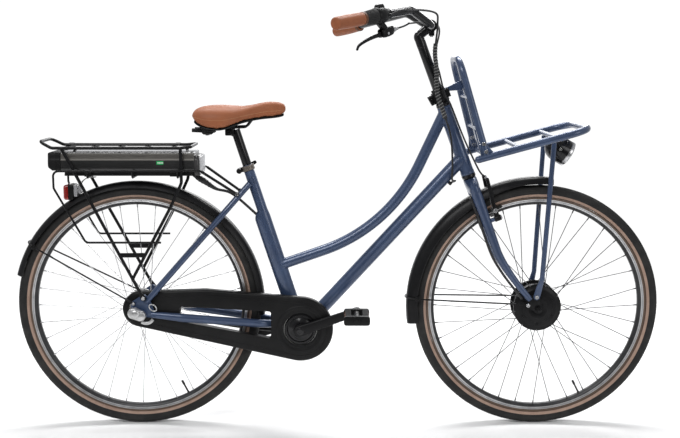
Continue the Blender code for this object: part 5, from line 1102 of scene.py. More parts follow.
def seatClampSet():
    low, high, outer = seatTubeLength - 0.016, seatTubeLength - 0.001, 0.0185
    collar = pipe([(low, 0.0153), (low, outer - 0.0008), (low + 0.0008, outer), (low + 0.006, outer),
                   (low + 0.0066, outer - 0.0007), (low + 0.0084, outer - 0.0007), (low + 0.009, outer),
                   (high - 0.0008, outer), (high, outer - 0.0008), (high, 0.0153)], crank, seatUp, 56)
    middle = (low + high) / 2
    ears = [soften(sweep([onSeat(middle, -outer + 0.001, side * 0.0055),
                          onSeat(middle, -outer - 0.013, side * 0.0055)], roundBar(0.006, 0.013, 0.002)), 0.0006, 2,
                   60) for side in (-1, 1)]
    skewer = rod(onSeat(middle, -outer - 0.007, -0.018), onSeat(middle, -outer - 0.007, 0.014), 0.0028, 16)
    nut = lathe(mm("-24 3, -24 6.2, -23.2 7, -16 8.2, -15 7.8, -15 3"), onSeat(middle, -outer - 0.007), yAxis, 24)
    return collar, merge(*ears, skewer, nut)


def clampLever():
    pivot = onSeat(seatTubeLength - 0.0085, -0.0255, 0.021)
    cam = lathe(mm("-6 5.4, -5.4 6.2, 5.4 6.2, 6 5.4"), pivot, seatUp, 32)
    path = smoothPath([pivot, pivot + seatForward * 0.020 + yAxis * 0.003 + seatUp * 0.002,
                       pivot + seatForward * 0.051 + yAxis * 0.001 + seatUp * 0.009], 8)
    scales = [mix(0.8, 1.0, min(1, k / 6)) for k in range(len(path) - 2)] + [0.92, 0.6]
    return merge(cam, sweep(path, roundBar(0.0050, 0.0105, 0.0020), scales=scales))


finishes["collar"] = coatedFinish("dull_collar_alloy", (0.120, 0.105, 0.092), 0.34, 0.35)
collarBand, collarEars = seatClampSet()
addPiece("seat_collar", collarBand, "collar", "frame", "seat_clamp")
addPiece("seat_collar_ears", collarEars, "satin", "frame")
addPiece("seat_quick_lever", clampLever(), "satin", "seat_clamp_lever", "seat_clamp_lever", crease=50)

# Fork

forkFacts = {"spacing": 0.043, "depth": 0.0155, "width": 0.0112, "tipDepth": 0.0078, "tipWidth": 0.0055, "end": 0.034}


def bladeCentre(up, side):
    share = max(0.0, (0.20 - up) / 0.20)
    return onSteer(up, rake * share**1.5, side * mix(forkFacts["spacing"], 0.0525, 1 - up / crownBase))


brakeFacts = {"forward": 0.034, "half": 0.045, "padUp": 0.022, "armUp": 0.114, "lean": 0.009, "padReach": 0.3115}
# height of the pivots above the foot of the steering axis, from where the pads meet the rim
brakeUp = sqrt(brakeFacts["padReach"]**2 - (rake - brakeFacts["forward"])**2) - brakeFacts["padUp"]


def brakePivot(side):
    return onSteer(brakeUp, brakeFacts["forward"], side * brakeFacts["half"])


def strutBolt(side):
    return frontHub + at(-7.5, side * 55, 36.5)


def forkBlade(side):
    rings = []
    for up in [crownBase + 0.012] + spread(8, 0.372, 0.21) + spread(20, 0.205, forkFacts["end"]):
        share = 1 - up / crownBase
        depth = mix(forkFacts["depth"], forkFacts["tipDepth"], share)
        width = mix(forkFacts["width"], forkFacts["tipWidth"], share)
        ahead = (bladeCentre(up - 0.002, side) - bladeCentre(up + 0.002, side)).normalized()
        forward = yAxis.cross(-ahead).normalized()
        rings.append([bladeCentre(up, side) + forward * u + yAxis * v for u, v in oval(depth, width, 32)])
    return skin(rings)


def forkBody():
    steerer = pipe([(crownBase + 0.004, 0.0129), (crownBase + 0.004, 0.0143), (steererTop, 0.0143),
                    (steererTop, 0.0129)], steerFoot, steerUp, 40)
    shoulder = 0.0552
    rings = []
    for up, depth, width in [(crownBase, 0.0150, shoulder - 0.0015), (crownBase + 0.0012, 0.0163, shoulder - 0.0003),
                             (crownBase + 0.004, 0.0168, shoulder), (crownBase + 0.020, 0.0184, shoulder - 0.0006),
                             (crownBase + 0.026, 0.0186, shoulder - 0.006), (crownBase + 0.032, 0.0188, 0.038),
                             (crownBase + 0.037, 0.0190, 0.0250), (crownTop - 0.0006, 0.0190, 0.0205),
                             (crownTop, 0.0184, 0.0198)]:
        rings.append([onSteer(up, u * depth, v * width) for u, v in roundBar(2, 2, 0.75, 6)])
    parts, tips = [steerer, skin(rings)], []
    for side in (-1, 1):
        tip, bolt = bladeCentre(forkFacts["end"], side), strutBolt(side)
        outline = belt([(frontHub.x, frontHub.z, 0.013), (tip.x, tip.z, 0.0085), (bolt.x, bolt.z, 0.0075),
                        (frontHub.x - 0.032, frontHub.z + 0.014, 0.006)], 48)
        hole = roundHole(frontHub, 0.0056, 24)
        low, high = sorted((side * 0.050, side * 0.055))
        tips.append(soften(plate(outline, [hole], low, high), 0.0008, 2, 50))
        pin = brakePivot(side)
        parts.append(lathe(mm("-28 4.6, 11 4.6, 11.4 4"), pin, steerForward, 20))
        parts.append(lathe(mm("-20 6, -11.5 6, -11 5.5"), pin, steerForward, 24))
        parts.append(forkBlade(side))
    return merge(*parts), merge(*tips)


forkTubes, forkTips = forkBody()
addPiece("fork_body", forkTubes, "blue", "steering", "fork", crease=38)
addPiece("fork_tips", forkTips, "satin", "steering", crease=38)
stayEyeBolts = [screw(frontHub + at(-32, side * 60.6, 12.5), yAxis * side, 0.0058, 0.0046) for side in (-1, 1)]
addPiece("front_stay_bolts", merge(*stayEyeBolts), "steel", "steering")


def frontAxleSet():
    axle = lathe(mm("-70 3, -69.5 4.8, 69.5 4.8, 70 3"), frontHub, yAxis, 20)
    parts = [axle]
    for side in (-1, 1):
        parts.append(pipe([(side * 0.0432, 0.0055), (side * 0.0432, 0.0088), (side * 0.0496, 0.0090),
                           (side * 0.0497, 0.0055)], frontHub, yAxis, 32))
        parts.append(hexNut(frontHub + yAxis * side * 0.0553, yAxis * side, 0.0150, 0.0085, 0.0052))
    return merge(*parts)


addPiece("front_axle_nuts", frontAxleSet(), "satin", "steering", "front_axle", crease=30)
print("fork and hub axles set")

# Mudguards

guardFacts = {"half": 0.029, "crown": 0.017, "sheet": 0.0014, "rear": 0.364, "front": 0.377}


def guardLine(grow=0.0, count=19):
    # (y, radial) points over the guard from edge to edge, drawn a little flatter on its shoulder
    half, crown = guardFacts["half"], guardFacts["crown"]
    points = []
    for k in range(count):
        w = -1 + 2 * k / (count - 1)
        bend = abs(w) ** 2.6 * 0.62 + abs(w) ** 7 * 0.38
        points.append((w * (half + grow), -crown * bend + grow * (1 - 0.55 * abs(w) ** 3)))
    return points


def skirtDepth(hub, turn):
    # the front guard's sides grow deeper from its front end to its foot
    if hub.x < 0:
        return 1.0
    t = min(1, max(0, (turn - radians(95)) / radians(30)))
    return mix(1.12, 1.75, t * t * (3 - 2 * t))


def guardShape(hub, reach, start, end):
    # sheet with rolled edges
    outer = guardLine()
    inner = [(y * (1 - guardFacts["sheet"] / guardFacts["half"]), r - guardFacts["sheet"]) for y, r in outer]
    rings = []
    steps = spread(110, start, end)
    for t in steps:
        out = Vector((cos(t), 0, sin(t)))
        deep = skirtDepth(hub, t)
        rings.append([hub + out * (reach + r * deep) + yAxis * y for y, r in outer + inner[::-1]])
    sheet = skin(rings)
    rolls = []
    for side in (-1, 1):
        path = [hub + Vector((cos(t), 0, sin(t))) * (reach - 0.0168 * skirtDepth(hub, t)) + yAxis * side * 0.0281
                for t in steps]
        rolls.append(tube(path, 0.0009, 8))
    return merge(sheet, *rolls)


def flapShape(hub, reach, start, end):
    # moulded mud flap sleeved over the guard's end
    outer = guardLine(0.0, 15)
    rings = []
    for t in spread(12, start, end):
        out, deep = Vector((cos(t), 0, sin(t))), skirtDepth(hub, t)
        rings.append([hub + out * (reach + r * deep - 0.0016) + yAxis * y * 0.93 for y, r in outer]
                     + [hub + out * (reach + r * deep - 0.0036) + yAxis * y * 0.87 for y, r in outer[::-1]])
    return skin(rings)


def guardStay(hub, reach, angle, foot):
    wire = 0.0023
    out = Vector((cos(angle), 0, sin(angle)))
    over = [hub + out * (reach + (r if r > 0 else r * skirtDepth(hub, angle))) + yAxis * y
            for y, r in guardLine(wire + 0.0007, 15)]
    low = foot + out * 0.012
    path = [low, over[0] - out * 0.006] + over
    other = [Vector((p.x, -p.y, p.z)) for p in (over[0] - out * 0.006, low)]
    wireShape = tube(path + other, wire, 14, side=out.cross(yAxis))
    eyes, clamps = [], []
    for side in (-1, 1):
        spot = Vector((foot.x, abs(foot.y) * side, foot.z))
        eyes.append(pipe(mm("-1.8 2.6, -1.8 5.2, 1.8 5.2, 1.8 2.6"), spot, yAxis, 24))
        eyes.append(rod(spot + out * 0.0035, spot + out * 0.0125, wire, 14))
        edge = Vector((over[0].x, abs(over[0].y) * side, over[0].z))
        clamps.append(brick(edge - out * 0.004, 12, 6.2, 13, 1.4, 3, -angle))
        clamps.append(screw(edge - out * 0.004 + yAxis * side * 0.0028, yAxis * side, 0.0030, 0.0022))
    return merge(wireShape, *eyes), merge(*clamps)


addPiece("rear_guard_sheet", guardShape(rearHub, guardFacts["rear"], radians(-4), radians(165)), "satin", "frame",
         "rear_mudguard", crease=40)
addPiece("front_guard_sheet", guardShape(frontHub, guardFacts["front"], radians(84), radians(188)), "satin",
         "steering", "front_mudguard", crease=40)
addPiece("rear_guard_flap", flapShape(rearHub, guardFacts["rear"], radians(157), radians(164.6)), "rubber", "frame")
addPiece("front_guard_flap", flapShape(frontHub, guardFacts["front"], radians(180), radians(187.6)), "rubber",
         "steering")
for tag, hub, angle, foot, body in (("rear", rearHub, radians(149), stayEye - yAxis * 0.0738, "frame"),
                                    ("front", frontHub, radians(176), frontHub + at(-32, -57.8, 14), "steering")):
    wires, clamps = guardStay(hub, guardFacts[tag], angle, foot)
    addPiece(tag + "_guard_stay", wires, "satin", body, tag + "_mudguard_stay", crease=60)
    addPiece(tag + "_guard_clamps", clamps, "plastic", body)
print("mudguards hung")

# Chain case and drive

caseFacts = {"outside": 0.058, "inside": 0.0372, "wall": 0.002, "edge": 0.0085, "opening": 0.048}


def caseOutline(inset=0.0, steps=96):
    crown = mix(rearHub, crank, 0.42)
    return belt([(rearHub.x + 0.011, rearHub.z, 0.052 - inset), (crown.x, crown.z + 0.022, 0.061 - inset),
                 (crank.x, crank.z, 0.094 - inset)], steps)


def caseSlot(grow=0.0):
    # window round the chainstay, its corners rounded
    rear, front = rearHub.x + 0.124, crank.x - 0.0842
    corners = [(rear, rearHub.z - 0.034), (front, crank.z - 0.026), (front, crank.z + 0.053),
               (rear, rearHub.z + 0.009)]
    radius = 0.006
    points = []
    for k in range(4):
        before, here, after = (Vector((*corners[(k + j) % 4], 0)) for j in (-1, 0, 1))
        back, on = (before - here).normalized(), (after - here).normalized()
        half = back.angle(on) / 2
        centre = here + (back + on).normalized() * radius / sin(half)
        start, end = here + back * radius / tan(half), here + on * radius / tan(half)
        for j in range(7):
            spot = centre + ((start - centre) * (1 - j / 6) + (end - centre) * (j / 6)).normalized() * (radius + grow)
            points.append((spot.x, spot.y))
    return points


def caseWindow(grow=0.0):
    # opening round the rear hub
    return belt([(rearHub.x, rearHub.z, 0.024 + grow), (rearHub.x + 0.026, rearHub.z - 0.004, 0.014 + grow)])


def caseShell():
    facts = caseFacts
    outer, edge, wall = facts["outside"], facts["edge"], facts["wall"]
    rings = []
    for k in range(9):
        t = pi / 2 * k / 8
        rings.append([Vector((x, -outer + edge * (1 - sin(t)), z))
                      for x, z in caseOutline(edge * (1 - cos(t)) * 0.9)])
    base = [Vector((x, -facts["inside"], z)) for x, z in caseOutline(0)]
    body = skin([base] + rings)
    inner = []
    for k in range(7):
        t = pi / 2 * k / 6
        inner.append([Vector((x, -outer + wall + edge * (1 - sin(t)), z))
                      for x, z in caseOutline(wall + edge * (1 - cos(t)) * 0.9, 48)])
    hollow = cutBy(skin([[Vector((x, -facts["inside"] + 0.01, z)) for x, z in caseOutline(wall, 48)]] + inner),
                   prism(caseSlot(wall), -0.1, 0.01))
    return cutBy(body, hollow, prism(caseSlot(), -0.1, 0), prism(roundHole(crank, facts["opening"]), -0.1, 0),
                  prism(caseWindow(), -0.1, 0))


def caseTrim():
    # moulded ridge along the case, raised front panel and the lips round its openings
    y = -caseFacts["outside"]
    line = caseOutline(0.0165, 96)
    ridge = tube([Vector((x, y - 0.00005, z)) for x, z in line], 0.0011, 8, closed=True)
    panel = pipe(mm("0.4 48.8, -0.4 49, -0.8 50, -0.8 54.5, -0.1 55.2, -0.1 58, -0.8 58.8, -0.8 65.5, -0.3 69, "
                    "1 70, 1 48.8"), crank + yAxis * y, yAxis, 96)
    lip = tube([Vector((x, y + 0.0002, z)) for x, z in caseSlot(0.0012)], 0.0013, 8, closed=True)
    collar = tube([Vector((x, y + 0.0002, z)) for x, z in caseWindow(0.0012)], 0.0013, 8, closed=True)
    return merge(ridge, panel, lip, collar)


addPiece("chain_case_shell", caseShell(), "plastic", "frame", "chaincase_cover", crease=32)
addPiece("chain_case_trim", caseTrim(), "plastic", "frame", crease=45)
backPlate = plate(caseOutline(0.0006, 64), [caseSlot(0.0005), roundHole(crank, 0.032), roundHole(rearHub, 0.043)],
                  -0.0369, -0.0354)
addPiece("chain_case_back", backPlate, "plastic", "frame", "chaincase_back", crease=30)
caseScrews = [screw(Vector((x, -0.0580, z)), -yAxis, 0.0030, 0.0016)
              for x, z in ((rearHub.x + 0.060, rearHub.z + 0.0430), (crank.x - 0.108, crank.z + 0.0735),
                           (rearHub.x + 0.070, rearHub.z - 0.0490), (crank.x - 0.100, crank.z - 0.0660))]
addPiece("chain_case_screws", merge(*caseScrews), "satin", "frame")


chainPitch = 0.0127


def pitchRadius(teeth):
    return chainPitch / (2 * sin(pi / teeth))


def toothedDisc(teeth, centre, inner):
    # chainwheel with rounded valleys
    outline, reach = [], pitchRadius(teeth)
    for k in range(teeth):
        for share, out in [(0.0, -0.0045), (0.12, -0.0040), (0.30, 0.0008), (0.42, 0.0030), (0.50, 0.0034),
                           (0.58, 0.0030), (0.70, 0.0008), (0.88, -0.0040)]:
            t = 2 * pi * (k + share) / teeth
            outline.append((centre.x + (reach + out) * cos(t), centre.z + (reach + out) * sin(t)))
    return soften(plate(outline, [roundHole(centre, inner, 48)], -0.0481, -0.0459), 0.0003, 1, 60)


def chainLinks():
    # outer and inner plates with round ends over rollers, all round the closed run
    big, small = pitchRadius(38), pitchRadius(16)
    rise, run = crank.z - rearHub.z, crank.x - rearHub.x
    tilt, openBy = atan2(rise, run), pi / 2 + asin((big - small) / hypot(run, rise))
    path = [crank + Vector((big * cos(t), 0, big * sin(t))) for t in spread(60, tilt - openBy, tilt + openBy)]
    path += [rearHub + Vector((small * cos(t), 0, small * sin(t)))
             for t in spread(40, tilt + openBy, tilt + 2 * pi - openBy)]
    path.append(path[0])
    lengths = runLengths(path)
    count = 2 * round(lengths[-1] / chainPitch / 2)
    spots, j = [], 0
    for k in range(count):
        want = lengths[-1] * k / count
        while lengths[j + 1] < want:
            j += 1
        spots.append(mix(path[j], path[j + 1], (want - lengths[j]) / (lengths[j + 1] - lengths[j])))
    parts = []
    for k in range(count):
        a, b = spots[k], spots[(k + 1) % count]
        outline = belt([(a.x, a.z, 0.0040), ((a.x + b.x) / 2, (a.z + b.z) / 2, 0.0030), (b.x, b.z, 0.0040)], 12)
        out = 0.0034 if k % 2 else 0.0024
        parts += [prism(outline, -0.047 + side * out - 0.0004, -0.047 + side * out + 0.0004) for side in (-1, 1)]
        parts.append(lathe([(-0.0038, 0.0018), (0.0038, 0.0018)], a - yAxis * 0.047, yAxis, 8))
    return merge(*parts)


addPiece("chain_links", chainLinks(), "zinc", "frame", "chain", crease=40)
addPiece("rear_chainwheel", toothedDisc(16, rearHub, 0.0195), "zinc", "rear_sprocket", "rear_sprocket", crease=30)
addPiece("chainwheel_teeth", toothedDisc(38, crank, 0.030), "zinc", "crankset", "chainring", crease=30)
guardDisc = pipe(mm("-48.4 9.5, -54 9.5, -54.5 10, -54.5 20.5, -54.1 22, -53 24.8, -51.7 27.8, -50.3 30.8, "
                    "-49.2 33.2, -48.8 35, -48.9 36.2, -51.6 37.2, -52.6 38.5, -52.8 42.5, -51.8 45, -48.4 46.2"),
                 crank, yAxis, 96)
addPiece("chainwheel_disc", guardDisc, "gloss", "crankset", crease=28)
ringGlint = pipe(mm("-52 39.5, -52.8 39.8, -52.8 40.3, -52 40.6"), crank - yAxis * 0.0006, yAxis, 96)
addPiece("chainwheel_trim", ringGlint, "satin", "crankset")

crankFacts = {"length": 0.170, "tilt": radians(19.5), "inside": 0.060, "pedalHalf": 0.049}


def crankWay(side):
    return Vector((cos(crankFacts["tilt"]), 0, sin(crankFacts["tilt"]))) * (-side)


def crankArm(side):
    # stations are (along the crank, width, inner face, thickness)
    along, inside = crankWay(side), crankFacts["inside"]
    across = along.cross(yAxis)
    stations = mm("-19.5 12 0 14, -18.5 20 0 17.5, -15 27 0 19.5, -8 32.5 0 20, 0 34 0 20, 10 33.5 0 20, "
                  "22 32 0.8 18.8, 34 30 2.2 17, 46 28.5 4 15, 80 26.8 5.2 13.8, 115 25.6 6.2 12.8, 148 24.6 7 12, "
                  "158 25 6.8 12.8, 166 25.6 6.5 13.5, 174 24.6 6.5 13.5, 180 19 6.6 13, 183.5 11 7.2 11")
    rings = []
    for reach, width, inner, thick in stations:
        base = crank + along * reach + yAxis * side * (inside + inner + thick / 2)
        rings.append([base + across * u + yAxis * v for u, v in roundBar(width, thick, min(width, thick) * 0.28, 4)])
    end = crank + along * crankFacts["length"]
    spindle = lathe(mm("11 4, 11 7.5, 20 7.8, 21.5 6, 21.5 4.5, 117.5 4.5, 117.8 4"), end + yAxis * side * inside,
                    yAxis * side, 24)
    cover = lathe(mm("19.5 10, 20.4 10.4, 20.9 9.6, 20.9 6, 20.3 5.2"), crank + yAxis * side * inside, yAxis * side,
                  36)
    return skin(rings), spindle, cover


for side, tag in ((-1, "right"), (1, "left")):
    arm, spindle, cover = crankArm(side)
    addPiece("crank_arm_" + tag, arm, "satin", "crankset", "crank_" + tag, crease=50)
    addPiece("pedal_spindle_" + tag, spindle, "steel", "crankset")
    addPiece("crank_cap_" + tag, cover, "gloss", "crankset", slot="black_plastic")


def pedalParts(side):
    # two end caps, tread blocks with bars of rubber and the reflectors between them
    half = crankFacts["pedalHalf"]
    centre = crank + crankWay(side) * crankFacts["length"] + yAxis * side * (crankFacts["inside"] + 0.026 + half)
    body, treads, reflectors = [], [], []
    for way in (-1, 1):
        cap = centre + yAxis * way * (half - 0.006)
        outline = [(cap.x + u, cap.z + v) for u, v in roundBar(0.072, 0.026, 0.0075, 5)]
        body.append(soften(prism(outline, cap.y - 0.006, cap.y + 0.006), 0.0010, 2, 50))
        for dx in (-0.018, 0.018):
            body.append(lathe(mm("-6.4 3.4, -6.4 5, 6.4 5, 6.4 3.4, 5.2 2.2, -5.2 2.2"), cap + xAxis * dx, yAxis, 24))
        tread = centre + xAxis * way * 0.024
        treads.append(brick(tread, 16.5, 86, 22.5, 1.6))
        for k in range(9):
            for up in (-1, 1):
                rib = tread + yAxis * (-0.036 + 0.009 * k) + zAxis * up * 0.0113
                treads.append(brick(rib, 15, 5.2, 1.8, 0.6, 1))
        reflectors.append(brick(centre + xAxis * way * 0.0320, 2.8, 60, 13, 0.8))
    body.append(pipe([(-half + 0.002, 0.0052), (-half + 0.002, 0.0095), (0, 0.0090), (half - 0.002, 0.0095),
                      (half - 0.002, 0.0052)], centre, yAxis, 32))
    body.append(lathe(mm("-1 8.5, 1.5 7.8, 2 6"), centre + yAxis * side * half, yAxis * side, 24))
    return merge(*body), merge(*treads), merge(*reflectors)


finishes["amber"] = lampGlass("amber_reflector", (0.42, 0.13, 0.012), 0.18, 0.2)
for side, tag in ((-1, "right"), (1, "left")):
    body, treads, reflectors = pedalParts(side)
    addPiece("pedal_body_" + tag, body, "plastic", tag + "_pedal", "pedal_" + tag)
    addPiece("pedal_tread_" + tag, treads, "rubber", tag + "_pedal")
    addPiece("pedal_reflector_" + tag, reflectors, "amber", tag + "_pedal")


def kickstandShape():
    axis = Vector((-0.124, 0.986, 0.110)).normalized()
    pivot = Vector((-0.163, 0.030, crank.z - 0.022))
    knuckle = lathe(mm("-16 8.5, -15.2 9.5, 15.2 9.5, 16 8.5"), pivot, axis, 32)
    leg = [pivot, pivot + at(-30, 4, 0), pivot + at(-110, 9, 6), pivot + at(-180, 20, 14), pivot + at(-262, 34, 24)]
    foot = (leg[-1] - leg[-2]).normalized()
    rubber = lathe(mm("-34 7.8, -30 8.6, -2 9, 4 11.2, 10 11.8, 12.2 10.8"), leg[-1], foot, 32)
    return merge(knuckle, tube(roundedPath(leg, 0.06, 4), 0.0075, 24, side=zAxis)), rubber


standLeg, standFoot = kickstandShape()
addPiece("stand_leg", standLeg, "satin", "kickstand", "kickstand")
addPiece("stand_foot", standFoot, "rubber", "kickstand")
print("drive fitted")

# Rear rack, battery and tail light

rackFacts = {"top": 0.8145, "half": 0.065, "rod": 0.0045, "guardRod": 0.0030, "front": -0.4444, "rear": -0.7754,
             "low": 0.7510}


def rackFoot(side):
    return rackEye + yAxis * side * 0.0823


def rackStayEnd(side):
    spot = mix(seatFoot, onSeat(0.440, 0, -0.017), 0.90)
    return Vector((spot.x - 0.012, side * 0.0438, spot.z + 0.004))


def rackShape():
    facts = rackFacts
    top, wide, front, rear, low = facts["top"], facts["half"], facts["front"], facts["rear"], facts["low"]
    thick, thin = facts["rod"], facts["guardRod"]
    # hoop of the deck, with a rod across its front end
    ends = [[Vector((x, side * y, z)) for x, y, z in [(front + 0.034, wide * 0.92, top + 0.0030),
                                                      (front + 0.005, wide, top), (rear - 0.022, wide, top),
                                                      (rear - 0.056, wide * 0.92, top + 0.0175)]] for side in (-1, 1)]
    hoop = roundedPath(ends[0] + ends[1][::-1], 0.022, 6)
    parts = [tube(hoop, thick, 18, side=zAxis), rod(ends[0][0], ends[1][0], thick, 18)]
    parts += [bmeshBall(spot, thick) for spot in (ends[0][0], ends[1][0])]
    beads = []
    # on each side: leg and foot, front strut, flat bar, and the guard that keeps bags off the wheel
    for side in (-1, 1):
        y, foot = side * wide, rackFoot(side)
        head = Vector((rear + 0.005, y, top))
        lead = (head - foot).normalized()
        parts.append(tube([foot + lead * 0.004, head], thick, 18))
        parts.append(soften(prism(belt([(foot.x, foot.z, 0.0078),
                                        (foot.x + lead.x * 0.018, foot.z + lead.z * 0.018, 0.0048)], 24),
                                  foot.y - 0.002, foot.y + 0.002), 0.0005))
        parts.append(lathe([(0.0715, 0.0048), (0.0803, 0.0048)], Vector((foot.x, 0, foot.z)), yAxis * side, 16))
        meet = mix(foot, head, 0.13)
        legs = [Vector((front + 0.006, y, top)), Vector((front + 0.007, y, top - 0.098)),
                Vector((front - 0.027, y * 1.03, top - 0.170)), meet]
        parts.append(tube(roundedPath(legs, 0.030, 5), thick, 18))
        barZ = mix(foot.z, head.z, 0.29)
        back, ahead = mix(foot, head, 0.29), mix(meet, legs[2], 0.36)
        ahead.z = barZ
        parts.append(sweep([back, ahead], roundBar(0.003, 0.013, 0.0012)))
        guardY = foot.y * 0.96
        guard = roundedPath([
            Vector((front - 0.052, guardY, low - 0.201)), Vector((rear + 0.068, guardY, low - 0.201)),
            Vector((rear - 0.0165, guardY, low - 0.047)), Vector((rear - 0.0165, guardY, low)),
            Vector((front + 0.060, side * 0.066, low)), rackStayEnd(side)], 0.014, 10)
        parts.append(tube(guard, thin, 14, side=zAxis))
        parts.append(tube(guard[-2:], 0.0041, 14, side=zAxis))
        for spot in (head, legs[0], meet, Vector((front + 0.0067, y, low))):
            beads.append(bmeshBall(spot, thick * 1.22, (1, 1, 0.8)))
        eye = rackStayEnd(side)
        parts.append(pipe(mm("-2.2 3, -2.2 6.2, 1.8 6.2, 1.8 3"), eye, yAxis * side, 24))
    # cross rods of the deck with their weld beads, then the cradles below
    for x in spread(5, rear + 0.012, front - 0.020):
        parts.append(rod(Vector((x, -wide, top)), Vector((x, wide, top)), thick * 0.8, 14))
        for side in (-1, 1):
            beads.append(bmeshBall(Vector((x, side * (wide - 0.001), top)), thick * 1.08, (1, 0.8, 0.9)))
    for x in spread(3, rear + 0.075, front - 0.004):
        reach = mix(abs(guardY), 0.066, (x - rear + 0.016) / (front - rear + 0.088))
        drop = low - 0.0195
        cradle = roundedPath([Vector((x, -reach, low)), Vector((x, -0.061, drop)), Vector((x, 0.061, drop)),
                              Vector((x, reach, low))], 0.004, 20)
        parts.append(tube(cradle, thin, 12, side=xAxis))
    return merge(*parts, *beads)


def bmeshBall(place, radius, stretch=(1, 1, 1)):
    shape = bmesh.new()
    bmesh.ops.create_icosphere(shape, subdivisions=2, radius=radius,
                               matrix=Matrix.Translation(place) @ Matrix.Diagonal((*stretch, 1)))
    return shape


addPiece("rack_rods", rackShape(), "satin", "frame", "rear_rack", crease=50)
stayBolts = [screw(rackStayEnd(side) + yAxis * side * 0.0022, yAxis * side, 0.0050, 0.0036) for side in (-1, 1)]
addPiece("rack_stay_bolts", merge(*stayBolts), "steel", "frame")


def strapShape():
    # three moulded bands pulled over the deck, thicker at the hooks at both ends
    z, front, rear = rackFacts["top"] + rackFacts["rod"] + 0.0019, rackFacts["front"], rackFacts["rear"]
    middle, length = (front + rear) / 2, front - rear - 0.010
    parts = []
    for y in (-0.019, 0, 0.019):
        path = [Vector((middle + length * (k / 24 - 0.5) * 0.96, y, z - 0.0004 * sin(pi * k / 24)))
                for k in range(25)]
        parts.append(sweep(path, roundBar(0.009, 0.0030, 0.0012)))
        parts.append(sweep([p + zAxis * 0.0013 for p in path], roundBar(0.0040, 0.0010, 0.0004, 2)))
    for end in (-1, 1):
        parts.append(brick(Vector((middle + end * (length / 2 - 0.008), 0, z + 0.0004)), 15, 54, 4.2, 1.4, 3))
    return merge(*parts)


addPiece("rack_bands", strapShape(), "rubber", "frame", "rack_strap", crease=45)

batteryFacts = {"front": -0.4019, "base": 0.7348, "length": 0.4107, "height": 0.0513, "half": 0.055, "dock": 0.0150}


def batterySection(wide, tall, drop=0.0):
    w, h = batteryFacts["half"] * wide, batteryFacts["height"] * tall
    side = [(w * 0.90, drop), (w * 0.96, drop + 0.0008), (w * 0.99, drop + 0.0035), (w, drop + 0.007), (w, h * 0.55),
            (w * 0.994, h * 0.585), (w * 0.982, h * 0.62), (w * 0.970, h * 0.68), (w * 0.958, h - 0.010),
            (w * 0.950, h - 0.0050), (w * 0.93, h - 0.0020), (w * 0.89, h - 0.0005), (w * 0.62, h)]
    return [(-y, z) for y, z in side] + side[::-1]


def batteryParts():
    facts = batteryFacts
    base, front = facts["base"] + facts["dock"] + 0.0003, facts["front"]

    def ring(x, wide, tall, drop=0.0):
        return [Vector((x, y, base + z)) for y, z in batterySection(wide, tall, drop)]

    body = skin([ring(front - 0.0002, 0.985, 0.985), ring(front - 0.0015, 1.0, 1.0), ring(front - 0.028, 1.0, 1.0),
                 ring(front - 0.0286, 0.985, 0.985), ring(front - 0.0300, 0.985, 0.985),
                 ring(front - 0.0306, 1.0, 1.0), ring(front - 0.374, 1.0, 1.0), ring(front - 0.3745, 0.97, 0.97)])
    stations = [(0.3742, 0.99, 0.99), (0.3760, 1.02, 1.02), (0.3850, 1.02, 1.02), (0.3853, 1.008, 1.008),
                (0.3868, 1.008, 1.008), (0.3871, 1.02, 1.02), (0.3990, 1.02, 1.02), (0.4060, 1.015, 1.0),
                (0.4090, 1.00, 0.985), (0.4102, 0.985, 0.965), (0.4107, 0.95, 0.93)]
    cap = skin([ring(front - along, wide, tall, 0.0 if along < 0.4 else (along - 0.400) * 0.9)
                for along, wide, tall in stations])
    handle = brick(Vector((front - 0.4045, 0, base + 0.030)), 10, 50, 6, 2, 3)
    keyhole = lathe(mm("0 7.5, 1.2 7.5, 1.6 6.6, 1.6 2.2, 0.2 1.8"),
                    Vector((front - 0.026, facts["half"] * 0.998, base + 0.018)), yAxis, 32)
    charge = lathe(mm("0 9.5, 1 9.5, 1.4 8.6"), Vector((front - 0.330, facts["half"] * 0.998, base + 0.018)), yAxis,
                   32)

    def plaque(behind, out, section, side):
        low, high = sorted((side * (facts["half"] - 0.0004), side * (facts["half"] + out)))
        return prism([(front - behind + u, base + 0.0222 + v) for u, v in section], low, high)

    label = [plaque(0.096, 0.00025, roundBar(0.0195, 0.0098, 0.0018, 5), side) for side in (-1, 1)]
    marks = [plaque(0.0885 + 0.0042 * k, 0.00035, roundBar(0.0026, 0.0040, 0.0004, 2), side)
             for side in (-1, 1) for k in range(4)]
    return body, merge(cap, handle), keyhole, charge, merge(*label), merge(*marks)


finishes["green"] = coatedFinish("green_label", (0.02, 0.32, 0.09), 0.35, 0.0, 800, 0.00003, 0.3)
finishes["white"] = coatedFinish("white_mark", (0.60, 0.66, 0.60), 0.45, 0.0, 800, 0.00003)
body, cap, keyhole, charge, label, marks = batteryParts()
addPiece("battery_case", body, "battery", "battery", "battery", crease=32)
addPiece("battery_cap", cap, "plastic", "battery", crease=40)
addPiece("battery_lock", keyhole, "steel", "battery")
addPiece("battery_socket", charge, "rubber", "battery")
addPiece("battery_label", label, "green", "battery")
addPiece("battery_marks", marks, "white", "battery")


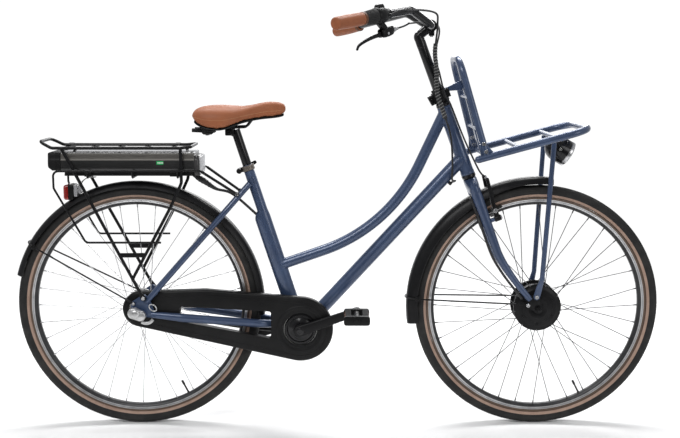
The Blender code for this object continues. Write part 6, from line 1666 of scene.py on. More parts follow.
def dockParts():
    base, front = batteryFacts["base"], batteryFacts["front"] + 0.0003
    length = batteryFacts["length"] - 0.040
    profile = mm("-47 1.2, -45.8 0, 45.8 0, 47 1.2, 47 5.2, 45.2 6.4, 45.2 9.2, 47 10.4, 47 13.8, 45.8 15, "
                 "-45.8 15, -47 13.8, -47 10.4, -45.2 9.2, -45.2 6.4, -47 5.2")
    rail = skin([[Vector((x, y, base + z)) for y, z in profile] for x in (front + 0.004 - length / 2
                                                                          - (length + 0.008) / 2 + 0.004, front)])
    outline = mm("-50 0, 50 0, 53.5 3, 55 10, 55 44, 52.5 51, 44 56, -44 56, -52.5 51, -55 44, -55 10, -53.5 3")
    rings = [[Vector((x, y * wide, base + 0.028 + (z - 0.028) * tall)) for y, z in outline] for x, wide, tall in [
        (front, 0.985, 0.985), (front + 0.0010, 1.0, 1.0), (front + 0.0070, 1.0, 1.02), (front + 0.0100, 0.975, 1.01),
        (front + 0.0125, 0.935, 0.98), (front + 0.0140, 0.88, 0.94), (front + 0.0145, 0.84, 0.91)]]
    clips = [brick(Vector((front - along, side * 0.0505, base + 0.0050)), 20, 6, 13, 1.2)
             for along in (0.060, 0.300) for side in (-1, 1)]
    face = brick(Vector((front + 0.0146, 0, base + 0.0290)), 5.2, 96, 50, 2.2, 3)
    return merge(rail, *clips), skin(rings), face


rail, dockCap, dockFace = dockParts()
finishes["grey"] = coatedFinish("grey_spiral_plastic", (0.17, 0.17, 0.165), 0.40, 0.0, 800, 0.00008)
finishes["silver"] = coatedFinish("dark_grey_plastic", (0.040, 0.039, 0.039), 0.30, 0.10, 800, 0.00008, 0.3)
finishes["pale"] = coatedFinish("pale_grey_plastic", (0.46, 0.46, 0.47), 0.34, 0.0, 800, 0.00008, 0.2)
addPiece("battery_rail", rail, "plastic", "frame", "battery_dock")
addPiece("controller_cap", dockCap, "silver", "frame", crease=40)
addPiece("controller_face", dockFace, "pale", "frame")

tailPlace = Vector((rearHub.x - 0.1785, 0, rearHub.z + 0.333))


def tailLight():
    housing = brick(tailPlace - xAxis * 0.0045, 15, 56, 42, 4, 4)
    rim = brick(tailPlace - xAxis * 0.0100, 4, 58.2, 43.2, 1.6, 3)
    foot = cutBy(brick(tailPlace + at(18, 0, -14), 36, 20, 26, 2, 3),
                 lathe([(-0.1, 0.3653), (0.1, 0.3653)], rearHub, yAxis, 160))
    screws = [screw(tailPlace + Vector((0.012, y, 0.006)), xAxis, 0.0030, 0.002) for y in (-0.018, 0.018)]
    clear = [brick(tailPlace + at(7.5, 0, 4), 10, 50, 34, 3, 3), brick(tailPlace + at(15, 0, 6), 9, 30, 22, 2.6, 3)]
    wires = [tube(smoothPath([tailPlace + Vector((0.014, y, 0.014)), tailPlace + Vector((0.024, y, 0.030)),
                              tailPlace + at(40, y * 800, 40), Vector((tailPlace.x + 0.062, y * 0.6, 0.7265))], 8),
                  0.0011, 10) for y in (-0.008, 0.008)]
    return merge(housing, rim, foot), merge(*screws), merge(*clear), merge(*wires)


def tailLens():
    place = tailPlace - xAxis * 0.0123
    rings = []
    for out, size in [(0, 0.995), (0.0060, 1.0), (0.0090, 0.985), (0.0115, 0.945), (0.0132, 0.89), (0.0139, 0.82)]:
        rings.append([place + Vector((-out, u * size, v * size)) for u, v in roundBar(0.058, 0.043, 0.007, 6)])
    flutes = [rod(*(place + Vector((-0.0136, y, -0.0125 + 0.0042 * k)) for y in (-0.022, 0.022)), 0.0011, 10)
              for k in range(7)]
    return merge(skin(rings)), merge(*flutes)


housing, tailScrews, tailClear, tailWires = tailLight()
addPiece("tail_light_housing", housing, "plastic", "frame", "tail_light_body")
addPiece("tail_light_screws", tailScrews, "zinc", "frame")
finishes["frosted"] = lampGlass("frosted_lamp_base", (0.52, 0.52, 0.54), 0.22, 0.35)
addPiece("tail_light_base", tailClear, "frosted", "frame")
addPiece("tail_light_wires", tailWires, "zinc", "frame", crease=60)
lens, flutes = tailLens()
addPiece("tail_light_glass", lens, "red", "frame", "tail_light_lens")
addPiece("tail_light_flutes", flutes, "red", "frame")
print("rack and battery set")

# Front carrier, its legs and the headlamp

carrierFacts = {"half": 0.130, "tilt": radians(15.2), "depth": 0.315, "tube": 0.0080, "backTube": 0.0095,
                "along": 0.024, "backTilt": radians(15.9), "height": 0.276, "topHalf": 0.085, "rung": 0.166,
                "strutBar": 0.223}


def carrierPlace(along, side=0.0, up=0.0):
    tilt = carrierFacts["tilt"]
    return (onSteer(crownTop + 0.059, 0.030) + Vector((cos(tilt), 0, sin(tilt))) * along
            + Vector((-sin(tilt), 0, cos(tilt))) * up + yAxis * side)


def backrestPlace(up, side=0.0):
    tilt = carrierFacts["backTilt"]
    return carrierPlace(carrierFacts["along"]) + Vector((-sin(tilt), 0, cos(tilt))) * up + yAxis * side


def carrierShape():
    facts = carrierFacts
    wide, thick, back = facts["half"], facts["tube"], facts["backTube"]
    # platform and backrest are two bent tubes, with cross rods welded between them
    platform = roundedPath([carrierPlace(0, -wide), carrierPlace(facts["depth"], -wide),
                            carrierPlace(facts["depth"], wide), carrierPlace(0, wide)], 0.055, 5)
    hoop = roundedPath([backrestPlace(0, -wide), backrestPlace(facts["height"], -facts["topHalf"]),
                        backrestPlace(facts["height"], facts["topHalf"]), backrestPlace(0, wide)], 0.050, 5)
    parts = [tube(platform, back * 1.08, 28, side=zAxis), tube(hoop, back, 28, side=xAxis)]
    for spot in (platform[0], platform[-1]):
        parts.append(bmeshBall(spot, back * 1.075))
    beads = []
    for along in (facts["along"] + 0.004, 0.118, facts["strutBar"]):
        parts.append(rod(carrierPlace(along, -wide), carrierPlace(along, wide), thick * 0.85, 24))
        for side in (-1, 1):
            beads.append(weld(carrierPlace(along, side * 0.09), yAxis * side, thick * 0.85,
                              carrierPlace(0, side * wide), (carrierPlace(1) - carrierPlace(0)).normalized(), thick,
                              0.0012))
    # rungs and middle strip of the backrest, and a gusset in each corner
    for up, half in [(facts["height"] * 0.28, 0.117), (facts["rung"], 0.101)]:
        parts.append(rod(backrestPlace(up, -half), backrestPlace(up, half), 0.0055, 20))
    parts.append(soften(sweep([backrestPlace(u) for u in (0, facts["height"])], roundBar(0.024, 0.004, 0.0012)),
                        0.0003, 1, 60))
    for side in (-1, 1):
        gusset = [(carrierPlace(0.006).x, carrierPlace(0.006).z), (carrierPlace(0.050).x, carrierPlace(0.050).z),
                  (backrestPlace(0.046).x, backrestPlace(0.046).z),
                  (backrestPlace(0.050).x - 0.006, backrestPlace(0.050).z)]
        parts.append(soften(prism(gusset, side * wide - 0.002, side * wide + 0.002), 0.0008, 2))
    # collar round the steerer with its nut, an ear in front and one behind, and two screws
    middle = headTop + 0.029
    ring = pipe(mm("13 14.7, 13 21.6, 14 22.6, 44 22.6, 45 21.6, 45 14.7"), onSteer(headTop), steerUp, 48)
    nut = pipe(mm("45.2 14.3, 45.2 18.6, 46 19.4, 52 19.4, 52.8 18.6, 52.8 14.3"), onSteer(headTop), steerUp, 6)
    ears = [([onSteer(middle, -0.014), onSteer(middle - 0.003, -0.033)], roundBar(0.026, 0.028, 0.005)),
            ([onSteer(middle + 0.004, 0.014), onSteer(middle + 0.004, 0.029)], roundBar(0.022, 0.026, 0.005))]
    ears = [soften(sweep(line, section), 0.0006, 2, 60) for line, section in ears]
    screws = [screw(onSteer(middle - 0.002, -0.0275, side * 0.0142), yAxis * side, 0.0052, 0.0040)
              for side in (-1, 1)]
    collar = merge(ring, *ears, nut, *screws)
    # arm from the collar to the backrest
    hold = backrestPlace(facts["height"] * 0.73)
    rings = []
    for k in range(11):
        t = k / 10
        near, far = onSteer(collarTop + 0.010, 0.014), hold
        centre = mix(near, far, t)
        tall = mix(0.010, 0.032, t**1.4)
        rings.append([centre + yAxis * u + zAxis * v for u, v in roundBar(0.010, tall, 0.0018, 3)])
    return merge(*parts, *beads, skin(rings)), collar


def carrierFasteners():
    facts = carrierFacts
    bolts = []
    for side in (-1, 1):
        for spot in (backrestPlace(0.016, side * facts["half"]), backrestPlace(0.038,
                                                                               side * (facts["half"] - 0.0050))):
            for face in (-1, 1):
                bolts.append(screw(spot + yAxis * face * facts["backTube"] * 0.96, yAxis * face, 0.0056, 0.0040))
    for up in (0.020, facts["height"] * 0.28, facts["rung"], facts["height"] * 0.73):
        way = (backrestPlace(0) - backrestPlace(1)).cross(yAxis).normalized()
        way = way if way.x > 0 else -way
        bolts.append(screw(backrestPlace(up) + way * 0.0020, way, 0.0048, 0.0028))
    return merge(*bolts)


def legShape(side):
    bolt = strutBolt(side)
    y = side * (0.0553 + 0.0042)
    top = carrierPlace(carrierFacts["strutBar"], side * 0.075, -0.0071)
    knee = Vector((bolt.x + 0.013, y + side * 0.002, bolt.z + 0.050))
    flat = Vector((bolt.x + 0.006, side * 0.0575, bolt.z + 0.024))
    path = roundedPath([Vector((bolt.x, side * 0.0573, bolt.z)), flat, knee, top - zAxis * 0.0005], 0.030, 4)
    rings = []
    for k, spot in enumerate(path):
        way = heading(path, k)
        across = (yAxis - way * yAxis.dot(way)).normalized()
        ahead = way.cross(across)
        share = min(1, max(0, (spot.z - bolt.z - 0.018) / 0.030))
        share = share * share * (3 - 2 * share)
        rings.append([spot + across * u * mix(0.0019, 0.0070, share) + ahead * v * mix(0.0092, 0.0070, share)
                      for u, v in oval(1, 1, 24)])
    eye = pipe(mm("55.3 3, 55.3 8.8, 59.2 8.8, 59.2 3"), Vector((bolt.x, 0, bolt.z)), yAxis * side, 32)
    return merge(skin(rings), eye)


carrierTubes, carrierCollar = carrierShape()
addPiece("carrier_tubes", carrierTubes, "blue", "steering", "front_carrier", crease=42)
addPiece("carrier_collar", carrierCollar, "satin", "steering")
addPiece("carrier_bolts", carrierFasteners(), "steel", "steering")
for side, tag in ((-1, "right"), (1, "left")):
    addPiece("carrier_leg_" + tag, legShape(side), "blue", "steering", "carrier_strut_" + tag, crease=45)
    addPiece("leg_bolt_" + tag, screw(Vector((strutBolt(side).x, side * 0.0592, strutBolt(side).z)), yAxis * side,
                                      0.0058, 0.0040), "steel", "steering")

lampCentre = carrierPlace(carrierFacts["strutBar"]) + at(26.5, 0, -37.8)
lampAim = Vector((0.862, 0, -0.507)).normalized()
lampRadius = 0.0365


def lampParts():
    r = lampRadius
    outer = [(-r * 0.990, r * 0.06), (-r * 0.975, r * 0.19)]
    outer += [(-r * sin(t), r * cos(t)) for t in spread(12, radians(76), 0)] + [(0.010, r), (0.0105, r + 0.0004),
                                                                                (0.026, r + 0.0004)]
    inner = [(0.034, r - 0.0022), (0.004, r - 0.0024)] + [(-r * 0.86 * sin(t), (r - 0.0024) * cos(t))
                                                          for t in spread(10, 0.05, radians(80))]
    shell = lathe(outer + [(0.0345, r + 0.0004)] + inner, lampCentre, lampAim, 64)
    bezel = pipe([(0.0262, r - 0.0020), (0.0262, r + 0.0008), (0.0285, r + 0.0012), (0.0330, r + 0.0012),
                  (0.0358, r + 0.0004), (0.0362, r - 0.0014), (0.0345, r - 0.0020)], lampCentre, lampAim, 72)
    mirror = lathe([(0.0300, r - 0.0030)] + [(-0.016 + 0.046 * (k / 9) ** 2, (r - 0.0030) * k / 9 + 0.0012)
                                             for k in range(8, 0, -1)] + [(-0.0170,
                                                                           0.0012)]
                   + [(-0.0182 + 0.046 * (k / 9) ** 2, (r - 0.0030) * k / 9 + 0.0012)
                      for k in range(1, 9)] + [(0.0290, r - 0.0024)], lampCentre, lampAim, 56)
    bulb = lathe(mm("-16 5, -6 5, -4 4.4, 0 3.6, 2.2 1.4"), lampCentre, lampAim, 24)
    glass = mm("33 33, 34.5 33.6, 36.8 33.5")
    glass += [(0.0368 + 0.0050 * cos(t), 0.0330 * sin(t)) for t in spread(10, radians(80), radians(6))]
    lens = lathe(glass + [(0.0400, 0.0015), (0.0345, 0.0300)], lampCentre, lampAim, 64)
    return shell, bezel, mirror, bulb, lens


def lampBracket():
    tube_ = carrierPlace(carrierFacts["strutBar"])
    hold = tube_ + (lampCentre - tube_).normalized() * (0.0068 + 0.0017)
    y = lampRadius + 0.0032
    corners = [lampCentre - yAxis * y, hold - yAxis * y, hold + yAxis * y, lampCentre + yAxis * y]
    strap = soften(sweep(roundedPath(corners, 0.004, 12), roundBar(0.010, 0.0022, 0.0006, 2),
                         side=yAxis.cross(zAxis)), 0.0003, 1, 60)
    ends = [pipe(mm("-1.1 3, -1.1 7.2, 1.1 7.2, 1.1 3"), lampCentre + yAxis * side * y, yAxis * side, 28)
            for side in (-1, 1)]
    knobs = [screw(lampCentre + yAxis * side * (y + 0.0011), yAxis * side, 0.0048, 0.0034) for side in (-1, 1)]
    return merge(strap, *ends), merge(*knobs)


finishes["mirror"] = metalFinish("lamp_mirror", (0.86, 0.87, 0.88), 0.10, (120, 120, 120), 0.04)
shell, bezel, mirror, bulb, lens = lampParts()
addPiece("lamp_bowl", shell, "gloss", "headlamp", "headlamp_shell", slot="black_plastic", crease=35)
addPiece("lamp_bezel", bezel, "steel", "headlamp", crease=40)
addPiece("lamp_reflector", mirror, "mirror", "headlamp", crease=60)
addPiece("lamp_led", bulb, "silver", "headlamp", slot="clear_lens")
addPiece("lamp_glass", lens, "clear", "headlamp", "headlamp_lens", crease=50)
strap, knobs = lampBracket()
addPiece("lamp_bracket", strap, "satin", "steering", "headlamp_bracket")
addPiece("lamp_knobs", knobs, "zinc", "steering")
print("carrier and lamp set")

# Stem, handlebar and grips


barFacts = {"radius": 0.0111, "half": 0.315, "back": 0.263, "rise": 0.040, "drop": 0.0447, "bend": 0.040}


def barCorners(side):
    back, rise = barFacts["back"], barFacts["rise"]
    return [barCentre, barCentre + at(0, side * 45, 0), barCentre + Vector((-back * 0.227, side * 0.095, rise)),
            barCentre + Vector((-back, side * barFacts["half"], rise - barFacts["drop"]))]


def gripFrame(side):
    corners = barCorners(side)
    inward = (corners[2] - corners[3]).normalized()
    return corners[3], inward, (-zAxis + inward * inward.z).normalized()


def onBar(side, inwardBy, downBy=0.0, acrossBy=0.0):
    end, inward, down = gripFrame(side)
    return end + inward * inwardBy + down * downBy + inward.cross(down) * acrossBy


def barShape():
    right, left = (roundedPath(barCorners(side), barFacts["bend"], 4) for side in (-1, 1))
    return tube(right[:0:-1] + left, barFacts["radius"], 32, side=zAxis)


def stemParts():
    quill = lathe([(steererTop - 0.100, 0.0110), (steererTop - 0.099, 0.0124), (steererTop + 0.0100, 0.0124),
                   (steererTop + 0.0104, 0.0136), (steererTop + 0.0112, 0.0140), (0.8360, 0.0140), (0.8365, 0.0120)],
                  steerFoot, steerUp, 48)
    collar = lathe(mm("812 13.9, 812.5 14.2, 814 14.3, 829 14.3, 832 13.8"), steerFoot, steerUp, 48)
    place = onSteer(0.841)
    bend = roundedPath([onSteer(0.8285), onSteer(0.8445, -0.001),
                        barCentre - (barCentre - place).normalized() * 0.004], 0.006, 5)
    wide = [mix(0.0139, 0.0134, k / (len(bend) - 1)) for k in range(len(bend))]
    arm = sweep(bend, oval(1, 1, 36), scales=wide)
    clamp = pipe(mm("-20 11.4, -20 16.6, -19 17.5, 19 17.5, 20 16.6, 20 11.4"), barCentre, yAxis, 56)
    lug = brick(barCentre + at(4, 0, -20), 16, 12, 14, 2, 3)
    pins = [screw(barCentre + at(4, 0, -27), -zAxis, 0.0044, 0.003)]
    pins.append(lathe(mm("-1 5, 2 5, 2.6 4.2, 2.6 3, 0.8 2.6"), onSteer(0.8560, -0.0015), steerUp, 24))
    return merge(quill, collar, arm, clamp, lug), merge(*pins)


def gripShape(side):
    # leather sleeve with a stitched seam below, darker end and inner rings
    end, inward, down = gripFrame(side)
    rings = []
    stations = mm("-4 9, -3.8 12.5, -3 14.6, -1 15.8, 2 16.3")
    stations += [(u, 0.0165 + 0.0010 * sin(pi * (u - 0.004) / 0.098)) for u in spread(20, 0.004, 0.102)]
    stations += mm("104.5 16.3, 106 15.8, 106.8 15")
    for along, radius in stations:
        ring = []
        for k in range(48):
            t = 2 * pi * k / 48
            palm = 1.0 + 0.035 * max(0, cos(t - pi * 0.15)) ** 3 * sin(pi * min(1, max(0, along / 0.106)))
            ridge = 1.0 - 0.010 * (0.5 + 0.5 * cos(t * 10)) * (1 if 0.012 < along < 0.098 else 0.3)
            reach = min(radius * palm * ridge, 0.0178)
            ring.append(end + inward * along + down * reach * cos(t) + inward.cross(down) * reach * sin(t))
        rings.append(ring)
    stitches = []
    for k in range(22):
        along = 0.010 + 0.0040 * k
        for tilt in (-1, 1):
            a = onBar(side, along, 0.0166, 0.0020 * tilt)
            b = onBar(side, along + 0.0020, 0.0167, 0.0006 * tilt)
            stitches.append(tube([a, mix(a, b, 0.5) + down * 0.0004, b], 0.00032, 6, side=inward))
    bands = [pipe(mm("99 15, 99 17.1, 99.6 17.4, 106.6 17.4, 107.2 17, 107.2 15"), end, inward, 48),
             lathe(mm("-3.4 8, -4 10, -4.6 9.8, -4.8 6, -4.4 1"), end + inward * 0.0008, inward, 40)]
    return skin(rings), merge(*stitches), merge(*bands)


stemBody, stemPins = stemParts()
addPiece("stem_body", stemBody, "gloss", "steering", "stem", crease=38)
addPiece("stem_pins", stemPins, "steel", "steering")
addPiece("bar_tube", barShape(), "gloss", "steering", "handlebar")
lockNut = pipe(mm("0.3 12.7, 0.3 17.5, 1.3 18.5, 7.5 18.5, 8.8 17.6, 9 12.7"), onSteer(steererTop), steerUp, 8)
addPiece("headset_locknut", soften(lockNut, 0.0004, 2), "gloss", "steering", "steerer_nut")
finishes["thread"] = coatedFinish("pale_thread", (0.50, 0.30, 0.16), 0.7, 0.0, 2000, 0.00010)
finishes["darkGrip"] = leatherFinish("dark_brown_band", (0.150, 0.060, 0.028), (0.070, 0.028, 0.014), 500)
for side, tag in ((-1, "right"), (1, "left")):
    sleeve, stitches, bands = gripShape(side)
    addPiece("grip_sleeve_" + tag, sleeve, "grip", "steering", "grip_" + tag, crease=60)
    addPiece("grip_stitches_" + tag, stitches, "thread", "steering")
    addPiece("grip_bands_" + tag, bands, "darkGrip", "steering")

# Twist shifter and brake lever

shifterFacts = {"start": 0.108 + 0.042 + 0.0009, "length": 0.038, "ribs": 30, "grip": 0.108}
shifterEnd = shifterFacts["start"] + shifterFacts["length"]
brakeClamp = shifterEnd + 0.010
leverAlong, leverBelow = brakeClamp - 0.014, 0.048


def sleeveShape():
    end, inward, down = gripFrame(-1)
    rings, count = [], shifterFacts["ribs"] * 4
    profile = [(0.0004, 0.0118, 0), (0.0004, 0.0160, 0), (0.0012, 0.0168, 0), (0.0040, 0.0170, 1),
               (0.0110, 0.0180, 1), (0.0210, 0.0188, 1), (0.0340, 0.0198, 1), (0.0380, 0.0200, 0),
               (0.0412, 0.0204, 0), (0.0422, 0.0200, 0), (0.0422, 0.0118, 0)]
    for along, radius, ribbed in [(shifterFacts["grip"] + a, r, f) for a, r, f in profile]:
        ring = []
        for k in range(count):
            t = 2 * pi * k / count
            reach = radius - (0.0011 if ribbed and k % 4 in (2, 3) else 0)
            ring.append(end + inward * along + down * reach * cos(t) + inward.cross(down) * reach * sin(t))
        rings.append(ring)
    return skin(rings, loop=True)


def shifterHousing():
    end, inward, _ = gripFrame(-1)
    start = shifterFacts["start"]
    drum = pipe([(start, 0.0115), (start, 0.0208), (start + 0.0008, 0.0215), (start + 0.010, 0.0228),
                 (start + 0.021, 0.0235), (start + 0.0225, 0.0232), (start + 0.0232, 0.0222),
                 (start + 0.0330, 0.0204), (start + 0.0365, 0.0197), (shifterEnd, 0.0186), (shifterEnd, 0.0115)], end,
                inward, 64)
    rings = []
    for rise, size in mm("12 26, 21 25.8, 25 24, 27.5 21.2, 29 18, 29.5 15"):
        rings.append([onBar(-1, start + 0.021 + u * size, -rise, v * size) for u, v in roundBar(1, 0.8, 0.22, 6)])
    barrel = lathe(mm("0 4.5, 1 5, 9 5, 9.6 4, 15 3.8, 15.2 2.8"), onBar(-1, shifterEnd - 0.006, 0.0015, -0.0170),
                   inward, 20)
    glassRings = [[onBar(-1, start + 0.021 + u * size, -rise, v * size) for u, v in roundBar(1, 0.62, 0.2, 6)]
                  for rise, size in mm("28.6 14, 29.7 13.8, 30 12")]
    marks = [brick(onBar(-1, start + 0.0170 + 0.0026 * k, -0.0299, 0.0), 0.9, 2.6, 0.7, 0.1, 1) for k in range(4)]
    return merge(drum, skin(rings), barrel), skin(glassRings), merge(*marks)


def leverBracket():
    end, inward, down = gripFrame(-1)
    ring = pipe(mm("-6 11.4, -6 14.3, -5.2 15, 5.2 15, 6 14.3, 6 11.4"), end + inward * brakeClamp, inward, 48)
    neck = soften(sweep([onBar(-1, brakeClamp - 0.031, 0.018), onBar(-1, brakeClamp - 0.008, 0.043)],
                        roundBar(0.017, 0.018, 0.005), side=inward), 0.0004, 1, 60)
    slotCut = sweep([onBar(-1, leverAlong - 0.040, leverBelow + 0.004),
                     onBar(-1, leverAlong + 0.012, leverBelow + 0.004)], mm("-17 -6.3, 17 -6.3, 17 6.3, -17 6.3"),
                    side=down)
    knots = [(0.032, 0.0468, 0.72), (0.029, 0.0466, 0.92), (0.020, 0.0460, 1.0), (0.004, 0.0446, 1.0),
             (-0.008, 0.0424, 0.97), (-0.0125, 0.0414, 0.84), (-0.014, 0.0410, 0.68)]
    rings = []
    for back, below, size in knots:
        centre = onBar(-1, brakeClamp - back, below)
        rings.append([centre + down * u * size + inward.cross(down) * v * size
                      for u, v in roundBar(0.024, 0.026, 0.006, 5)])
    body = cutBy(skin(rings), slotCut)
    aim = onBar(-1, brakeClamp + 0.034, 0.0415) - onBar(-1, brakeClamp + 0.008, 0.0432)
    adjuster = lathe(mm("-6 6.2, 4 6.2, 4.8 4.8, 7 4.8, 7.6 6.4, 16.5 6.4, 17 4.4, 28.5 4, 29.5 2.8"),
                     onBar(-1, brakeClamp + 0.0115, 0.0432), aim.normalized(), 20)
    pin = lathe(mm("-13.8 2.6, -13.6 3.6, 13.6 3.6, 13.8 2.6"), onBar(-1, leverAlong, leverBelow), inward.cross(down),
                20)
    return merge(ring, neck, body), adjuster, pin


def leverBlade():
    down = gripFrame(-1)[2]
    knots = mm("4 -1, -20 1, -44 3, -76 8.5, -105 17, -114 26")
    path = smoothPath([onBar(-1, leverAlong + a, leverBelow + b) for a, b in knots], 8)
    widths = [mix(1.12, 0.50, k / (len(path) - 1)) for k in range(len(path))]
    widths[0], widths[-1] = 0.9, 0.40
    widths[-2] = 0.56
    tip = bmeshBall(path[-1], 0.0036)
    return merge(sweep(path, roundBar(0.0115, 0.0088, 0.0032, 4), side=down, scales=widths), tip)


housing, gearGlass, gearMarks = shifterHousing()
addPiece("shifter_drum", housing, "plastic", "steering", "shifter_housing", crease=38)
addPiece("shifter_window", gearGlass, "clear", "steering")
addPiece("shifter_marks", gearMarks, "white", "steering", slot="clear_lens")
addPiece("shifter_grip", sleeveShape(), "rubber", "shifter", "shifter_sleeve", crease=30)
bracketBody, adjuster, leverPin = leverBracket()
addPiece("lever_bracket", bracketBody, "satin", "steering", "brake_bracket", crease=38)
addPiece("cable_adjuster", adjuster, "alloy", "steering", slot="steel")
addPiece("lever_pin", leverPin, "steel", "steering")
addPiece("lever_blade", leverBlade(), "satin", "brake_lever", "brake_lever", crease=50)
print("handlebar dressed")

# Rim brake


def brakeArm(side):
    # arm, pad holder, bolts and spring leg
    facts, pivot, clear = brakeFacts, brakePivot(side), 0.0415
    forward, padUp = facts["forward"], brakeUp + facts["padUp"]
    low = onSteer(padUp, forward, side * (clear + 0.001))
    high = onSteer(brakeUp + facts["armUp"], forward + facts["lean"], side * clear)
    path = roundedPath([pivot, low, mix(low, high, 0.5) + yAxis * side * 0.0004, high], 0.02, 8)
    scales = [mix(1.22, 0.80, k / (len(path) - 1)) for k in range(len(path))]
    arm = sweep(path, roundBar(0.0095, 0.0115, 0.0028, 4), scales=scales)
    tip = bmeshBall(high, 0.0048, (1, 0.85, 1))
    sleeve = pipe(mm("-10 5.5, -10 7.8, -9.2 8.5, 8.2 8.5, 9 7.8, 9 5.5"), pivot, steerForward, 32)
    middle = onSteer(padUp, forward, 0)
    outward = (middle - frontHub).normalized()
    along = yAxis.cross(outward).normalized()
    face = 0.013 + 0.0020
    shoe = soften(skin([[middle + along * u + outward * v + yAxis * side * y
                         for u, v in roundBar(long_, tall, 0.0030, 4)]
                        for y, long_, tall in [(face, 0.0495, 0.0085), (face + 0.0012, 0.050, 0.009),
                                               (face + 0.0060, 0.0480, 0.0086), (face + 0.0062, 0.0440, 0.0066),
                                               (face + 0.009, 0.0430, 0.0062)]]), 0.0004, 1, 50)
    stud = lathe([(face + 0.006, 0.0034), (clear + 0.0045, 0.0034), (clear + 0.0046, 0.0072),
                  (clear + 0.0060, 0.0072), (clear + 0.0062, 0.0058), (clear + 0.0100, 0.0056),
                  (clear + 0.0102, 0.0030)], middle, yAxis * side, 24)
    bolt = screw(pivot + steerForward * 0.0090, steerForward, 0.0062, 0.0030)
    leg = tube([pivot + steerForward * -0.0105 + steerUp * 0.009, mix(low, high, 0.20) - steerForward * 0.0068,
                mix(low, high, 0.46) - steerForward * 0.0052], 0.0007, 8)
    return merge(arm, tip, sleeve), shoe, merge(stud, bolt), leg


for side, tag in ((-1, "right"), (1, "left")):
    arm, shoe, metalBits, spring = brakeArm(side)
    addPiece("brake_lever_arm_" + tag, arm, "satin", tag + "_brake_arm", "brake_arm_" + tag, crease=42)
    addPiece("brake_shoe_" + tag, shoe, "rubber", tag + "_brake_arm")
    addPiece("brake_bolts_" + tag, metalBits, "steel", tag + "_brake_arm")
    addPiece("brake_spring_" + tag, spring, "steel", tag + "_brake_arm", crease=60)


def noodleShape():
    # bent guide tube from the cable into the right arm, and its boot
    high = brakeUp + brakeFacts["armUp"]
    knots = [onSteer(high + 0.013, 0.041, -0.0200), onSteer(high + 0.009, 0.043, -0.0270),
             onSteer(high + 0.002, 0.043, -0.0310), onSteer(high - 0.004, 0.043, -0.0270),
             onSteer(high - 0.004, 0.043, -0.0180)]
    noodle = tube(smoothPath(knots, 6), 0.0021, 14, side=steerForward)
    boot = lathe(mm("0 3, 3 3.6, 6 3, 9 3.6, 12 3, 15 3.4, 18 2.6, 22 1.8"), onSteer(high - 0.004, 0.043, -0.0185),
                 yAxis, 20)
    return noodle, boot


noodle, boot = noodleShape()
noodlePiece = addPiece("brake_noodle", noodle, "steel", None)
tuple(onSteer(brakeUp + 0.1265, 0.0412, -0.021))
tuple(onSteer(brakeUp + 0.1130, 0.0430, -0.029))
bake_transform(noodlePiece)
addPiece("brake_boot", boot, "rubber", "right_brake_arm")
for tag, end in (("right", -0.0180), ("left", 0.0365)):
    # the inner wire in two straight halves that meet near its middle and run out towards the arms
    spots = [onSteer(brakeUp + 0.110, 0.043, mix(0.009, end, k / 6)) for k in range(7)]
    half = addPiece("brake_wire_" + tag, tube(spots, 0.0008, 8, side=steerForward), "steel", None)
    tag + "_brake_arm"
    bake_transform(half)

# Cables

cableFacts = {"brake": 0.0025, "loom": 0.0028, "bundle": 0.0060, "wrap": 0.0012, "motor": 0.0037, "lead": 0.0065}


def brakeCablePath():
    top = onSteer(brakeUp + 0.118, brakeFacts["forward"] + brakeFacts["lean"], -0.020)
    return [onBar(-1, brakeClamp + 0.0332, 0.0414), onBar(-1, brakeClamp + 0.050, 0.0404),
            onBar(-1, brakeClamp + 0.070, 0.0385), onBar(-1, brakeClamp + 0.092, 0.0340), barCentre + at(-60, -14, 7),
            barCentre + at(-18, 30, 12), barCentre + at(18, 28, 8), barCentre + at(26, 0, -16),
            onSteer(0.779, 0.024, -0.022), onSteer(0.729, 0.018, -0.029), onSteer(collarTop, 0.0120, -0.0300),
            onSteer(headTop, 0.0180, -0.0240), onSteer(headTop - 0.100, 0.0215, -0.0190),
            onSteer(headBase + 0.020, 0.0290, -0.0190), onSteer(crownTop + 0.004, 0.034, -0.022), top]


def loomPath():
    along = (crank + xAxis * 0.0145 - downTop).normalized()
    below = along.cross(yAxis).normalized()
    below = -below if below.z > 0 else below
    port = downTop + along * 0.075 + below * (0.0195 + 0.0040)
    return [onBar(-1, shifterEnd + 0.0016, 0.002, -0.0200), onBar(-1, shifterEnd + 0.050, -0.006, -0.028),
            barCentre + at(6, -48, 36), barCentre + at(17, -40, 4), onSteer(0.789, 0.026, -0.033),
            onSteer(0.739, 0.013, -0.032), onSteer(collarTop + 0.012, -0.006, -0.0315),
            onSteer(headTop - 0.004, -0.009, -0.033), onSteer(headTop - 0.080, -0.012, -0.034),
            onSteer(headBase + 0.050, -0.033, -0.034), onSteer(headBase + 0.006, -0.049, -0.026),
            port - along * 0.014 + below * 0.007, port], port, along


def wrapRound(path, radius, start, stop, pitch, thick):
    # spiral binding over a stretch of cable
    lengths = runLengths(path)
    turns = (stop - start) / pitch
    ring, j = [], 0
    count = int(turns * 14)
    across = None
    for k in range(count + 1):
        want = start + (stop - start) * k / count
        while j < len(path) - 2 and lengths[j + 1] < want:
            j += 1
        spot = mix(path[j], path[j + 1], (want - lengths[j]) / (lengths[j + 1] - lengths[j]))
        way = (path[j + 1] - path[j]).normalized()
        across = (across or yAxis)
        across = (across - way * across.dot(way)).normalized()
        t = 2 * pi * turns * k / count
        ring.append(spot + (across * cos(t) + way.cross(across) * sin(t)) * radius)
    return tube(ring, thick, 6, side=zAxis)


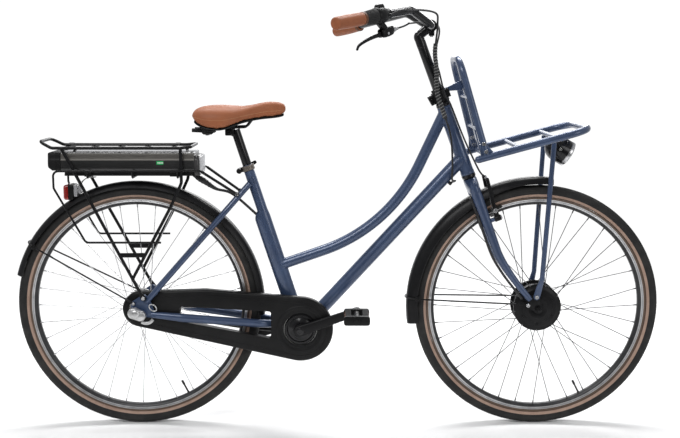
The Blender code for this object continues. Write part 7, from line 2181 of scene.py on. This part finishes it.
def tie(spot, way, radius):
    return pipe([(-0.0016, radius - 0.0006), (-0.0016, radius + 0.0004), (-0.0012, radius + 0.0009),
                 (0.0012, radius + 0.0009), (0.0016, radius + 0.0004), (0.0016, radius - 0.0006)], spot, way, 24)


brakeCable = smoothPath(brakeCablePath(), 10)
addPiece("brake_cable_jacket", tube(brakeCable, cableFacts["brake"], 14), "cable", "steering", "front_brake_cable",
         crease=60)
loomKnots, port, portWay = loomPath()
loom = smoothPath(loomKnots, 10)
loomPiece = addPiece("bar_loom_jacket", tube(loom, cableFacts["loom"], 16), "cable", None, "bar_loom", crease=60)
tuple(onSteer(headTop - 0.020))
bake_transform(loomPiece)
bundle = [spot for spot in loom if 0.8900 < spot.z < 1.1050 and spot.x > 0.15]
spiral = wrapRound(bundle, 0.0062, 0.004, runLengths(bundle)[-1] - 0.004, 0.0085, cableFacts["wrap"])
for name, shape, finish in (("loom_bundle", tube(bundle, cableFacts["bundle"], 14), "cable"),
                            ("loom_spiral_wrap", spiral, "grey")):
    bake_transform(addPiece(name, shape, finish, None, crease=60), "frame", "steering",
             start=tuple(port), end=tuple(onSteer(headTop - 0.020)))
grommet = pipe(mm("-3 3.6, -3 6.2, 3 6.6, 6 5.2, 6 3.6"), port, portWay, 28)
addPiece("loom_grommet", grommet, "rubber", "frame")
motorKnots = [onSteer(crownBase - 0.006, -0.020, -0.043)]
for up, out in mm("330 18.5, 260 18.5, 190 18.5, 130 17.5, 80 16.5"):
    motorKnots.append(bladeCentre(up, -1) - steerForward * out)
motorKnots.append(bladeCentre(0.045, -1) + at(-16, 0, -6))
motor = smoothPath(motorKnots, 10)
plugWay = (motorKnots[2] - motorKnots[1]).normalized()
plug = lathe(mm("-20 3.2, -16 4.8, -2 5.2, -1.5 5.8, 1.5 5.8, 2 5.2, 16 4.8, 20 3.2"),
             mix(motorKnots[1], motorKnots[2], 0.5), plugWay, 24)
addPiece("motor_cable_jacket", merge(tube(motor, cableFacts["motor"], 16), plug), "cable", "steering", "motor_cable",
         crease=50)
leadStart = Vector((batteryFacts["front"] - 0.010, -0.012, batteryFacts["base"] - 0.001))
leadEnd = onSeat(0.3445, -0.0175)
lead = smoothPath([leadStart, leadStart + at(30, -4, -16), leadStart + at(66, -4, -39), leadStart + at(112, 0, -54.5),
                   leadEnd], 12)
swells = [(0, 0.55), (0.08, 0.80), (0.16, 1.25), (0.24, 1.32), (0.34, 1.10), (0.46, 0.86), (0.54, 0.62), (1, 0.58)]
leadScales = []
for k in range(len(lead)):
    share = k / (len(lead) - 1)
    j = max(i for i in range(len(swells) - 1) if swells[i][0] <= share)
    leadScales.append(mix(swells[j][1], swells[j + 1][1], (share - swells[j][0]) / (swells[j + 1][0] - swells[j][0])))
ribs = [tie(lead[k], (lead[k + 1] - lead[k]).normalized(), 0.0064 * leadScales[k]) for k in (6, 9, 12, 15, 18)]
addPiece("controller_lead_sleeve", merge(tube(lead, cableFacts["lead"], 20, scales=leadScales), *ribs), "cable",
         "frame", "controller_lead", crease=50)
print("cables run")

# Seat post


def seatPostParts():
    top = seatTubeLength + 0.1055
    pivot = onSeat(top - 0.002, -0.014)
    post = lathe([(seatTubeLength - 0.150, 0.0126), (seatTubeLength - 0.149, 0.0132), (top - 0.001, 0.0132),
                  (top, 0.0122)], crank, seatUp, 48)
    neck = soften(sweep([onSeat(top - 0.016), pivot], roundBar(0.022, 0.018, 0.006, 5)), 0.0004, 1, 60)
    head = lathe(mm("-17 6, -17 8.8, -16.3 9.5, 16.3 9.5, 17 8.8, 17 6"), pivot, yAxis, 40)
    bolt = lathe(mm("26.2 3, 26.8 5.8, 30 6, 31.2 5, 31.2 2.8, 29.6 2.4"), pivot + at(-2, 0, 2), -yAxis, 24)
    nut = lathe(mm("26.2 3, 26.8 6.2, 30 6, 31.2 3"), pivot + at(-2, 0, 2), yAxis, 6)
    return merge(post, neck, head), merge(bolt, nut)


post, saddleBolts = seatPostParts()
addPiece("seat_post_tube", post, "gloss", "seatpost", "seatpost", crease=40)

# Saddle: the padded cover is swelled by a cloth simulation, then stitched

saddleFacts = {"behind": 0.1072, "length": 0.265, "arch": 0.0155, "inset": 0.0030, "voxel": 0.004, "pressure": 4.0,
               "frames": 20, "cap": 0.0045, "seam": 0.36, "stitch": 0.0042}
saddleStations = [
    (0.000, 0.039, 0.0510, 0.0440), (0.025, 0.054, 0.0640, 0.0360), (0.07, 0.067, 0.0720, 0.0262),
    (0.14, 0.076, 0.0768, 0.0175), (0.22, 0.080, 0.0787, 0.0127), (0.30, 0.081, 0.0791, 0.0112),
    (0.38, 0.077, 0.0783, 0.0147), (0.46, 0.065, 0.0760, 0.0225), (0.54, 0.047, 0.0758, 0.0295),
    (0.62, 0.035, 0.0785, 0.0345), (0.70, 0.030, 0.0835, 0.0385), (0.78, 0.0270, 0.0878, 0.0412),
    (0.86, 0.0250, 0.0890, 0.0432), (0.93, 0.0222, 0.0872, 0.0458), (0.975, 0.0180, 0.0832, 0.0495),
    (1.000, 0.0125, 0.0768, 0.0560)]
saddlePivot = onSeat(seatTubeLength + 0.1035, -0.014)


def saddleAt(share):
    # half width, top and lower edge at a share of the length, rounded between the stations
    for k in range(len(saddleStations) - 1):
        if share <= saddleStations[k + 1][0] or k == len(saddleStations) - 2:
            a, b = saddleStations[k], saddleStations[k + 1]
            t = min(1, max(0, (share - a[0]) / (b[0] - a[0])))
            before = saddleStations[max(0, k - 1)]
            after = saddleStations[min(len(saddleStations) - 1, k + 2)]
            found = []
            for j in (1, 2, 3):
                run = b[0] - a[0]
                first = (b[j] - before[j]) / max(1e-6, b[0] - before[0]) * run if k else (b[j] - a[j])
                last = (after[j] - a[j]) / max(1e-6, after[0] - a[0]) * run
                found.append(a[j] * (2 * t**3 - 3 * t * t + 1) + first * (t**3 - 2 * t * t + t)
                             + b[j] * (3 * t * t - 2 * t**3) + last * (t**3 - t * t))
            return found


def saddleArch(half):
    return saddleFacts["arch"] * min(1, half / 0.060)


def saddlePlace(share, side, up):
    return saddlePivot + Vector((share * saddleFacts["length"] - saddleFacts["behind"], side, up))


def cushionShape():
    inset, rings = saddleFacts["inset"], []
    for share in spread(44, 0.006, 0.994):
        half, top, low = saddleAt(share)
        shrink = min(inset, half * 0.25)
        half, top, low = half - shrink, top - inset, low + inset * 0.25
        tall, arch = top - low, saddleArch(half)
        side = []
        for k in range(12):
            t = pi * (k + 0.5) / 24
            side.append((half * sin(t) ** 0.62, low + tall * (0.34 + 0.66 * cos(t) ** 0.9)))
        side += [(half * 1.0, low + tall * 0.22), (half * 0.985, low + tall * 0.10),
                 (half * 0.955, low + tall * 0.02), (half * 0.90, low), (half * 0.72, low + arch * 0.75),
                 (half * 0.30, low + arch)]
        rings.append([saddlePlace(share, y, z) for y, z in side + [(-y, z) for y, z in side[::-1]]])
    return skin(rings)


def bakedMesh(thing, name):
    graph = bpy.context.evaluated_depsgraph_get()
    made = bpy.data.meshes.new_from_object(thing.evaluated_get(graph))
    made.name = name
    thing.modifiers.clear()
    thing.data = made


def swell(shape, name):
    # remesh, blow up a little with the underside held, cap the movement and smooth once
    facts = saddleFacts
    mesh = bpy.data.meshes.new(name)
    shape.to_mesh(mesh)
    shape.free()
    pad = bpy.data.objects.new(name, mesh)
    bpy.context.scene.collection.objects.link(pad)
    remesh = pad.modifiers.new("even", "REMESH")
    remesh.mode, remesh.voxel_size, remesh.use_smooth_shade = "VOXEL", facts["voxel"], True
    bakedMesh(pad, name)
    start = [v.co.copy() for v in pad.data.vertices]
    held = pad.vertex_groups.new(name="underside")
    for vertex in pad.data.vertices:
        if vertex.normal.z < -0.35:
            held.add([vertex.index], 1.0, "REPLACE")
    cloth = pad.modifiers.new("padding", "CLOTH")
    rules = cloth.settings
    rules.vertex_group_mass = "underside"
    rules.quality, rules.mass = 6, 0.25
    rules.tension_stiffness = rules.compression_stiffness = 18
    rules.shear_stiffness, rules.bending_stiffness = 8, 0.8
    rules.use_pressure, rules.uniform_pressure_force = True, facts["pressure"]
    rules.effector_weights.gravity = 0
    cloth.point_cache.frame_start, cloth.point_cache.frame_end = 1, facts["frames"]
    for moment in range(1, facts["frames"] + 1):
        bpy.context.scene.frame_set(moment)
    graph = bpy.context.evaluated_depsgraph_get()
    blown = [v.co.copy() for v in pad.evaluated_get(graph).data.vertices]
    pad.modifiers.clear()
    pad.vertex_groups.clear()
    bpy.context.scene.frame_set(1)
    for vertex, home, far in zip(pad.data.vertices, start, blown):
        move = far - home
        if move.length > facts["cap"]:
            move *= facts["cap"] / move.length
        vertex.co = home + move
    evenOut = pad.modifiers.new("rest", "SMOOTH")
    evenOut.factor, evenOut.iterations = 0.5, 12
    fine = pad.modifiers.new("fine", "SUBSURF")
    fine.levels = fine.render_levels = 1
    bakedMesh(pad, name)
    for face in pad.data.polygons:
        face.use_smooth = True
    return pad


def seamStitches(pad):
    # one row of thread round the skirt, each stitch laid on the swollen surface
    shape = bmesh.new()
    shape.from_mesh(pad.data)
    tree = BVHTree.FromBMesh(shape)
    shape.free()
    line = []
    for side in (-1, 1):
        run = []
        for share in spread(240, 0.012, 0.985):
            half, top, low = saddleAt(share)
            aim = saddlePlace(share, side * half * 0.90, mix(low, top, saddleFacts["seam"]))
            spot, normal = tree.find_nearest(aim)[:2]
            run.append((spot, normal))
        line += run if side < 0 else run[::-1]
    threads, reach, spots = [], 0.0, [line[0]]
    for a, b in zip(line, line[1:]):
        reach += (b[0] - a[0]).length
        if reach >= saddleFacts["stitch"]:
            reach = 0.0
            spots.append(b)
    for (a, na), (b, nb) in zip(spots, spots[1:]):
        if (b - a).length > 0.012:
            continue
        near, far = mix(a, b, 0.14), mix(a, b, 0.86)
        middle = mix(a, b, 0.5) + na * 0.00045
        threads.append(tube([near - na * 0.0003, middle, far - nb * 0.0003], 0.00032, 6, side=zAxis))
    return merge(*threads)


def saddleShell():
    rings = []
    for share in spread(36, 0.040, 0.972):
        half, _, low = saddleAt(share)
        arch = saddleArch(half)
        side = [(half * 0.30, low + arch - 0.0014), (half * 0.66, low + arch * 0.75 - 0.0014),
                (half * 0.895, low - 0.0006), (half * 0.945, low + 0.0006), (half * 0.950, low - 0.0008),
                (half * 0.930, low - 0.0030), (half * 0.86, low - 0.0034), (half * 0.62, low + arch * 0.75 - 0.0052),
                (half * 0.28, low + arch - 0.0052)]
        rings.append([saddlePlace(share, y, z) for y, z in side + [(-y, z) for y, z in side[::-1]]])
    ribs = []
    for share in (0.20, 0.30, 0.40):
        half, _, low = saddleAt(share)
        arch = saddleArch(half)
        ribs.append(block(saddlePlace(share, 0, low + arch - 0.0062), (0.0020, half * 0.5, 0.0040)))
    return merge(skin(rings), *ribs)


def saddleUnder():
    rails, springs, metals = [], [], []
    for side in (-1, 1):
        knots = mm("-100 30 6.2, -76 30 4, -42 22 11.8, 45 22 15.2, 66 14 42")
        rail = roundedPath([saddlePivot + Vector((x, side * y, z)) for x, y, z in knots], 0.012, 6)
        rails.append(tube(rail, 0.0036, 16))
        rails.append(bmeshBall(rail[-1], 0.0058, (1.2, 1.0, 0.8)))
        place = saddlePivot + at(-62, side * 34, 4)
        rails.append(rod(saddlePivot + at(-106, side * 30, 6.8), saddlePivot + at(-70, side * 30, 5), 0.0056, 20))
        profile = mm("-9 10, -8.8 12, -7.6 13")
        for k in range(4):
            z = -0.0060 + 0.0052 * k
            profile += [(z, 0.0158 - 0.0004 * k), (z + 0.0022, 0.0160 - 0.0004 * k),
                        (z + 0.0032, 0.0142 - 0.0004 * k), (z + 0.0042, 0.0142 - 0.0004 * k)]
        profile += mm("16 14.8, 20.5 13.6, 25 11.8")
        springs.append(lathe(profile, place, zAxis, 40))
        metals.append(screw(place - zAxis * 0.0089, -zAxis, 0.0060, 0.0026))
    clampTop = brick(saddlePivot + at(-4, 0, 17.2), 36, 56, 7.2, 2.2, 3)
    clampLow = brick(saddlePivot + at(-4, 0, 11.8), 34, 54, 3.8, 1.2)
    ears = [brick(saddlePivot + at(-2, side * 22.5, 2), 24, 8.5, 22, 3, 3) for side in (-1, 1)]
    return merge(*rails, clampTop, clampLow, *ears), merge(*springs), merge(*metals)


def laidPiece(thing, finish, body, node):
    # the swollen pad is an object already, so it only gets its finish, its body and its node
    thing.data.materials.clear()
    thing.data.materials.append(finish)
    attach(thing, body)
    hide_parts(node)
    return thing


saddlePad = laidPiece(swell(cushionShape(), "saddle_cover_leather"), finishes["leather"], "saddle", "saddle_cover")
addPiece("saddle_stitches", seamStitches(saddlePad), "thread", "saddle", crease=60)
addPiece("saddle_shell", saddleShell(), "plastic", "saddle", "saddle_base", crease=45)
rails, springs, springBolts = saddleUnder()
addPiece("saddle_rails", rails, "satin", "saddle", crease=45)
addPiece("saddle_springs", springs, "rubber", "saddle", crease=35)
addPiece("saddle_bolts", springBolts, "steel", "saddle")
addPiece("saddle_clamp_bolts", saddleBolts, "satin", "saddle")
print("saddle padded")

# Bottom bracket and crank axle


def bracketShape():
    # cartridge rims with the notches of their tool
    turns, inside, bore = 64, 0.0341, 0.0096
    shapes = []
    for side, reach in ((-1, 0.0360), (1, 0.0370)):
        rings = []
        for y, grow in [(inside, 0.0), (reach - 0.0006, 0.0), (reach, -0.0006), (reach, None), (inside, None)]:
            radii = [bore if grow is None else grow + (0.0192 if k % 8 < 5 else 0.0180) for k in range(turns)]
            rings.append([crank + Vector((r * cos(2 * pi * k / turns), side * y, r * sin(2 * pi * k / turns)))
                          for k, r in enumerate(radii)])
        shapes.append(skin(rings, loop=True))
    return merge(*shapes)


def crankAxle():
    ends = [lathe(mm("56 8.5, 57 6, 73.5 5.8, 74 5"), crank, yAxis * side, 24) for side in (-1, 1)]
    return merge(lathe(mm("-56.2 8, -55.7 8.5, 55.7 8.5, 56.2 8"), crank, yAxis, 40), *ends)


addPiece("bracket_rims", bracketShape(), "satin", "frame", "bottom_bracket")
addPiece("crank_axle_steel", crankAxle(), "steel", "crankset", "crank_axle")
